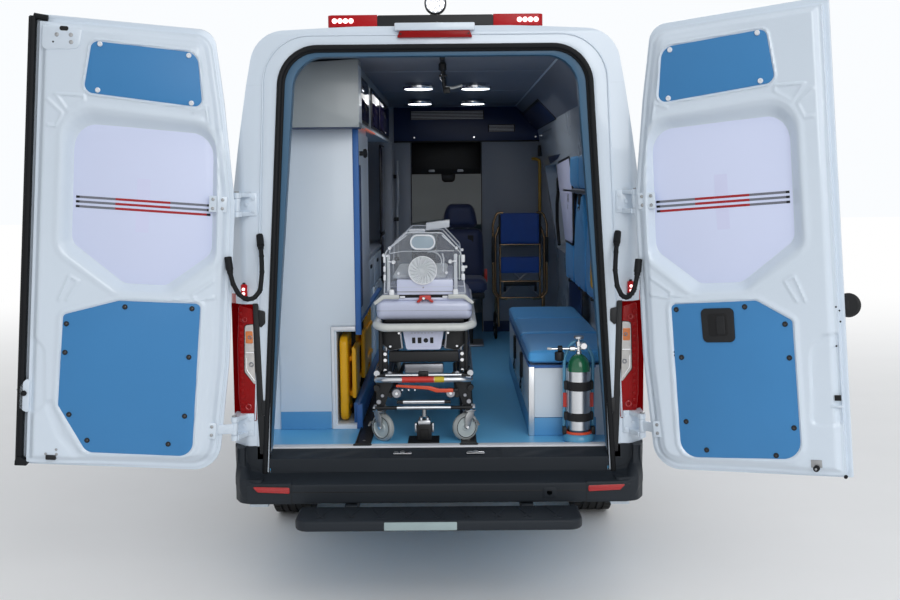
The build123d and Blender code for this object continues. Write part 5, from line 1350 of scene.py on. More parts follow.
# Seats: cushions on a shell, with a headrest on two steel posts
def buildSeat(label, x, y, floorZ, wide, paintName, facing, tall):
    # facing 1 looks forwards, -1 looks back into the room
    pads = []
    seatZ = floorZ + 0.4
    backY = y - facing * 0.23
    front, rear = y + facing * 0.27, y - facing * 0.17
    pads += [
        cushion(label + "Cushion", (x - wide, x + wide), (front, rear), (seatZ, seatZ + 0.12), paintName, 0.014, 0.045,
                18),
        cushion(label + "Back", (x - wide * 0.96, x + wide * 0.96), (backY - 0.055, backY + 0.055),
                (seatZ + 0.04, tall - 0.19),
            paintName, 0.018, 0.05, 18)]
    spots = getPoints(pads[-1])
    lift = np.clip((spots[:, 2] - seatZ) / (tall - seatZ), 0, 1)
    spots[:, 0] = x + (spots[:, 0] - x) * (1 - 0.24 * lift ** 3)
    setPoints(pads[-1], spots)
    pads.append(cushion(label + "Head", (x - 0.134, x + 0.134), (backY - 0.05, backY + 0.05), (tall - 0.185, tall),
                        paintName, 0.014, 0.045, 14))
    spots = getPoints(pads[-1])
    lift = np.clip((spots[:, 2] - tall + 0.185) / 0.185, 0, 1)
    spots[:, 0] = x + (spots[:, 0] - x) * (1 - 0.3 * lift ** 2)
    setPoints(pads[-1], spots)
    for pad in pads:
        settle(pad, "van", smooth=60)
    frameParts = [bar("seatPan", (x - wide * 0.9, x + wide * 0.9), (front - facing * 0.02, rear),
                      (seatZ - 0.03, seatZ + 0.012), "blackPlastic", 0.01)]
    frameParts += [
        bar("seatPost", (x - 0.09, x + 0.09), (y - 0.09, y + 0.09), (floorZ, seatZ - 0.028), "blackPlastic", 0.012, 3),
        bar("seatFoot", (x - 0.17, x + 0.17), (y - 0.16, y + 0.16), (floorZ, floorZ + 0.018), "greySteel", 0.006),
        bar("backShell", (x - wide * 0.8, x + wide * 0.8), (backY - facing * 0.052, backY - facing * 0.066),
            (seatZ + 0.1, tall - 0.25), "blackPlastic", 0.006)]
    for side in (-1, 1):
        frameParts += [
            tube("headPost", [(x + side * 0.06, backY, tall - 0.24), (x + side * 0.06, backY, tall - 0.12)], 0.006,
                 "chrome", 0),
            tube("recliner", [(x + side * wide * 0.93, rear, seatZ + 0.01),
                              (x + side * wide * 0.93, backY, seatZ + 0.14)], 0.014,
                "blackPlastic", 0)]
    frameParts += [
        bar("buckle", (x + wide * 0.94, x + wide * 0.94 + 0.022), (rear + facing * 0.03, rear + facing * 0.06),
            (seatZ + 0.06, seatZ + 0.16), "labelRed", 0.004),
        bar("belt", (x + wide * 0.3, x + wide * 0.3 + 0.044), (backY + facing * 0.046, backY + facing * 0.052),
            (seatZ + 0.18, tall - 0.24), "strapBlack", 0.001, 1)]
    return frameParts


frames = buildSeat("attendantSeat", 0.128, 0.345, 0.7075, 0.195, "seatNavy", -1, 1.762)
cabFloor = 0.862
frames += buildSeat("driverSeat", -0.54, 1.53, cabFloor, 0.225, "seatNavy", 1, 1.618)
frames += buildSeat("mateSeat", 0.565, 1.53, cabFloor, 0.225, "seatNavy", 1, 1.618)
settle(joined("seatFrames", *frames), "van", "seats", smooth=40)

# Folded wheelchair: two nested bronze loops on each side, a blue sling and seat, small castors
chair = {"middle": 0.5965, "y": 0.7, "top": 1.686, "half": 0.21, "tube": 0.0095}
middle, y, top = chair["middle"], chair["y"], chair["top"]
parts = []
for side in (-1, 1):
    for inset, depth, rise in ((0.0, 0.0, 0.0), (0.018, 0.03, -0.105)):
        half = chair["half"] - inset
        loop = [(middle + side * 0.13, y + depth, top + rise), (middle + side * (half - 0.03), y + depth, top + rise),
                (middle + side * half, y + depth, top + rise - 0.09), (middle + side * half, y + depth, 1.065),
                (middle + side * (half - 0.035), y + depth, 1.02), (middle + side * 0.1, y + depth, 1.01)]
        parts.append(tube("loop", loop, chair["tube"], "bronzeTube", 0.05, resolution=4))
    parts += [
        tube("seatPost", [(middle + side * 0.155, y - 0.01, 1.445), (middle + side * 0.155, y - 0.01, 1.02)], 0.0085,
             "bronzeTube", 0),
        bar("slingHem", (middle + side * 0.148, middle + side * 0.166), (y - 0.004, y + 0.012), (1.44, 1.672),
            "strapBlack", 0.004),
        tube("rearLeg", [(middle + side * 0.19, y + 0.03, 1.08), (middle + side * 0.19, y + 0.07, 0.9),
                         (middle + side * 0.185, y + 0.06, 0.82)],
            0.0095, "bronzeTube", 0.05),
        tube("frontLeg", [(middle + side * 0.175, y - 0.04, 1.03), (middle + side * 0.17, y - 0.05, 0.8)], 0.0095,
             "bronzeTube", 0.05)]
    for wheelY, radius in ((y + 0.075, 0.098), (y - 0.075, 0.062)):
        x = middle + side * 0.195
        rows = [(radius - 0.014, -0.01), (radius - 0.004, -0.01), (radius, -0.004), (radius, 0.004),
                (radius - 0.004, 0.01), (radius - 0.014, 0.01)]
        centre = (x, wheelY, 0.7075 + radius)
        parts.append(turned("chairTyre", rows, "X", centre, "blackRubber", 32, ring=True))
        rows = [(0, -0.012), (0.016, -0.012), (0.018, -0.005), (radius - 0.014, -0.004), (radius - 0.012, -0.009),
                (radius - 0.012, 0.009),
                (radius - 0.014, 0.004), (0.018, 0.005), (0.016, 0.012), (0, 0.012)]
        parts += [
            turned("chairWheel", rows, "X", centre, "greySteel", 24),
            tube("axle", [centre, (middle + side * 0.18, y, 0.86)], 0.006, "greySteel", 0)]
    parts += [
        turned("smallCastor", [(0, -0.01), (0.02, -0.01), (0.024, 0), (0.02, 0.01), (0, 0.01)], "X",
            (middle + side * 0.12, y - 0.02, 1.093), "blackRubber", 20),
        tube("castorFork", [(middle + side * 0.12, y - 0.02, 1.093), (middle + side * 0.12, y - 0.005, 1.15)], 0.006,
             "greySteel", 0),
        bar("armPad", (middle + side * 0.196, middle + side * 0.222), (y - 0.012, y + 0.01), (1.3, 1.5), "blackPlastic",
            0.006)]
for z in (1.438, 1.15, 1.02):
    parts.append(tube("chairBar", [(middle - 0.16, y - 0.008, z), (middle + 0.16, y - 0.008, z)], 0.0075, "bronzeTube",
                      0))
parts += [
    tube("crossBar", [(middle - 0.15, y + 0.02, 1.03), (middle + 0.15, y + 0.02, 1.3)], 0.0075, "greySteel", 0),
    tube("crossBar", [(middle + 0.15, y + 0.035, 1.03), (middle - 0.15, y + 0.035, 1.3)], 0.0075, "greySteel", 0),
    bar("footPlate", (middle - 0.13, middle + 0.13), (y - 0.03, y - 0.01), (1.115, 1.15), "blackPlastic", 0.006)]
settle(joined("chairFrame", *parts), "van", "wheelchair", smooth=40)
for label, low, high, depth in (("chairSling", 1.444, 1.684, 0.0), ("chairSeat", 1.215, 1.343, -0.012)):
    pad = cushion(label, (middle - 0.15, middle + 0.148), (y + depth - 0.01, y + depth + 0.01), (low, high), "slingBlue",
                  0.004, 0.01, 24)
    spots = getPoints(pad)
    sag = np.clip(1 - ((spots[:, 0] - middle) / 0.15) ** 2, 0, 1)
    spots[:, 1] += 0.014 * sag
    setPoints(pad, spots)
    settle(pad, "van", smooth=60)

# Right wall: lining with a rubbing strip, headrest bar, four hanging pads, yellow handles
parts = [
    bar("padRail", (0.8, 0.826), (-2.66, -0.76), (1.862, 1.89), "partitionGrey", 0.005),
    bar("padRailLip", (0.796, 0.803), (-2.66, -0.76), (1.868, 1.884), "greySteel", 0.002)]
for y in (-2.6, -2.05, -1.5, -0.9):
    parts.append(bar("railBracket", (0.82, 0.872), (y - 0.02, y + 0.02), (1.858, 1.893), "partitionGrey", 0.004))
handle = [(0.868, -2.438, 1.862), (0.79, -2.438, 1.858), (0.79, -2.438, 1.391), (0.868, -2.438, 1.387)]
parts.append(tube("wallHandle", handle, 0.0145, "railYellow", 0.025, resolution=5))
handle = [(0.722, partition - 0.006, 2.108), (0.74, partition - 0.046, 2.108), (0.775, partition - 0.046, 2.094),
          (0.775, partition - 0.046, 1.676),
          (0.74, partition - 0.046, 1.662), (0.722, partition - 0.006, 1.662)]
parts.append(tube("doorHandle", handle, 0.0125, "railYellow", 0.02, resolution=5))
for x, y, z in ((0.868, -2.438, 1.862), (0.868, -2.438, 1.387)):
    parts.append(disc("handleFoot", "X", (x, y, z), 0.026, 0.008, "railYellow", 0.003, 20))
settle(joined("handRails", *parts), "van", "grab_rails", smooth=40)
for index, (start, end) in enumerate(((-2.6, -2.12), (-2.112, -1.632), (-1.624, -1.144))):
    pad = cushion("headrest" + str(index), (0.792, 0.84), (start, end), (1.893, 2.092), "seatVinyl", 0.01, 0.022, 18)
    settle(pad, "van", smooth=60)
for index, (start, end) in enumerate(((-2.815, -2.505), (-2.5, -1.95), (-1.945, -1.31), (-1.305, -0.79))):
    pad = cushion("sidePad" + str(index), (0.8, 0.838), (start, end), (1.318, 1.86), "seatVinyl", 0.01, 0.018, 22)
    spots = getPoints(pad)
    centreY = (start + end) / 2
    lift = np.clip((spots[:, 2] - 1.318) / 0.542, 0, 1)
    narrow = 1 - 0.62 * lift ** 2.4 - 0.16 * (1 - np.minimum(lift / 0.18, 1)) ** 2
    spots[:, 1] = centreY + (spots[:, 1] - centreY) * narrow
    setPoints(pad, spots)
    settle(pad, "van", smooth=60)
parts = []
for y in (-2.24, -1.65, -1.06):
    parts += [
        bar("padBuckle", (0.796, 0.822), (y - 0.05, y + 0.02), (1.8, 1.862), "blackPlastic", 0.006),
        bar("padStrap", (0.802, 0.812), (y - 0.035, y + 0.005), (1.64, 1.802), "strapBlack", 0.002),
        turned("buckleRing", [(0.01, -0.003), (0.015, -0.003), (0.015, 0.003), (0.01, 0.003)], "X",
               (0.797, y - 0.015, 1.775), "chrome",
            20, ring=True)]
for y in (-2.66, -2.22, -1.62, -1.05):
    parts.append(bar("padFoot", (0.802, 0.83), (y - 0.02, y + 0.02), (1.302, 1.322), "blackPlastic", 0.004))
parts += [
    tube("beltDrop", [(0.838, 0.02, 1.9), (0.82, -0.04, 1.78), (0.826, 0.02, 1.64), (0.83, -0.1, 1.48)], 0.012,
         "strapBlack", 0.06),
    bar("beltReel", (0.822, 0.86), (-0.06, 0.06), (1.86, 1.96), "blackPlastic", 0.012),
    plate("wallKick", box4(-1.26, -0.52, 0.74, 1.32, 0.02), "YZ", 0.858, 0.868,
        "navyPanel", 0.003)]
settle(joined("padFittings", *parts), "van", smooth=40)

# Right wall by the partition: navy cove panel, dark window surround and a pale pane
parts = [plate("coveEdge", [(0.64, 2.476, 0), (0.766, 2.343, 0), (0.76, 2.337, 0), (0.634, 2.47, 0)], "XZ", -0.65, 1.056,
               "blackPlastic", 0.001)]
parts += [
    plate("covePanel", [(0.65, 2.461, 0), (0.758, 2.347, 0), (0.753, 2.342, 0), (0.645, 2.456, 0)], "XZ", -0.63, 1.054,
          "navyPanel", 0.001),
    plate("windowTop", [(-0.96, 2.15, 0.03), (-0.64, 2.28, 0.04), (0.06, 2.33, 0.04), (0.6, 2.15, 0.03),
                        (0.3, 2.06, 0.03),
        (-0.26, 2.085, 0.02)], "YZ", 0.797, 0.812, "navyPanel", 0.002)]
pane = [(-0.25, 2.045, 0.03), (-1.09, 2.075, 0.04), (-1.29, 1.86, 0.03), (-1.33, 1.56, 0.04), (-0.88, 1.56, 0.04)]
parts += [
    plate("windowFrame", grown(pane, 0.018), "YZ", 0.8, 0.812, "blackPlastic", 0.003),
    plate("windowPane", pane, "YZ", 0.796, 0.803, "frostedBar", 0.002)]
settle(joined("rightWindow", *parts), "van", smooth=40)

# Left wall by the partition: grey trim with two tall dark panes, low navy doors, clear tube
parts = []
for low, high in ((1.56, 2.2), (1.205, 1.53)):
    rows = box4(0.3, 0.76, low, high, 0.02)
    parts += [
        plate("tallFrame", grown(rows, 0.012), "YZ", -0.47, -0.458, "blackPlastic", 0.003),
        plate("tallPane", rows, "YZ", -0.459, -0.455, "paneDark", 0.001)]
for y in (0.79, 1.04):
    parts.append(bar("wallPost", (-0.48, -0.398), (y - 0.012, y + 0.012), (0.7075, 2.245), "partitionGrey", 0.004))
parts.append(tube("clearTube", [(-0.37, 0.98, 1.25), (-0.372, 0.98, 1.72), (-0.36, 0.94, 1.8), (-0.366, 0.96, 2.1)], 0.01,
                  "clearEdge", 0.05))
for z in (1.3, 1.62, 1.96):
    parts.append(bar("tubeClip", (-0.398, -0.36), (0.955, 1.0), (z, z + 0.03), "blackPlastic", 0.004))
for start in (-1.69, -1.06, -0.43):
    rows = box4(start, start + 0.6, 1.5, 2.19, 0.008)
    parts.append(plate("backPanel", rows, "YZ", -0.862, -0.852, "partitionGrey", 0.002))
settle(joined("leftWall", *parts), "van", smooth=40)
print("ceiling, partition, seats, wheelchair and walls built")

# Stretcher: rails, crossbars, sockets, castors; the incubator stands on it
stretcher = {"middle": -0.072}
middle = stretcher["middle"]
parts = []
half = 0.222
loop = [(middle - half, -1.3, 1.27), (middle - half, -2.915, 1.27), (middle - 0.19, -2.955, 1.262),
        (middle + 0.19, -2.955, 1.262),
        (middle + half + 0.014, -2.915, 1.27), (middle + half + 0.014, -1.3, 1.27)]
parts += [
    tube("creamRail", loop, 0.019, "creamTube", 0.05, resolution=5),
    tube("creamCross", [(middle - half, -1.3, 1.27), (middle + half + 0.014, -1.3, 1.27)], 0.017, "creamTube", 0),
    plate("tray", box4(middle - 0.205, middle + 0.222, -2.94, -1.32, 0.03), "XY", 1.25, 1.262, "blackPlastic", 0.004)]
control = [(middle - 0.101, 1.252, 0.004), (middle + 0.101, 1.252, 0.004), (middle + 0.082, 1.146, 0.012),
           (middle - 0.082, 1.146, 0.012)]
parts += [
    plate("controlBox", control, "XZ", -2.888, -2.62, "incubatorWhite", 0.006, 6, 3),
    plate("controlPanel", [(middle - 0.074, 1.243, 0.004), (middle + 0.074, 1.243, 0.004), (middle + 0.062, 1.162, 0.006),
        (middle - 0.062, 1.162, 0.006)], "XZ", -2.8905, -2.886, "incubatorWhite", 0.001)]
for dx, wide in ((-0.046, 0.008), (-0.018, 0.009), (0.012, 0.0), (0.04, 0.008)):
    if wide:
        parts += [
            bar("socket", (middle + dx - wide, middle + dx + wide), (-2.8935, -2.888), (1.178, 1.206), "blackPlastic",
                0.002),
            bar("socketKey", (middle + dx - wide * 0.5, middle + dx + wide * 0.5), (-2.8955, -2.892), (1.186, 1.198),
                "shadowBlack", 0.001, 1)]
    else:
        parts.append(turned("socket", [(0, 0), (0.009, 0.0), (0.011, -0.004), (0.006, -0.008), (0, -0.006)], "Y",
                            (middle + dx, -2.889, 1.192), "blackPlastic", 16))
for index in range(7):
    parts.append(bar("print", (middle - 0.06 + 0.016 * index, middle - 0.05 + 0.016 * index), (-2.8912, -2.89),
                     (1.226, 1.2285), "greySteel", 0.0002, 1))
for side in (-1, 1):
    rows = [(0.108, 1.24, 0.006), (0.214, 1.24, 0.006), (0.206, 1.17, 0.006), (0.165, 1.135, 0.01), (0.098, 1.146, 0.006)]
    rows = [(middle + side * a, b, r) for a, b, r in rows]
    parts += [
        plate("sidePlate", rows, "XZ", -2.846, -2.838, "greySteel", 0.002),
        plate("sideDark", [(middle + side * (a * 0.94 + 0.009), b - 0.004, r) for a, b, r in
            [(0.112, 1.234, 0.006), (0.206, 1.234, 0.006), (0.199, 1.173, 0.006), (0.163, 1.143, 0.01),
            (0.104, 1.152, 0.006)]], "XZ", -2.848, -2.845, "blackPlastic", 0.001)]
    for dx, z in ((0.16, 1.158), (0.205, 1.215), (0.118, 1.222)):
        parts.append(disc("plateBolt", "Y", (middle + side * dx, -2.8475, z), 0.007, -0.006, "chrome", 0.002, 16))
    # upright legs, crossed struts with rollers, brackets at the frame's corners
    parts += [
        tube("upright", [(middle + side * 0.205, -2.87, 1.25), (middle + side * 0.205, -2.87, 1.045)], 0.01,
             "blackPlastic", 0),
        tube("uprightInner", [(middle + side * 0.185, -2.84, 1.25), (middle + side * 0.178, -2.84, 1.04)], 0.007, "steel",
             0)]
    for z in (1.125, 1.095, 1.045):
        parts.append(disc("pivot", "Y", (middle + side * 0.184, -2.874, z), 0.01, -0.006, "chrome", 0.002, 16))
    parts += [
        bar("pivotPlate", (middle + side * 0.172, middle + side * 0.196), (-2.876, -2.866), (1.03, 1.14), "blackPlastic",
            0.004),
        tube("strut", [(middle + side * 0.176, -2.9, 0.96), (middle + side * 0.15, -2.1, 1.2)], 0.014, "greySteel", 0),
        tube("strutLow", [(middle + side * 0.158, -2.93, 0.935), (middle + side * 0.15, -1.55, 0.86)], 0.013,
             "blackPlastic", 0),
        turned("roller", [(0, -0.012), (0.02, -0.012), (0.024, -0.006), (0.024, 0.006), (0.02, 0.012), (0, 0.012)], "Y",
            (middle + side * 0.128, -2.945, 0.948), "greySteel", 24),
        disc("rollerBolt", "Y", (middle + side * 0.128, -2.957, 0.948), 0.008, -0.004, "chrome", 0.001, 12),
        turned("roller", [(0, -0.01), (0.014, -0.01), (0.016, 0.01), (0, 0.01)], "Y",
               (middle + side * 0.222, -2.942, 0.972),
            "blackPlastic", 20)]
    for dx, z, size in ((0.214, 0.905, 0.012), (0.196, 0.935, 0.009), (0.178, 1.008, 0.011), (0.16, 1.04, 0.012)):
        parts.append(disc("bolt", "Y", (middle + side * dx, -2.936, z), size, -0.007, "greySteel", 0.002, 14))
    parts.append(plate("cornerPlate", [(middle + side * a, b, r) for a, b,
                                       r in [(0.128, 1.05, 0.01), (0.225, 1.03, 0.012),
                       (0.226, 0.86, 0.01), (0.196, 0.86, 0.01), (0.17, 0.93, 0.03)]], "XZ", -2.934, -2.922,
                       "blackPlastic", 0.003))
    # castor: steel fork, grey tyre, pale disc, turned on its swivel
    x = middle + side * 0.214
    for y, turn in ((-2.898, 50 if side < 0 else 62), (-1.268, 20)):
        rows = [(0.05, -0.0155), (0.06, -0.014), (0.0665, -0.006), (0.0672, 0.006), (0.06, 0.014), (0.05, 0.0155)]
        wheel = [turned("castorTyre", rows, "X", (x, y, 0.7725), "castorGrey", 36, ring=True)]
        rows = [(0, -0.01), (0.018, -0.012), (0.022, -0.008), (0.046, -0.008), (0.0505, -0.014), (0.0505, 0.014),
                (0.046, 0.008),
                (0.022, 0.008), (0.018, 0.012), (0, 0.01)]
        wheel.append(turned("castorDisc", rows, "X", (x, y, 0.7725), "castorDisc", 30))
        for face in (-1, 1):
            wheel.append(turned("castorGroove",
                                [(0.0495, face * 0.0148), (0.0525, face * 0.0152), (0.0525, face * 0.016),
                                 (0.0495, face * 0.0158)],
                                "X", (x, y, 0.7725), "blackRubber", 30, ring=True))
            fork = [(y - 0.012, 0.765, 0.01), (y + 0.012, 0.765, 0.01), (y + 0.042, 0.85, 0.01), (y + 0.01, 0.85, 0.006),
                    (y - 0.01, 0.83, 0.03)]
            wheel += [
                plate("fork", fork, "YZ", x + face * 0.0185, x + face * 0.0225, "zinc", 0.001),
                disc("axleBolt", "X", (x + face * 0.022, y, 0.7725), 0.0085, face * 0.006, "chrome", 0.002, 14)]
        wheel.append(bar("forkTop", (x - 0.024, x + 0.024), (y - 0.004, y + 0.045), (0.846, 0.853), "zinc", 0.002))
        swing = moved(x, y + 0.02) @ Matrix.Rotation(math.radians(-side * turn), 4, "Z") @ moved(-x, -y - 0.02)
        parts += [
            placed(joined("castor", *wheel), swing),
            turned("swivel", [(0, 0.853), (0.022, 0.853), (0.024, 0.858), (0.022, 0.866), (0.012, 0.868), (0, 0.869)],
                   "Z",
                (x, y + 0.02, 0), "chrome", 20),
            bar("castorPlate", (x - 0.03, x + 0.03), (y - 0.02, y + 0.055), (0.868, 0.874), "sillWhite", 0.002),
            tube("castorStem", [(x, y + 0.02, 0.87), (middle + side * 0.205, y + 0.03, 0.905),
                (middle + side * 0.21, y + 0.055, 1.06)], 0.013, "blackPlastic", 0.04)]
    parts += [
        tube("brakePedal", [(x + side * 0.024, -2.89, 0.8), (x + side * 0.04, -2.945, 0.808),
                            (x + side * 0.046, -2.975, 0.8)],
            0.005, "zinc", 0.01),
        tube("sideRail", [(middle + side * 0.222, -2.93, 1.04), (middle + side * 0.222, -1.1, 1.04)], 0.0145, "steel", 0),
        tube("lowRail", [(middle + side * 0.205, -2.925, 0.885), (middle + side * 0.205, -1.25, 0.885)], 0.0135,
             "blackPlastic", 0)]
for low, high, wide, y, name in ((1.083, 1.136, 0.168, -2.86, "blackPlastic"),
                                 (1.0235, 1.072, 0.094, -2.83, "greySteel")):
    parts.append(bar("crossBox", (middle - wide, middle + wide), (y - 0.01, y + 0.03), (low, high), name, 0.006, 3))
parts += [
    tube("aluBar", [(middle - 0.18, -2.952, 1.034), (middle + 0.18, -2.952, 1.034)], 0.0085, "aluminium", 0),
    bar("clamp", (middle - 0.024, middle + 0.024), (-2.968, -2.938), (1.021, 1.053), "blackPlastic", 0.004)]
for dx in (-0.01, 0.01):
    parts.append(bar("clampGap", (middle + dx - 0.004, middle + dx + 0.004), (-2.97, -2.966), (1.03, 1.044),
                     "shadowBlack", 0.001, 1))
handle = [(middle - 0.222, -2.6, 1.0), (middle - 0.222, -2.945, 1.01), (middle - 0.18, -2.9855, 1.019),
          (middle + 0.18, -2.9855, 1.019),
          (middle + 0.222, -2.945, 1.01), (middle + 0.222, -2.6, 1.0)]
parts += [
    tube("liftHandle", handle, 0.0135, "aluminium", 0.05, resolution=5),
    tube("warning", [(middle - 0.1, -2.9857, 1.019), (middle + 0.05, -2.9857, 1.019)], 0.0142, "labelRed", 0,
         resolution=5),
    tube("warning", [(middle + 0.052, -2.9857, 1.019), (middle + 0.098, -2.9857, 1.019)], 0.0142, "labelYellow", 0,
         resolution=5)]
lever = [(middle - 0.13, 0.993, 0.006), (middle + 0.03, 0.985, 0.04), (middle + 0.075, 0.972, 0.03),
         (middle + 0.142, 0.972, 0.008),
         (middle + 0.142, 0.954, 0.008), (middle + 0.06, 0.954, 0.03), (middle + 0.02, 0.968, 0.04),
         (middle - 0.13, 0.981, 0.004)]
parts += [
    plate("lever", lever, "XZ", -2.972, -2.962, "leverRed", 0.003),
    bar("leverEnd", (middle + 0.14, middle + 0.162), (-2.974, -2.96), (0.955, 0.971), "blackPlastic", 0.003)]
for dx in (-0.1, -0.07, -0.04):
    parts.append(disc("leverBolt", "Y", (middle + dx, -2.966, 0.967), 0.0045, -0.004, "chrome", 0.001, 12))
for wide, ends, z, y in ((0.098, 0.128, 0.905, -2.945), (0.128, 0.232, 0.876, -2.94)):
    parts += [
        tube("bar", [(middle - wide, y, z), (middle + wide, y, z)], 0.0095, "aluminium", 0),
        tube("barEnds", [(middle - ends, y, z), (middle + ends, y, z)], 0.0085, "blackPlastic", 0)]
parts += [
    plate("lockBlock", [(middle - 0.034, 0.7105, 0.004), (middle + 0.034, 0.7105, 0.004), (middle + 0.038, 0.785, 0.006),
        (middle - 0.038, 0.785, 0.006)], "XZ", -2.91, -2.845, "blackPlastic", 0.005),
    bar("lockTop", (middle - 0.03, middle + 0.03), (-2.905, -2.85), (0.785, 0.806), "steel", 0.004),
    bar("lockJaw", (middle - 0.02, middle + 0.02), (-2.914, -2.908), (0.722, 0.766), "shadowBlack", 0.003)]
for side in (-1, 1):
    parts += [
        turned("lockPin", [(0, 0), (0.008, 0), (0.009, 0.01), (0.005, 0.016), (0, 0.017)], "Z",
               (middle + side * 0.016, -2.878, 0.805),
            "chrome", 16),
        bar("lockEar", (middle + side * 0.036, middle + side * 0.046), (-2.895, -2.86), (0.745, 0.79), "steel", 0.003)]
parts.append(tube("lockStem", [(middle, -2.87, 0.82), (middle, -2.87, 0.87)], 0.01, "zinc", 0))
settle(joined("stretcher", *parts), "van", "stretcher")

# Incubator: round-edged base with arms, a drawer, a see-through hood with catches, an oval and an iris port
base = [bar("incubatorBase", (middle - 0.228, middle + 0.234), (-2.812, -1.88), (1.279, 1.376), "incubatorWhite", 0.03,
            5),
        bar("incubatorSeam", (middle - 0.2285, middle + 0.2345), (-2.8125, -1.8795), (1.325, 1.3265), "greySteel", 0.0004,
            1),
        bar("incubatorFoot", (middle - 0.19, middle + 0.196), (-2.79, -1.9), (1.2625, 1.284), "blackPlastic", 0.006),
        bar("shelf", (middle - 0.2, middle + 0.206), (-2.8, -1.885), (1.374, 1.387), "incubatorWhite", 0.004),
        bar("shelfGap", (middle - 0.121, middle + 0.118), (-2.796, -1.9), (1.386, 1.401), "shadowBlack", 0.001, 1),
        bar("drawer", (middle - 0.128, middle + 0.143), (-2.795, -1.89), (1.4, 1.473), "incubatorWhite", 0.004, 3),
        bar("drawerGroove", (middle - 0.1285, middle + 0.1435), (-2.7958, -2.79), (1.413, 1.418), "greySteel", 0.001, 1),
        bar("drawerGroove", (middle - 0.1285, middle + 0.1435), (-2.7954, -2.79), (1.4375, 1.439), "castorDisc", 0.0005,
            1),
        disc("drawerPin", "Y", (middle, -2.795, 1.436), 0.004, -0.002, "greySteel", 0.0005, 12)]
lever = [(-0.018, 1.399, 0.004), (0.036, 1.399, 0.004), (0.038, 1.38, 0.004), (0.052, 1.37, 0.003), (0.04, 1.364, 0.003),
         (0.022, 1.38, 0.01),
         (-0.004, 1.38, 0.01), (-0.022, 1.364, 0.003), (-0.034, 1.368, 0.003), (-0.02, 1.384, 0.006)]
base += [
    plate("tiltLever", [(middle + a, b, r) for a, b, r in lever], "XZ", -2.824, -2.798, "labelRed", 0.002),
    disc("tiltKnob", "Y", (middle + 0.002, -2.824, 1.386), 0.008, -0.006, "chrome", 0.002, 16)]
for side in (-1, 1):
    centre = middle + 0.002
    arm = [(0.118, 1.403, 0.003), (0.2, 1.403, 0.02), (0.243, 1.365, 0.004), (0.234, 1.354, 0.004), (0.19, 1.384, 0.02),
           (0.118, 1.382, 0.003)]
    base += [
        plate("arm", [(centre + side * a, b, r) for a, b, r in arm], "XZ", -2.818, -2.798, "creamTube", 0.004),
        plate("corner", [(centre + side * a, b, r) for a, b, r in box4(0.142, 0.166, 1.386, 1.428, 0.006)], "XZ", -2.812,
              -2.79,
            "studWhite", 0.003),
        bar("pad", (centre + side * 0.09, centre + side * 0.116), (-2.806, -2.797), (1.385, 1.396), "studWhite", 0.003)]
    # catches on the side doors of the hood
    base.append(bar("catchRail", (centre + side * 0.17, centre + side * 0.176), (-2.79, -2.775), (1.47, 1.592),
                    "castorDisc", 0.002))
    for low, high in ((1.47, 1.5), (1.512, 1.54), (1.556, 1.592)):
        base.append(bar("catch", (centre + side * 0.182, centre + side * (0.2 if side > 0 else 0.194)), (-2.795, -2.77),
                        (low, high),
                        "studWhite", 0.004))
for x, z, size in ((-0.142, 1.559, 0.0105), (-0.119, 1.505, 0.0085), (0.131, 1.56, 0.0105), (0.112, 1.506, 0.0085),
                   (-0.189, 1.592, 0.009),
                   (-0.173, 1.589, 0.006), (-0.16, 1.627, 0.009), (0.162, 1.625, 0.008), (0.189, 1.616, 0.007),
                   (0.207, 1.534, 0.007)):
    base += [
        turned("knob", [(0, 0), (size, 0), (size * 1.05, -0.006), (size * 0.7, -0.014), (size * 0.3, -0.012),
                        (0, -0.012)], "Y",
            (middle + x, -2.786, z), "studWhite", 18),
        disc("knobFoot", "Y", (middle + x, -2.772, z), size * 0.6, -0.015, "clearEdge", 0.001, 12)]
for start, end in (((-0.142, 1.559), (-0.168, 1.562)), ((0.131, 1.56), (0.16, 1.562))):
    base.append(tube("knobRod", [(middle + start[0], -2.79, start[1]), (middle + end[0], -2.788, end[1])], 0.0035,
                     "studWhite", 0))
settle(joined("incubatorBase", *base), "van", "incubator", smooth=40)
hoodRows = [(-0.19, 1.405, 0.004), (0.203, 1.405, 0.004), (0.182, 1.6, 0.02), (0.092, 1.698, 0.02), (-0.078, 1.7, 0.02),
            (-0.18, 1.608, 0.02)]
hoodRows = [(middle + a, b, r) for a, b, r in hoodRows]
shell = plate("hood", hoodRows, "XZ", -2.772, -1.93, "clearHood", 0.006, 5, 3)
hood = [cut(shell, plate("hoodInner", grown(hoodRows, -0.006), "XZ", -2.766, -1.936, "clearHood"))]
for y in (-2.771, -2.4, -1.932):
    hood.append(tube("hoodRim", [Vector((a, y, b)) for a, b in rounded(hoodRows, 4)], 0.0035, "clearEdge", 0,
                     closed=True))
hood.append(tube("hoodSeam", [(middle - 0.16, -2.775, 1.6), (middle - 0.1, -2.775, 1.61),
                              (middle + 0.151, -2.775, 1.611)], 0.0022, "clearEdge", 0.02))
for start, end in (((-0.078, 1.7), (-0.16, 1.625)), ((0.092, 1.698), (0.165, 1.62))):
    hood.append(tube("hoodFold", [(middle + start[0], -2.778, start[1] - 0.012), (middle + end[0], -2.778, end[1])],
                     0.003, "clearEdge", 0))
for low, high in ((-0.176, -0.16), (0.148, 0.166)):
    hood.append(bar("hoodPost", (middle + low, middle + high), (-2.78, -2.755), (1.406, 1.596), "clearEdge", 0.004))
settle(joined("incubatorHood", *hood), "van")
ports = []
oval = [(middle + a, b, r) for a, b, r in box4(-0.058, 0.056, 1.621, 1.687, 0.032)]
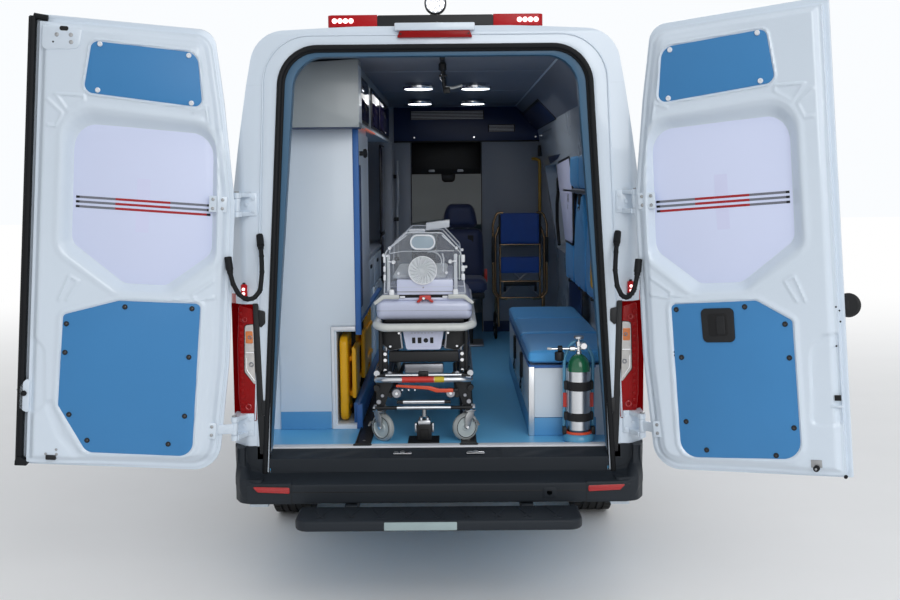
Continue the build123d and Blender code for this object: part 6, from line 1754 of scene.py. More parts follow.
ports += [
    tube("ovalRim", [(a, -2.78, b) for a, b in rounded(oval, 10)], 0.0045, "studWhite", 0, closed=True, resolution=4),
    plate("ovalPane", grown(oval, -0.004), "XZ", -2.78, -2.775, "portGlass", 0.001, 8)]
centre = (middle - 0.002, -2.798, 1.519)
ports.append(turned("irisRim", [(0.063, 0.024), (0.068, 0.024), (0.07, 0.0), (0.069, -0.006), (0.065, -0.006),
                                (0.063, 0.0)], "Y", centre,
                    "studWhite", 48, ring=True))
deselect()
bpy.ops.mesh.primitive_circle_add(vertices=96, radius=0.065, fill_type="TRIFAN", location=centre,
                                  rotation=(math.pi / 2, 0, 0))
iris = bpy.context.object
bpy.ops.object.transform_apply(location=True, rotation=True, scale=True)
editing(iris)
bpy.ops.mesh.select_all(action="SELECT")
bpy.ops.mesh.subdivide(number_cuts=5)
bpy.ops.object.mode_set(mode="OBJECT")
spots = getPoints(iris)
reachX, reachZ = spots[:, 0] - centre[0], spots[:, 2] - centre[2]
reach = np.hypot(reachX, reachZ)
twist = np.arctan2(reachZ, reachX) + reach * 9
spots[:, 1] = centre[1] - 0.002 - 0.004 * np.sin(twist * 18) * ease(reach, 0.004, 0.03) + 0.01 * (1 - reach / 0.065)
setPoints(iris, spots)
useModifier(iris, "SOLIDIFY", thickness=0.0012, offset=0)
ports.append(coat(outward(iris), "irisCloth"))
arc = [(middle + 0.041 + 0.048 * math.cos(turn), -2.74, 1.557 + 0.048 * math.sin(turn)) for turn in np.linspace(-0.5, 2.0,
        12)]
ports += [
    tube("hoodArc", arc, 0.0035, "clearEdge", 0),
    tube("hoodTube", [(middle + 0.093, -2.745, 1.597), (middle + 0.1, -2.745, 1.57), (middle + 0.096, -2.745, 1.5)],
         0.004, "clearEdge", 0.03),
    plate("mattress", box4(middle - 0.15, middle + 0.115, -2.72, -1.98, 0.03), "XY", 1.4735, 1.494, "irisCloth", 0.008)]
tray = [(0.013, 1.704, 0.004), (0.128, 1.72, 0.004), (0.13, 1.754, 0.004), (0.013, 1.74, 0.004)]
ports += [
    plate("topTray", [(middle + a, b, r) for a, b, r in tray], "XZ", -2.66, -2.48, "clearEdge", 0.003),
    bar("topLid", (middle - 0.07, middle + 0.01), (-2.7, -2.45), (1.6985, 1.712), "clearEdge", 0.004)]
settle(joined("incubatorPorts", *ports), "van", smooth=40)

# Oxygen cylinder strapped to a blue trolley
oxygen = {"x": 0.666, "y": -2.918, "foot": 0.752, "radius": 0.0535}
x, y, r = oxygen["x"], oxygen["y"], oxygen["radius"]
parts = []
rows = [(0, 0.752), (r - 0.012, 0.752), (r, 0.764), (r, 1.0505), (r - 0.0005, 1.058)]
rows += [(r * math.cos(turn), 1.058 + 0.066 * math.sin(turn)) for turn in np.linspace(0.1, 1.35, 9)]
rows += [(0.012, 1.124), (0, 1.124)]
parts.append(turned("cylinder", rows, "Z", (x, y, 0), "aluminium", 40))
rows = [(r + 0.0008, 1.0435), (r + 0.0008, 1.058)]
rows += [((r + 0.0008) * math.cos(turn), 1.058 + 0.067 * math.sin(turn)) for turn in np.linspace(0.1, 1.3, 9)]
rows += [(0.013, 1.126), (0, 1.126)]
rows = [(0, 1.043)] + rows
parts.append(turned("dome", rows, "Z", (x, y, 0), "cylinderGreen", 40))
for low, high in ((0.952, 0.996), (0.806, 0.846)):
    parts += [
        turned("strap", [(r, low), (r + 0.005, low + 0.002), (r + 0.005, high - 0.002), (r, high)], "Z", (x, y, 0),
               "strapBlack",
            40, ring=True),
        bar("strapEnd", (x - r - 0.016, x - r + 0.01), (y - 0.014, y + 0.02), (low + 0.002, high - 0.002), "strapBlack",
            0.004),
        bar("strapEnd", (x + r - 0.01, x + r + 0.016), (y - 0.014, y + 0.02), (low + 0.002, high - 0.002), "strapBlack",
            0.004)]
rows = [(0, 0.706), (0.066, 0.706), (0.074, 0.712), (0.074, 0.73), (0.066, 0.742), (0.05, 0.747), (0, 0.747)]
parts += [
    turned("trolleyBase", rows, "Z", (x, y, 0), "trolleyBlue", 44),
    turned("baseRing", [(0.058, 0.744), (0.063, 0.745), (0.062, 0.755), (0.055, 0.756)], "Z", (x, y, 0), "leverRed", 44,
           ring=True)]
for side in (-1, 1):
    parts.append(bar("baseEar", (x + side * 0.058, x + side * 0.078), (y - 0.02, y + 0.02), (0.738, 0.775),
                     "blackPlastic", 0.004))
frameLoop = [(x - 0.066, y + 0.03, 0.745), (x - 0.066, y + 0.03, 1.105), (x - 0.03, y + 0.034, 1.18),
             (x + 0.03, y + 0.034, 1.18),
             (x + 0.07, y + 0.03, 1.105), (x + 0.07, y + 0.03, 0.745)]
parts.append(tube("trolleyTube", frameLoop, 0.0085, "trolleyBlue", 0.06, resolution=4))
for side in (-1, 1):
    parts.append(bar("label", (x + side * 0.064 - 0.009, x + side * 0.064 + 0.009), (y + 0.016, y + 0.0195),
                     (0.865, 0.935), "labelRed", 0.001, 1))
parts += [
    turned("valve", [(0, 1.12), (0.013, 1.12), (0.014, 1.136), (0.01, 1.14), (0.01, 1.16), (0.014, 1.164), (0.014, 1.184),
                     (0, 1.186)],
        "Z", (x, y, 0), "chrome", 20),
    turned("valveKnob", [(0, 1.196), (0.02, 1.196), (0.024, 1.2), (0.024, 1.208), (0.02, 1.212), (0, 1.213)], "Z",
           (x, y, 0),
        "aluminium", 16),
    turned("valveStem", [(0, 1.184), (0.005, 1.184), (0.005, 1.197), (0, 1.197)], "Z", (x, y, 0), "chrome", 12),
    tube("valveArm", [(x + 0.03, y, 1.15), (x - 0.135, y - 0.004, 1.15)], 0.0055, "chrome", 0)]
for dx, size, wide, shade in ((-0.045, 0.013, 0.028, "chrome"), (-0.1, 0.016, 0.022, "blackPlastic")):
    parts.append(disc("regulator", "X", (x + dx, y - 0.002, 1.15), size, wide, shade, 0.003, 24))
parts += [
    turned("regulatorKnob", [(0, 0), (0.019, 0), (0.022, -0.004), (0.022, -0.036), (0.018, -0.042), (0, -0.043)], "Z",
        (x - 0.093, y - 0.004, 1.136), "blackPlastic", 12),
    turned("gauge", [(0, 0), (0.016, 0), (0.017, -0.008), (0.014, -0.012), (0, -0.012)], "Y",
           (x + 0.022, y - 0.01, 1.164),
        "chrome", 24),
    tube("oxygenHose", [(x - 0.13, y - 0.004, 1.15), (x - 0.15, y - 0.004, 1.152)], 0.006, "creamTube", 0)]
settle(joined("oxygenCylinder", *parts), "van", "oxygen_cylinder", smooth=40)
print("stretcher, incubator and oxygen built")

# Outside of the body: pieces laid on the curved panels
outside = {
    "nose": 3.729, "frontAxle": 2.721, "rearAxle": -1.604, "tyre": 0.356, "arch": 0.43, "mould": (0.6, 0.735)
}
faces = {
    "left": (lambda a, b: (-1.6, a, b), Vector((-1, 0, 0))),
    "right": (lambda a, b: (1.6, a, b), Vector((1, 0, 0))),
    "front": (lambda a, b: (a, 4.4, b), Vector((0, 1, 0))),
    "roof": (lambda a, b: (a, b, 3.4), Vector((0, 0, 1))),
}


def onBody(a, b, face, nodes):
    # the outermost point of the named nodes on a line of sight across the face
    origin, out = Vector(faces[face][0](a, b)), faces[face][1]
    best = None
    for name in nodes:
        found, place, normal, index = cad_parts[name].ray_cast(origin, -out)
        if found and (best is None or (place - best).dot(out) > 0):
            best = place
    return best


def clad(name, rows, face, nodes, thick, paintName, edge=0.002, step=0.14, steps=4, sink=0.003):
    # a plate that follows the panel under it
    corners = rounded(rows, steps)
    line = []
    for start, end in zip(corners, corners[1:] + corners[:1]):
        count = max(1, int((end - start).length / step))
        line += [start.lerp(end, index / count) for index in range(count)]
    spots = [onBody(a, b, face, nodes) for a, b in line]
    line = [(spot, index) for index, spot in enumerate(spots) if spot is not None]
    out = faces[face][1]
    deselect()
    bpy.ops.mesh.primitive_circle_add(vertices=len(line), radius=1, fill_type="NGON")
    piece = bpy.context.object
    piece.name = name
    setPoints(piece, [spot - out * sink for spot, index in line])
    editing(piece)
    bpy.ops.mesh.select_all(action="SELECT")
    bpy.ops.mesh.extrude_region_move(TRANSFORM_OT_translate={"value": out * (thick + sink)})
    bpy.ops.mesh.select_all(action="SELECT")
    bpy.ops.mesh.normals_make_consistent(inside=False)
    bpy.ops.object.mode_set(mode="OBJECT")
    return coat(bevelled(piece, edge, 2, 50), paintName)


def lineOn(name, points, face, nodes, radius, paintName, lift=0.0, closed=False, step=0.1):
    path = []
    ends = points[1:] + (points[:1] if closed else [])
    for start, end in zip(points, ends):
        start, end = Vector(start), Vector(end)
        count = max(1, int((end - start).length / step))
        path += [start.lerp(end, index / count) for index in range(count)]
    if not closed:
        path.append(Vector(points[-1]))
    spots = [onBody(a, b, face, nodes) for a, b in path]
    spots = [spot + faces[face][1] * lift for spot in spots if spot is not None]
    return tube(name, spots, radius, paintName, 0, closed, 2)


def arcRows(centreY, radius, start, end, count, z=None):
    turns = [math.radians(start + (end - start) * index / count) for index in range(count + 1)]
    z = outside["tyre"] if z is None else z
    return [(centreY + radius * math.cos(turn), z + radius * math.sin(turn)) for turn in turns]


finish("sideGlass", (0.3, 0.32, 0.42), 0.18, tone=0.05, broad=2, grain=400, bump=0.02, coat=0.4)
finish("cabGlass", (0.035, 0.045, 0.05), 0.05, tone=0.1, broad=2, grain=400, bump=0.01, coat=0.5, alpha=0.72)
finish("screenGlass", (0.17, 0.26, 0.28), 0.05, tone=0.05, broad=2, grain=400, bump=0.01, coat=0.5, alpha=0.78)
finish("mirrorGlass", (0.62, 0.66, 0.7), 0.03, metallic=1.0, tone=0.04, broad=2, grain=400, bump=0.0)
finish("chassisBlack", (0.022, 0.022, 0.024), 0.6, tone=0.35, broad=8, grain=400, bump=0.5, depth=0.0008)
finish("castGrey", (0.16, 0.16, 0.165), 0.55, metallic=0.8, tone=0.3, broad=18, grain=260, bump=0.7, depth=0.0008)
finish("exhaustSteel", (0.3, 0.25, 0.21), 0.42, metallic=1.0, tone=0.4, broad=9, grain=260, bump=0.3)
finish("rimSilver", (0.52, 0.54, 0.57), 0.32, metallic=0.9, tone=0.1, broad=6, grain=500, bump=0.15, coat=0.3)
finish("tyreRubber", (0.016, 0.016, 0.017), 0.78, tone=0.35, broad=14, grain=500, bump=0.7, depth=0.0006)
finish("dashPlastic", (0.04, 0.043, 0.048), 0.6, tone=0.15, broad=6, grain=1300, bump=0.6, depth=0.0005)
finish("lensClear", (0.5, 0.54, 0.58), 0.06, tone=0.12, broad=8, grain=220, bump=0.1, coat=0.7)
finish("lampChrome", (0.72, 0.73, 0.75), 0.12, metallic=1.0, tone=0.1, broad=20, grain=400, bump=0.1)

# red bands along the flanks: one wide, one thin, rising at the rear, from the panels' own coordinates
for name in ("flankPaint", "wingPaint"):
    paint = Paint(name + "Banded")
    rise = paint.ramp(paint.y, -1.9, -3.1) * 0.18
    level = paint.z - rise
    outer = abs(paint.x) > 0.925
    bands = (paint.between(level, 1.165, 1.262) + paint.between(level, 1.118, 1.14)) * outer * (paint.y > -3.085)
    broad, fine = paint.noise(1.5, 5.0), paint.noise(900, 3.0)
    white = paint.mix(broad * 0.7 + fine * 0.3, tuple(part * 0.95 for part in whiteColour),
                      tuple(part * 1.03 for part in whiteColour))
    paint.give(colour=paint.mix(bands, white, (0.42, 0.01, 0.016)), roughness=0.28 + (broad - 0.5) * 0.05, coat=0.6)
    paint.bumps(fine, 0.05, 0.0004)
    paints[name] = paint.material

for name, paintName in {
    "side_wall_left": "flankPaint", "side_wall_right": "flankPaint", "sliding_door": "flankPaint",
    "cab_door_left": "wingPaint",
    "cab_door_right": "wingPaint", "front_wings": "bodyWhite", "bonnet": "bodyWhite", "cab_shell": "bodyWhite",
    "roof_panel": "bodyWhite",
    "side_windows": "sideGlass", "cab_window_left": "cabGlass", "cab_window_right": "cabGlass",
    "windscreen": "screenGlass",
    "mirror_left": "blackPlastic", "mirror_right": "blackPlastic", "grille": "blackPlastic", "headlamps": "lensClear",
    "front_bumper": "bumperPlastic", "chassis_frame": "chassisBlack", "drive_line": "castGrey",
    "engine_block": "castGrey",
    "exhaust": "exhaustSteel", "fuel_tank": "blackPlastic", "rear_axle": "chassisBlack", "knuckle_left": "castGrey",
    "knuckle_right": "castGrey", "dashboard": "dashPlastic", "steering_wheel": "blackPlastic",
    "partition_wall": "partitionGrey",
    "rim_front_left": "rimSilver", "rim_front_right": "rimSilver", "rim_rear_left": "rimSilver",
    "rim_rear_right": "rimSilver",
}.items():
    coat(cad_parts[name], paintName)

# Flanks: mouldings, arch lips, window seals, marker lamps, rail, handles, filler flap
low, high = outside["mould"]
arch, axle = outside["arch"], outside["rearAxle"]
wallEnd, slideStart, slideEnd = 1.29, -0.239, 1.037
for face, side, wallNode in (("left", -1, "side_wall_left"), ("right", 1, "side_wall_right")):
    parts = []
    runs = [(-2.78, axle - arch - 0.015), (axle + arch + 0.015, wallEnd if side < 0 else slideStart - 0.012)]
    if side > 0:
        runs += [
            (slideStart + 0.01, slideEnd - 0.01),
            (slideEnd + 0.012, wallEnd)]
    for start, end in runs:
        nodes = [wallNode, "cab_shell"] + (["sliding_door"] if side > 0 else [])
        rows = box4(start, end, low, high, 0.02)
        parts.append(clad("moulding", rows, face, nodes, 0.01, "bumperPlastic", 0.004))
        rows = box4(start + 0.02, end - 0.02, high - 0.038, high - 0.03)
        parts.append(clad("mouldingRib", rows, face, nodes, 0.0125, "blackPlastic", 0.001))
    arcs = arcRows(axle, arch + 0.022, 18, 162, 18)
    parts.append(lineOn("archLip", arcs, face, [wallNode], 0.01, "bumperPlastic", 0.0, step=0.06))
    nodes = [wallNode] + (["sliding_door"] if side > 0 else [])
    start, end = -0.101, 0.899
    outline = [tuple(spot) for spot in rounded(box4(start, end, 1.4, 2.05, 0.07), 5)]
    parts.append(lineOn("windowSeal", outline, face, nodes + ["side_windows"], 0.008, "blackRubber", 0.0, True))
    for z in (1.6, 1.76, 1.92):
        rows = box4(start + 0.05, end - 0.05, z - 0.018, z + 0.018)
        parts.append(clad("windowBand", rows, face, ["side_windows"], 0.0012, "frostedBar", 0.0, sink=0.0008))
    for y in (-2.86, -2.1, -1.0, 0.1, 1.1):
        rows = box4(y - 0.085, y + 0.085, 2.395, 2.47, 0.012)
        nodes = [wallNode, "roof_panel"]
        parts += [
            clad("markerBase", grown(rows, 0.008), face, nodes, 0.012, "blackPlastic", 0.003),
            clad("markerLamp", rows, face, nodes, 0.026, "barRed", 0.008)]
        for dy in (-0.05, -0.017, 0.017, 0.05):
            place = onBody(y + dy, 2.432, face, nodes) + Vector((side * 0.0265, 0, 0))
            parts.append(disc("markerSpot", "X", place, 0.009, side * 0.0015, "redGlow", 0.0005, 10))
    for y in (-2.7, -0.62, 1.15):
        rows = box4(y - 0.03, y + 0.03, 0.8, 0.822, 0.008)
        parts.append(clad("sideReflector", rows, face, [wallNode, "cab_shell", "sliding_door"][: 3 if side > 0 else 2],
                          0.006, "lampAmber", 0.002))
    # pressed lines of the panels
    for z in (1.05, 2.205):
        for start, end in ((-3.02, -0.26), (-0.235, 1.03)):
            nodes = [wallNode] + (["sliding_door"] if side > 0 else [])
            parts.append(lineOn("pressing", [(start, z), (end, z)], face, nodes, 0.006, "bodyWhite", -0.003))
    rows = box4(-2.75, -1.45, 1.4, 2.05, 0.07)
    outline = [tuple(spot) for spot in rounded(rows, 5)]
    parts.append(lineOn("blindPanel", outline, face, [wallNode], 0.006, "bodyWhite", -0.003, True))
    rows = box4(-1.3, -0.4, 1.4, 2.05, 0.07)
    outline = [tuple(spot) for spot in rounded(rows, 5)]
    parts.append(lineOn("blindPanel", outline, face, [wallNode], 0.006, "bodyWhite", -0.003, True))
    if side < 0:
        outline = [tuple(spot) for spot in rounded([(slideStart, 0.49, 0.06), (slideEnd, 0.49, 0.06),
                                                    (slideEnd, 2.3, 0.08), (slideStart, 2.3, 0.08)], 5)]
        parts.append(lineOn("panelJoint", outline, face, [wallNode], 0.0022, "shadowBlack", -0.0008, True))
        rows = box4(-0.66, -0.48, 0.86, 1.03, 0.02)
        parts += [
            clad("fillerFlap", rows, face, [wallNode], 0.002, "bodyWhite", 0.0015),
            lineOn("flapJoint", [tuple(spot) for spot in rounded(grown(rows, 0.003), 4)], face, [wallNode], 0.0018,
                   "shadowBlack", 0.0, True)]
    else:
        rows = box4(-2.3, -0.262, 1.292, 1.322, 0.004)
        parts += [
            clad("slideRail", rows, face, [wallNode], 0.004, "blackPlastic", 0.001),
            lineOn("railChrome", [(-2.28, 1.307), (-0.28, 1.307)], face, [wallNode], 0.004, "zinc", 0.003)]
        rows = box4(-0.215, -0.045, 0.985, 1.045, 0.02)
        parts.append(clad("slideHandleCup", rows, face, ["sliding_door"], 0.003, "blackPlastic", 0.002))
        rows = box4(-0.205, -0.065, 1.006, 1.034, 0.012)
        parts.append(clad("slideHandle", rows, face, ["sliding_door"], 0.028, "bodyWhite", 0.006))
    settle(joined("flank" + face.capitalize(), *parts), "van", smooth=45)

    # cab door: seal, handle, lock, moulding, belt strip; rides its own door
    doorBody, doorNode, paneNode = "cab_door_" + face, "cab_door_" + face, "cab_window_" + face
    nose = outside["nose"]
    pane = [(nose - 1.43, 1.47, 0.04), (nose - 1.88, 2.03, 0.06), (nose - 2.27, 2.03, 0.06), (nose - 2.27, 1.44, 0.04)]
    outline = [tuple(spot) for spot in rounded(pane, 5)]
    parts = [lineOn("paneSeal", outline, face, [doorNode, paneNode], 0.007, "blackRubber", 0.0, True)]
    rows = box4(1.455, 1.625, 0.985, 1.045, 0.02)
    rows = [(a, b + 0.06, r) for a, b, r in rows]
    parts.append(clad("doorCup", rows, face, [doorNode], 0.003, "blackPlastic", 0.002))
    rows = box4(1.468, 1.61, 1.066, 1.094, 0.012)
    parts.append(clad("doorHandle", rows, face, [doorNode], 0.026, "bodyWhite", 0.006))
    place = onBody(1.428, 1.08, face, [doorNode])
    parts.append(disc("lockDisc", "X", place, 0.012, side * 0.004, "zinc", 0.001, 20))
    rows = [(1.42, low, 0.02), (2.235, low, 0.02), (2.32, high, 0.04), (1.42, high, 0.02)]
    parts.append(clad("doorMoulding", rows, face, [doorNode], 0.01, "bumperPlastic", 0.004))
    rows = box4(1.4, 2.33, 1.418, 1.432)
    parts += [
        clad("beltStrip", rows, face, [doorNode, paneNode], 0.005, "blackRubber", 0.002),
        lineOn("doorPressing", [(1.41, 1.05), (2.2, 1.05)], face, [doorNode], 0.006, "bodyWhite", -0.003)]
    # mirror: glass in two parts and a painted cap on the CAD housing
    box = [(side * 1.1, 1.445, 0.02), (side * 1.255, 1.445, 0.03), (side * 1.255, 1.785, 0.04), (side * 1.1, 1.785, 0.04)]
    cap = plate("mirrorCap", grown(box, 0.004), "XZ", 2.25, 2.2725, "bodyWhite", 0.006, 5, 3)
    parts.append(cap)
    main = [(side * 1.105, 1.545, 0.015), (side * 1.25, 1.545, 0.015), (side * 1.25, 1.78, 0.03),
            (side * 1.105, 1.78, 0.03)]
    wide = [(side * 1.105, 1.45, 0.02), (side * 1.25, 1.45, 0.02), (side * 1.25, 1.535, 0.012),
            (side * 1.105, 1.535, 0.012)]
    for rows in (main, wide):
        parts.append(plate("mirrorPane", rows, "XZ", 2.1825, 2.1865, "mirrorGlass", 0.001))
    parts.append(plate("mirrorBlinker", [(side * 1.225, 1.56, 0.004), (side * 1.262, 1.56, 0.01),
                                         (side * 1.262, 1.64, 0.01), (side * 1.225, 1.64, 0.004)],
                       "XZ", 2.2725, 2.2765, "lampAmber", 0.002))
    settle(joined("cabDoorTrim" + face.capitalize(), *parts), doorBody, smooth=45)
print("flanks built")

# Nose: headlamps, grille, bumper, cowl, wipers and screen edge
parts = []
for side in (-1, 1):
    nodes = ["headlamps", "front_wings", "grille"]
    lens = [(side * 0.49, 0.715, 0.03), (side * 0.83, 0.76, 0.05), (side * 0.835, 0.975, 0.05),
            (side * 0.78, 1.006, 0.03), (side * 0.52, 0.96, 0.04)]
    parts.append(clad("lampBowl", lens, "front", nodes, 0.004, "shadowBlack", 0.002, 0.03))
    for x, z, size in ((0.58, 0.85, 0.058), (0.71, 0.87, 0.062)):
        place = onBody(side * x, z, "front", nodes)
        rows = [(0, 0.004), (size * 0.45, 0.01), (size * 0.8, 0.012), (size, 0.02), (size * 1.06, 0.016),
                (size * 1.02, -0.02), (0, -0.02)]
        rows = [(radius, height - 0.006) for radius, height in rows]
        parts += [
            turned("projector", rows, "Y", place, "lampChrome", 30),
            turned("bulbLens", [(0, 0.022), (size * 0.3, 0.018), (size * 0.44, 0.008), (size * 0.44, 0.0), (0, 0.0)], "Y",
                   place, "lensClear", 24)]
    dayLine = [(side * 0.51, 0.742), (side * 0.64, 0.752), (side * 0.78, 0.782), (side * 0.812, 0.83),
               (side * 0.818, 0.93)]
    parts.append(lineOn("dayLamp", dayLine, "front", nodes, 0.008, "lampWhite", 0.006, step=0.03))
    blink = [(side * 0.775, 0.925, 0.01), (side * 0.822, 0.935, 0.01), (side * 0.82, 0.97, 0.01),
             (side * 0.78, 0.985, 0.01)]
    parts.append(clad("frontBlinker", blink, "front", nodes, 0.01, "lampAmber", 0.003, 0.03))
for z in (0.722, 0.8, 0.872, 0.945, 0.995):
    rows = box4(-0.44, 0.44, z - 0.01, z + 0.01, 0.004)
    parts.append(clad("grilleSlat", rows, "front", ["grille", "front_wings", "bonnet"], 0.008,
                      "greySteel" if z > 0.75 else "blackPlastic", 0.003, 0.08))
for x in np.linspace(-0.4, 0.4, 17):
    rows = box4(x - 0.003, x + 0.003, 0.73, 0.985)
    parts.append(clad("grilleBar", rows, "front", ["grille"], 0.002, "blackPlastic", 0.0, 0.3))
for side in (-1, 1):
    place = onBody(side * 0.64, 0.5, "front", ["front_bumper"])
    parts += [
        turned("fogRim", [(0.05, -0.02), (0.062, -0.02), (0.064, 0.004), (0.056, 0.008), (0.05, 0.002)], "Y", place,
               "blackPlastic", 30, ring=True),
        turned("fogLens", [(0, 0.004), (0.03, 0.003), (0.05, -0.003), (0.05, -0.02), (0, -0.02)], "Y", place, "lensClear",
               30)]
    rows = [(side * 0.4, 0.385, 0.02), (side * 0.8, 0.4, 0.02), (side * 0.82, 0.58, 0.03), (side * 0.4, 0.6, 0.02)]
    parts.append(clad("bumperCheek", rows, "front", ["front_bumper"], 0.004, "blackPlastic", 0.003, 0.05))
    rows = box4(side * 0.18, side * 0.23, 0.56, 0.61, 0.01)
    parts.append(clad("towCover", rows, "front", ["front_bumper"], 0.003, "blackPlastic", 0.001, 0.05))
for z in (0.448, 0.48, 0.512):
    parts.append(bar("airBar", (-0.345, 0.345), (3.56, 3.64), (z - 0.006, z + 0.006), "blackPlastic", 0.003))
for x in np.linspace(-0.3, 0.3, 9):
    parts.append(bar("airRib", (x - 0.004, x + 0.004), (3.565, 3.635), (0.434, 0.527), "blackPlastic", 0.002, 1))
rows = box4(-0.265, 0.265, 0.6, 0.672, 0.006)
parts.append(clad("frontPlate", rows, "front", ["front_bumper", "grille"], 0.002, "plateGrey", 0.001, 0.6))
settle(joined("noseTrim", *parts), "van", smooth=45)

parts = []
screen = [(-0.82, 1.445, 0.06), (0.82, 1.445, 0.06), (0.7, 2.075, 0.09), (-0.7, 2.075, 0.09)]
outline = [tuple(spot) for spot in rounded(screen, 6)]
parts.append(lineOn("screenSeal", outline, "front", ["windscreen", "cab_shell", "roof_panel"], 0.009, "blackRubber", 0.0,
                    True, 0.06))
for rows in ([(-0.79, 1.452, 0.03), (0.79, 1.452, 0.03), (0.775, 1.52, 0.0), (-0.775, 1.52, 0.0)],
             [(-0.7, 2.02, 0.0), (0.7, 2.02, 0.0), (0.68, 2.066, 0.05), (-0.68, 2.066, 0.05)]):
    parts.append(clad("screenBand", rows, "front", ["windscreen"], 0.0012, "shadowBlack", 0.0, 0.08, 4, 0.0006))
for pivot, tip in (((-0.62, 1.44), (0.02, 1.56)), ((0.1, 1.44), (0.74, 1.555))):
    arm = lineOn("wiperArm", [pivot, tip], "front", ["windscreen", "cab_shell"], 0.007, "blackPlastic", 0.018, step=0.05)
    blade = lineOn("wiperBlade", [(tip[0] - 0.36, tip[1] - 0.035), (tip[0] + 0.02, tip[1] + 0.015)], "front",
                   ["windscreen", "cab_shell"],
                   0.006, "blackRubber", 0.006, step=0.05)
    place = onBody(pivot[0], pivot[1], "front", ["windscreen", "cab_shell"])
    parts += [arm, blade, turned("wiperPivot", [(0, 0.028), (0.014, 0.026), (0.018, 0.01), (0.018, -0.01), (0, -0.01)],
                                 "Y", place, "blackPlastic", 20)]
for index in range(24):
    x = -0.8 + 1.6 * index / 23
    place = onBody(x, 2.8, "roof", ["cab_shell"])
    if place is not None:
        parts.append(bar("cowlSlat", (x - 0.022, x + 0.022), (2.78, 2.855), (place.z - 0.002, place.z + 0.004),
                         "blackPlastic", 0.002, 1))
settle(joined("screenTrim", *parts), "van", smooth=45)

parts = []
for side in (-1, 1):
    line = [(side * 0.48, 2.96), (side * 0.47, 3.2), (side * 0.4, 3.47)]
    parts += [
        lineOn("bonnetCrease", line, "roof", ["bonnet"], 0.006, "bodyWhite", -0.003),
        lineOn("bonnetCrease", [(side * 0.25, 2.95), (side * 0.235, 3.3), (side * 0.2, 3.48)], "roof", ["bonnet"], 0.005,
               "bodyWhite", -0.0025),
        clad("washJet", [(side * 0.33 - 0.015, 2.93, 0.004), (side * 0.33 + 0.015, 2.93, 0.004),
                         (side * 0.33 + 0.01, 2.962, 0.006),
            (side * 0.33 - 0.01, 2.962, 0.006)], "roof", ["bonnet"], 0.007, "blackPlastic", 0.002)]
settle(joined("bonnetTrim", *parts), "bonnet", smooth=60)

# Roof: pressed ribs, a hatch with its lid and an aerial
parts = []
for x in (-0.52, -0.26, 0.26, 0.52):
    for start, end in ((-2.7, -1.25), (-0.95, 0.6)):
        rows = box4(x - 0.03, x + 0.03, start, end, 0.028)
        parts.append(clad("roofRib", rows, "roof", ["roof_panel"], 0.006, "bodyWhite", 0.004, 0.3, 5))
rows = box4(-0.2, 0.2, -1.02, -0.62, 0.04)
parts += [
    clad("hatchBase", grown(rows, 0.025), "roof", ["roof_panel"], 0.018, "blackPlastic", 0.006, 0.1, 5),
    clad("hatchLid", rows, "roof", ["roof_panel"], 0.055, "bodyWhite", 0.016, 0.1, 5),
    clad("aerialFoot", [(-0.03, 1.2, 0.028), (0.03, 1.2, 0.028), (0.022, 1.32, 0.02), (-0.022, 1.32, 0.02)], "roof",
         ["roof_panel"], 0.03,
        "blackPlastic", 0.01, 0.05, 5)]
settle(joined("roofTrim", *parts), "van", smooth=45)

# Cab inside: instrument hood, air vents, screen without a picture, glove box, pedals
parts = [plate("instrumentHood", [(2.02, 1.31, 0.02), (2.02, 1.4, 0.05), (2.12, 1.425, 0.04), (2.3, 1.36, 0.03),
                                  (2.34, 1.3, 0.0)], "YZ",
               -0.6, -0.2, "dashPlastic", 0.02, 5, 3)]
for x in (-0.74, -0.08, 0.1, 0.74):
    parts.append(bar("ventFrame", (x - 0.055, x + 0.055), (1.985, 2.03), (1.215, 1.275), "blackPlastic", 0.01, 3))
    for z in (1.23, 1.245, 1.26):
        parts.append(bar("ventVane", (x - 0.046, x + 0.046), (1.981, 1.99), (z - 0.002, z + 0.002), "greySteel", 0.001,
                         1))
parts += [
    bar("dashScreen", (-0.085, 0.105), (1.965, 2.02), (1.1, 1.195), "darkGlass", 0.006),
    plate("gloveBox", box4(0.24, 0.66, 1.0, 1.16, 0.03), "XZ", 1.948, 1.99, "dashPlastic", 0.006),
    bar("gloveCatch", (0.42, 0.48), (1.94, 1.952), (1.135, 1.15), "blackPlastic", 0.003)]
for x in (-0.55, -0.44, -0.32):
    parts += [
        bar("pedalPad", (x - 0.03, x + 0.03), (2.1, 2.12), (0.935, 0.985), "blackRubber", 0.005),
        tube("pedalArm", [(x, 2.12, 0.96), (x, 2.2, 1.02), (x, 2.22, 1.12)], 0.007, "greySteel", 0.03)]
parts += [
    tube("gearLever", [(-0.02, 1.975, 1.02), (-0.02, 1.9, 1.08)], 0.01, "blackPlastic", 0),
    turned("gearKnob", [(0, -0.024), (0.016, -0.022), (0.024, -0.006), (0.024, 0.01), (0.014, 0.024), (0, 0.026)], "Z",
           (-0.02, 1.89, 1.1),
        "blackPlastic", 20)]
settle(joined("cabFittings", *parts), "van", smooth=45)

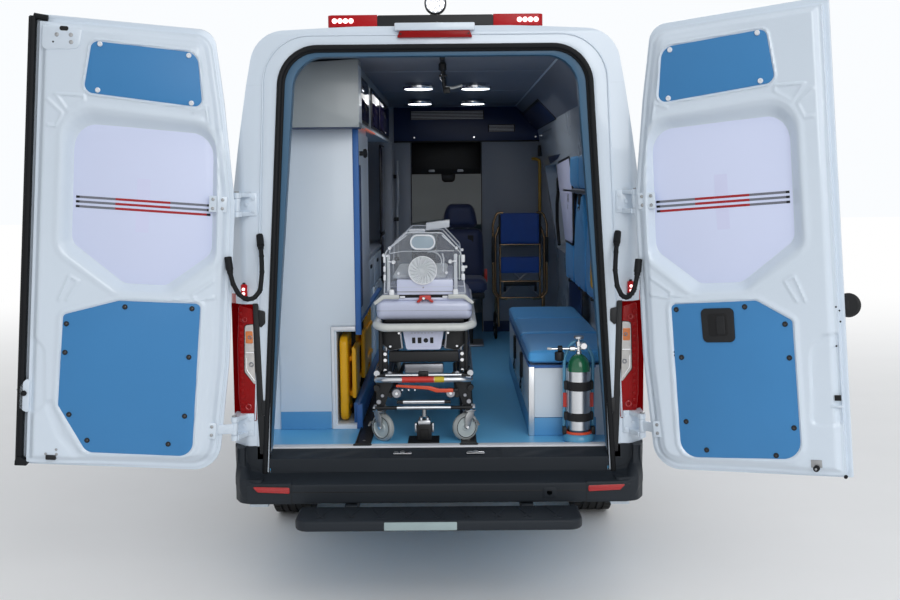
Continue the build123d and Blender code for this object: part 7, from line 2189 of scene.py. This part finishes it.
# Wheels: tyre with ribs, shoulder blocks and side rings; cap, nuts and valve on the CAD rim
tyre = {"radius": 0.3558, "inner": 0.221, "half": 0.1165, "blocks": 60}
half, radius = tyre["half"], tyre["radius"]
profile = [(tyre["inner"], -0.098), (0.24, -0.108), (0.262, -0.1135), (0.264, -0.115), (0.27, -0.115), (0.272, -0.114),
           (0.3, -half),
           (0.325, -0.114), (0.341, -0.104), (0.3475, -0.094), (0.3475, -0.066)]
for edge in (-0.06, -0.022, 0.022, 0.06):
    width = 0.006
    profile += [(radius, edge - width - 0.006), (radius, edge - width), (0.347, edge - width + 0.002),
                (0.347, edge + width - 0.002),
                (radius, edge + width), (radius, edge + width + 0.006)]
ribs = profile[:11] + [spot for spot in profile[11:]] + [(r, -x) for r, x in reversed(profile[:11])]
centre = (-0.853, outside["frontAxle"], outside["tyre"])
body = turned("tyreBody", ribs, "X", centre, "tyreRubber", 90, ring=True)
block = bar("shoulderBlock", (centre[0] - 0.108, centre[0] - 0.07), (centre[1] - 0.0125, centre[1] + 0.0125),
            (centre[2] + 0.33, centre[2] + radius), "tyreRubber", 0.003, 1)
blocks = []
for index in range(tyre["blocks"]):
    for mirrored in (False, True):
        turn = Matrix.Rotation(2 * math.pi * (index + (0.5 if mirrored else 0)) / tyre["blocks"], 4, "X")
        matrix = Matrix.Translation(centre) @ turn @ Matrix.Translation([-part for part in centre])
        if mirrored:
            matrix = matrix @ mirrorX(centre[0])
        blocks.append(copied(block, "shoulderBlock", matrix))
bpy.data.objects.remove(block)
fullTyre = joined("tyreFrontLeft", body, *blocks)
trim = [turned("hubCap", [(0, -0.062), (0.03, -0.061), (0.046, -0.054), (0.05, -0.04), (0.05, -0.02), (0, -0.02)], "X",
               (centre[0] - 0.03, *centre[1:]),
               "blackPlastic", 30)]
for index in range(6):
    turn = 2 * math.pi * index / 6
    place = (centre[0] - 0.05, centre[1] + 0.08 * math.cos(turn), centre[2] + 0.08 * math.sin(turn))
    trim.append(turned("wheelNut", [(0, -0.026), (0.008, -0.025), (0.012, -0.02), (0.012, 0.0), (0, 0.0)], "X", place,
                       "zinc", 6))
trim.append(tube("valve", [(centre[0] - 0.06, centre[1], centre[2] + 0.19),
                           (centre[0] - 0.082, centre[1], centre[2] + 0.18)], 0.004, "blackRubber", 0))
fullTrim = joined("wheelTrimFrontLeft", *trim)
shifts = {
    "front_right": mirrorX(), "rear_left": moved(-0.013, outside["rearAxle"] - outside["frontAxle"]),
    "rear_right": mirrorX() @ moved(-0.013, outside["rearAxle"] - outside["frontAxle"]),
}
for place, matrix in shifts.items():
    label = place.title().replace("_", "")
    settle(copied(fullTyre, "tyre" + label, matrix), "wheel_" + place, "tyre_" + place, smooth=35)
    settle(copied(fullTrim, "wheelTrim" + label, matrix), "wheel_" + place, smooth=35)
settle(fullTyre, "wheel_front_left", "tyre_front_left", smooth=35)
settle(fullTrim, "wheel_front_left", smooth=35)
print("nose, roof, cab and wheels built")

# Hoses between the rear pillars and the doors
hoses = {
    "Left": [(-0.8, -3.122, 1.7), (-0.786, -3.178, 1.62), (-0.779, -3.218, 1.551), (-0.784, -3.248, 1.471),
             (-0.809, -3.268, 1.439),
             (-0.842, -3.278, 1.434), (-0.874, -3.288, 1.461), (-0.896, -3.288, 1.505), (-0.908, -3.283, 1.55),
             (-0.918, -3.268, 1.61)],
    "Right": [(0.817, -3.122, 1.7), (0.803, -3.178, 1.624), (0.794, -3.218, 1.546), (0.799, -3.248, 1.478),
              (0.818, -3.268, 1.435),
              (0.843, -3.278, 1.426), (0.868, -3.288, 1.463), (0.881, -3.283, 1.52), (0.89, -3.268, 1.585)],
}
for side, points in hoses.items():
    parts = []
    path = bendPath(points, 0.03)
    parts.append(tube("doorHose", path, 0.0105, "blackRubber", 0, resolution=4))
    for start, end in list(zip(path, path[1:]))[2:-2:3]:
        way = (end - start).normalized() * 0.002
        parts.append(tube("hoseRib", [start - way, start + way], 0.0118, "blackRubber", 0, resolution=4))
    for near, far in ((path[0], path[2]), (path[-1], path[-3])):
        way = (far - near).normalized()
        parts += [
            tube("hoseBoot", [near - way * 0.012, near + way * 0.045], 0.0165, "blackRubber", 0, resolution=4),
            tube("bootCollar", [near + way * 0.04, near + way * 0.06], 0.0135, "blackRubber", 0, resolution=4)]
    hose = joined("doorHose" + side, *parts)
    pick(hose)
    bpy.ops.object.shade_smooth_by_angle(angle=math.radians(45))
    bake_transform(hose)
print("hoses built")

# Studio: a pale floor that runs out into white, and plain soft light
floorPaint = Paint("studioFloor")
floorPaint.give(colour=floorPaint.mix(floorPaint.noise(1.5, 4.0), (0.88, 0.88, 0.88), (0.92, 0.92, 0.92)), roughness=0.9)
floorPaint.give(specular=0.1)
rays = {kind: floorPaint.node("LightPath", {}, {}, "Is " + kind + " Ray") for kind in ("Camera", "Glossy",
        "Transmission")}
white = floorPaint.node("Emission", {}, {"Color": (1, 1, 1, 1),
                                         "Strength": rays["Camera"] + rays["Glossy"] + rays["Transmission"]})
distance = floorPaint.node("VectorMath", {"operation": "LENGTH"}, {0: floorPaint.spot}, "Value")
fade = floorPaint.node("MixShader", {}, {0: floorPaint.ramp(distance, 3.0, 13.0), 2: white})
floorPaint.tree.links.new(floorPaint.shader.outputs[0], fade.socket.node.inputs[1])
floorPaint.tree.links.new(fade.socket, floorPaint.tree.nodes["Material Output"].inputs["Surface"])
deselect()
bpy.ops.mesh.primitive_plane_add(size=90, location=(0, 0, 0))
studioFloor = bpy.context.object
studioFloor.name = "studioFloor"
studioFloor.data.materials.append(floorPaint.material)

world = bpy.data.worlds.new("studio")
bpy.context.scene.world = world
world.use_nodes = True
worldTree = world.node_tree
background = worldTree.nodes["Background"]
path = worldTree.nodes.new("ShaderNodeLightPath")
seen = worldTree.nodes.new("ShaderNodeMath")
seen.operation = "MAXIMUM"
worldTree.links.new(path.outputs["Is Camera Ray"], seen.inputs[0])
worldTree.links.new(path.outputs["Is Transmission Ray"], seen.inputs[1])
level = worldTree.nodes.new("ShaderNodeMapRange")
level.inputs["To Min"].default_value = 0.7
level.inputs["To Max"].default_value = 1.0
worldTree.links.new(seen.outputs[0], level.inputs["Value"])
worldTree.links.new(level.outputs[0], background.inputs["Strength"])
background.inputs["Color"].default_value = (0.96, 0.98, 1.0, 1)

studioLamps = {
    "high": ((2.6, -10.5, 4.6), (0, -2.6, 1.3), 5.0, 225),
    "side": ((7.5, -8.0, 4.0), (0, -2.8, 1.2), 4.0, 55),
    "front": ((3.0, 11.0, 6.0), (0, 2.0, 1.0), 5.0, 200),
}
for name, (place, target, size, power) in studioLamps.items():
    aim = (Vector(target) - Vector(place)).to_track_quat("-Z", "Y").to_euler()
    bpy.ops.object.light_add(type="AREA", location=place, rotation=aim)
    bpy.context.object.data.energy = power
    bpy.context.object.data.size = size
bpy.ops.object.light_add(type="AREA", location=(0.1, -1.0, 2.45))
cabinLight = bpy.context.object
cabinLight.data.energy = 4.5
cabinLight.data.size = 1.0
cabinLight.visible_camera = False
bpy.context.scene.view_settings.view_transform = "Standard"
print("studio lit")

for name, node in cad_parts.items():
    if not node.hide_render and not node.material_slots:
        print("no finish on", name)
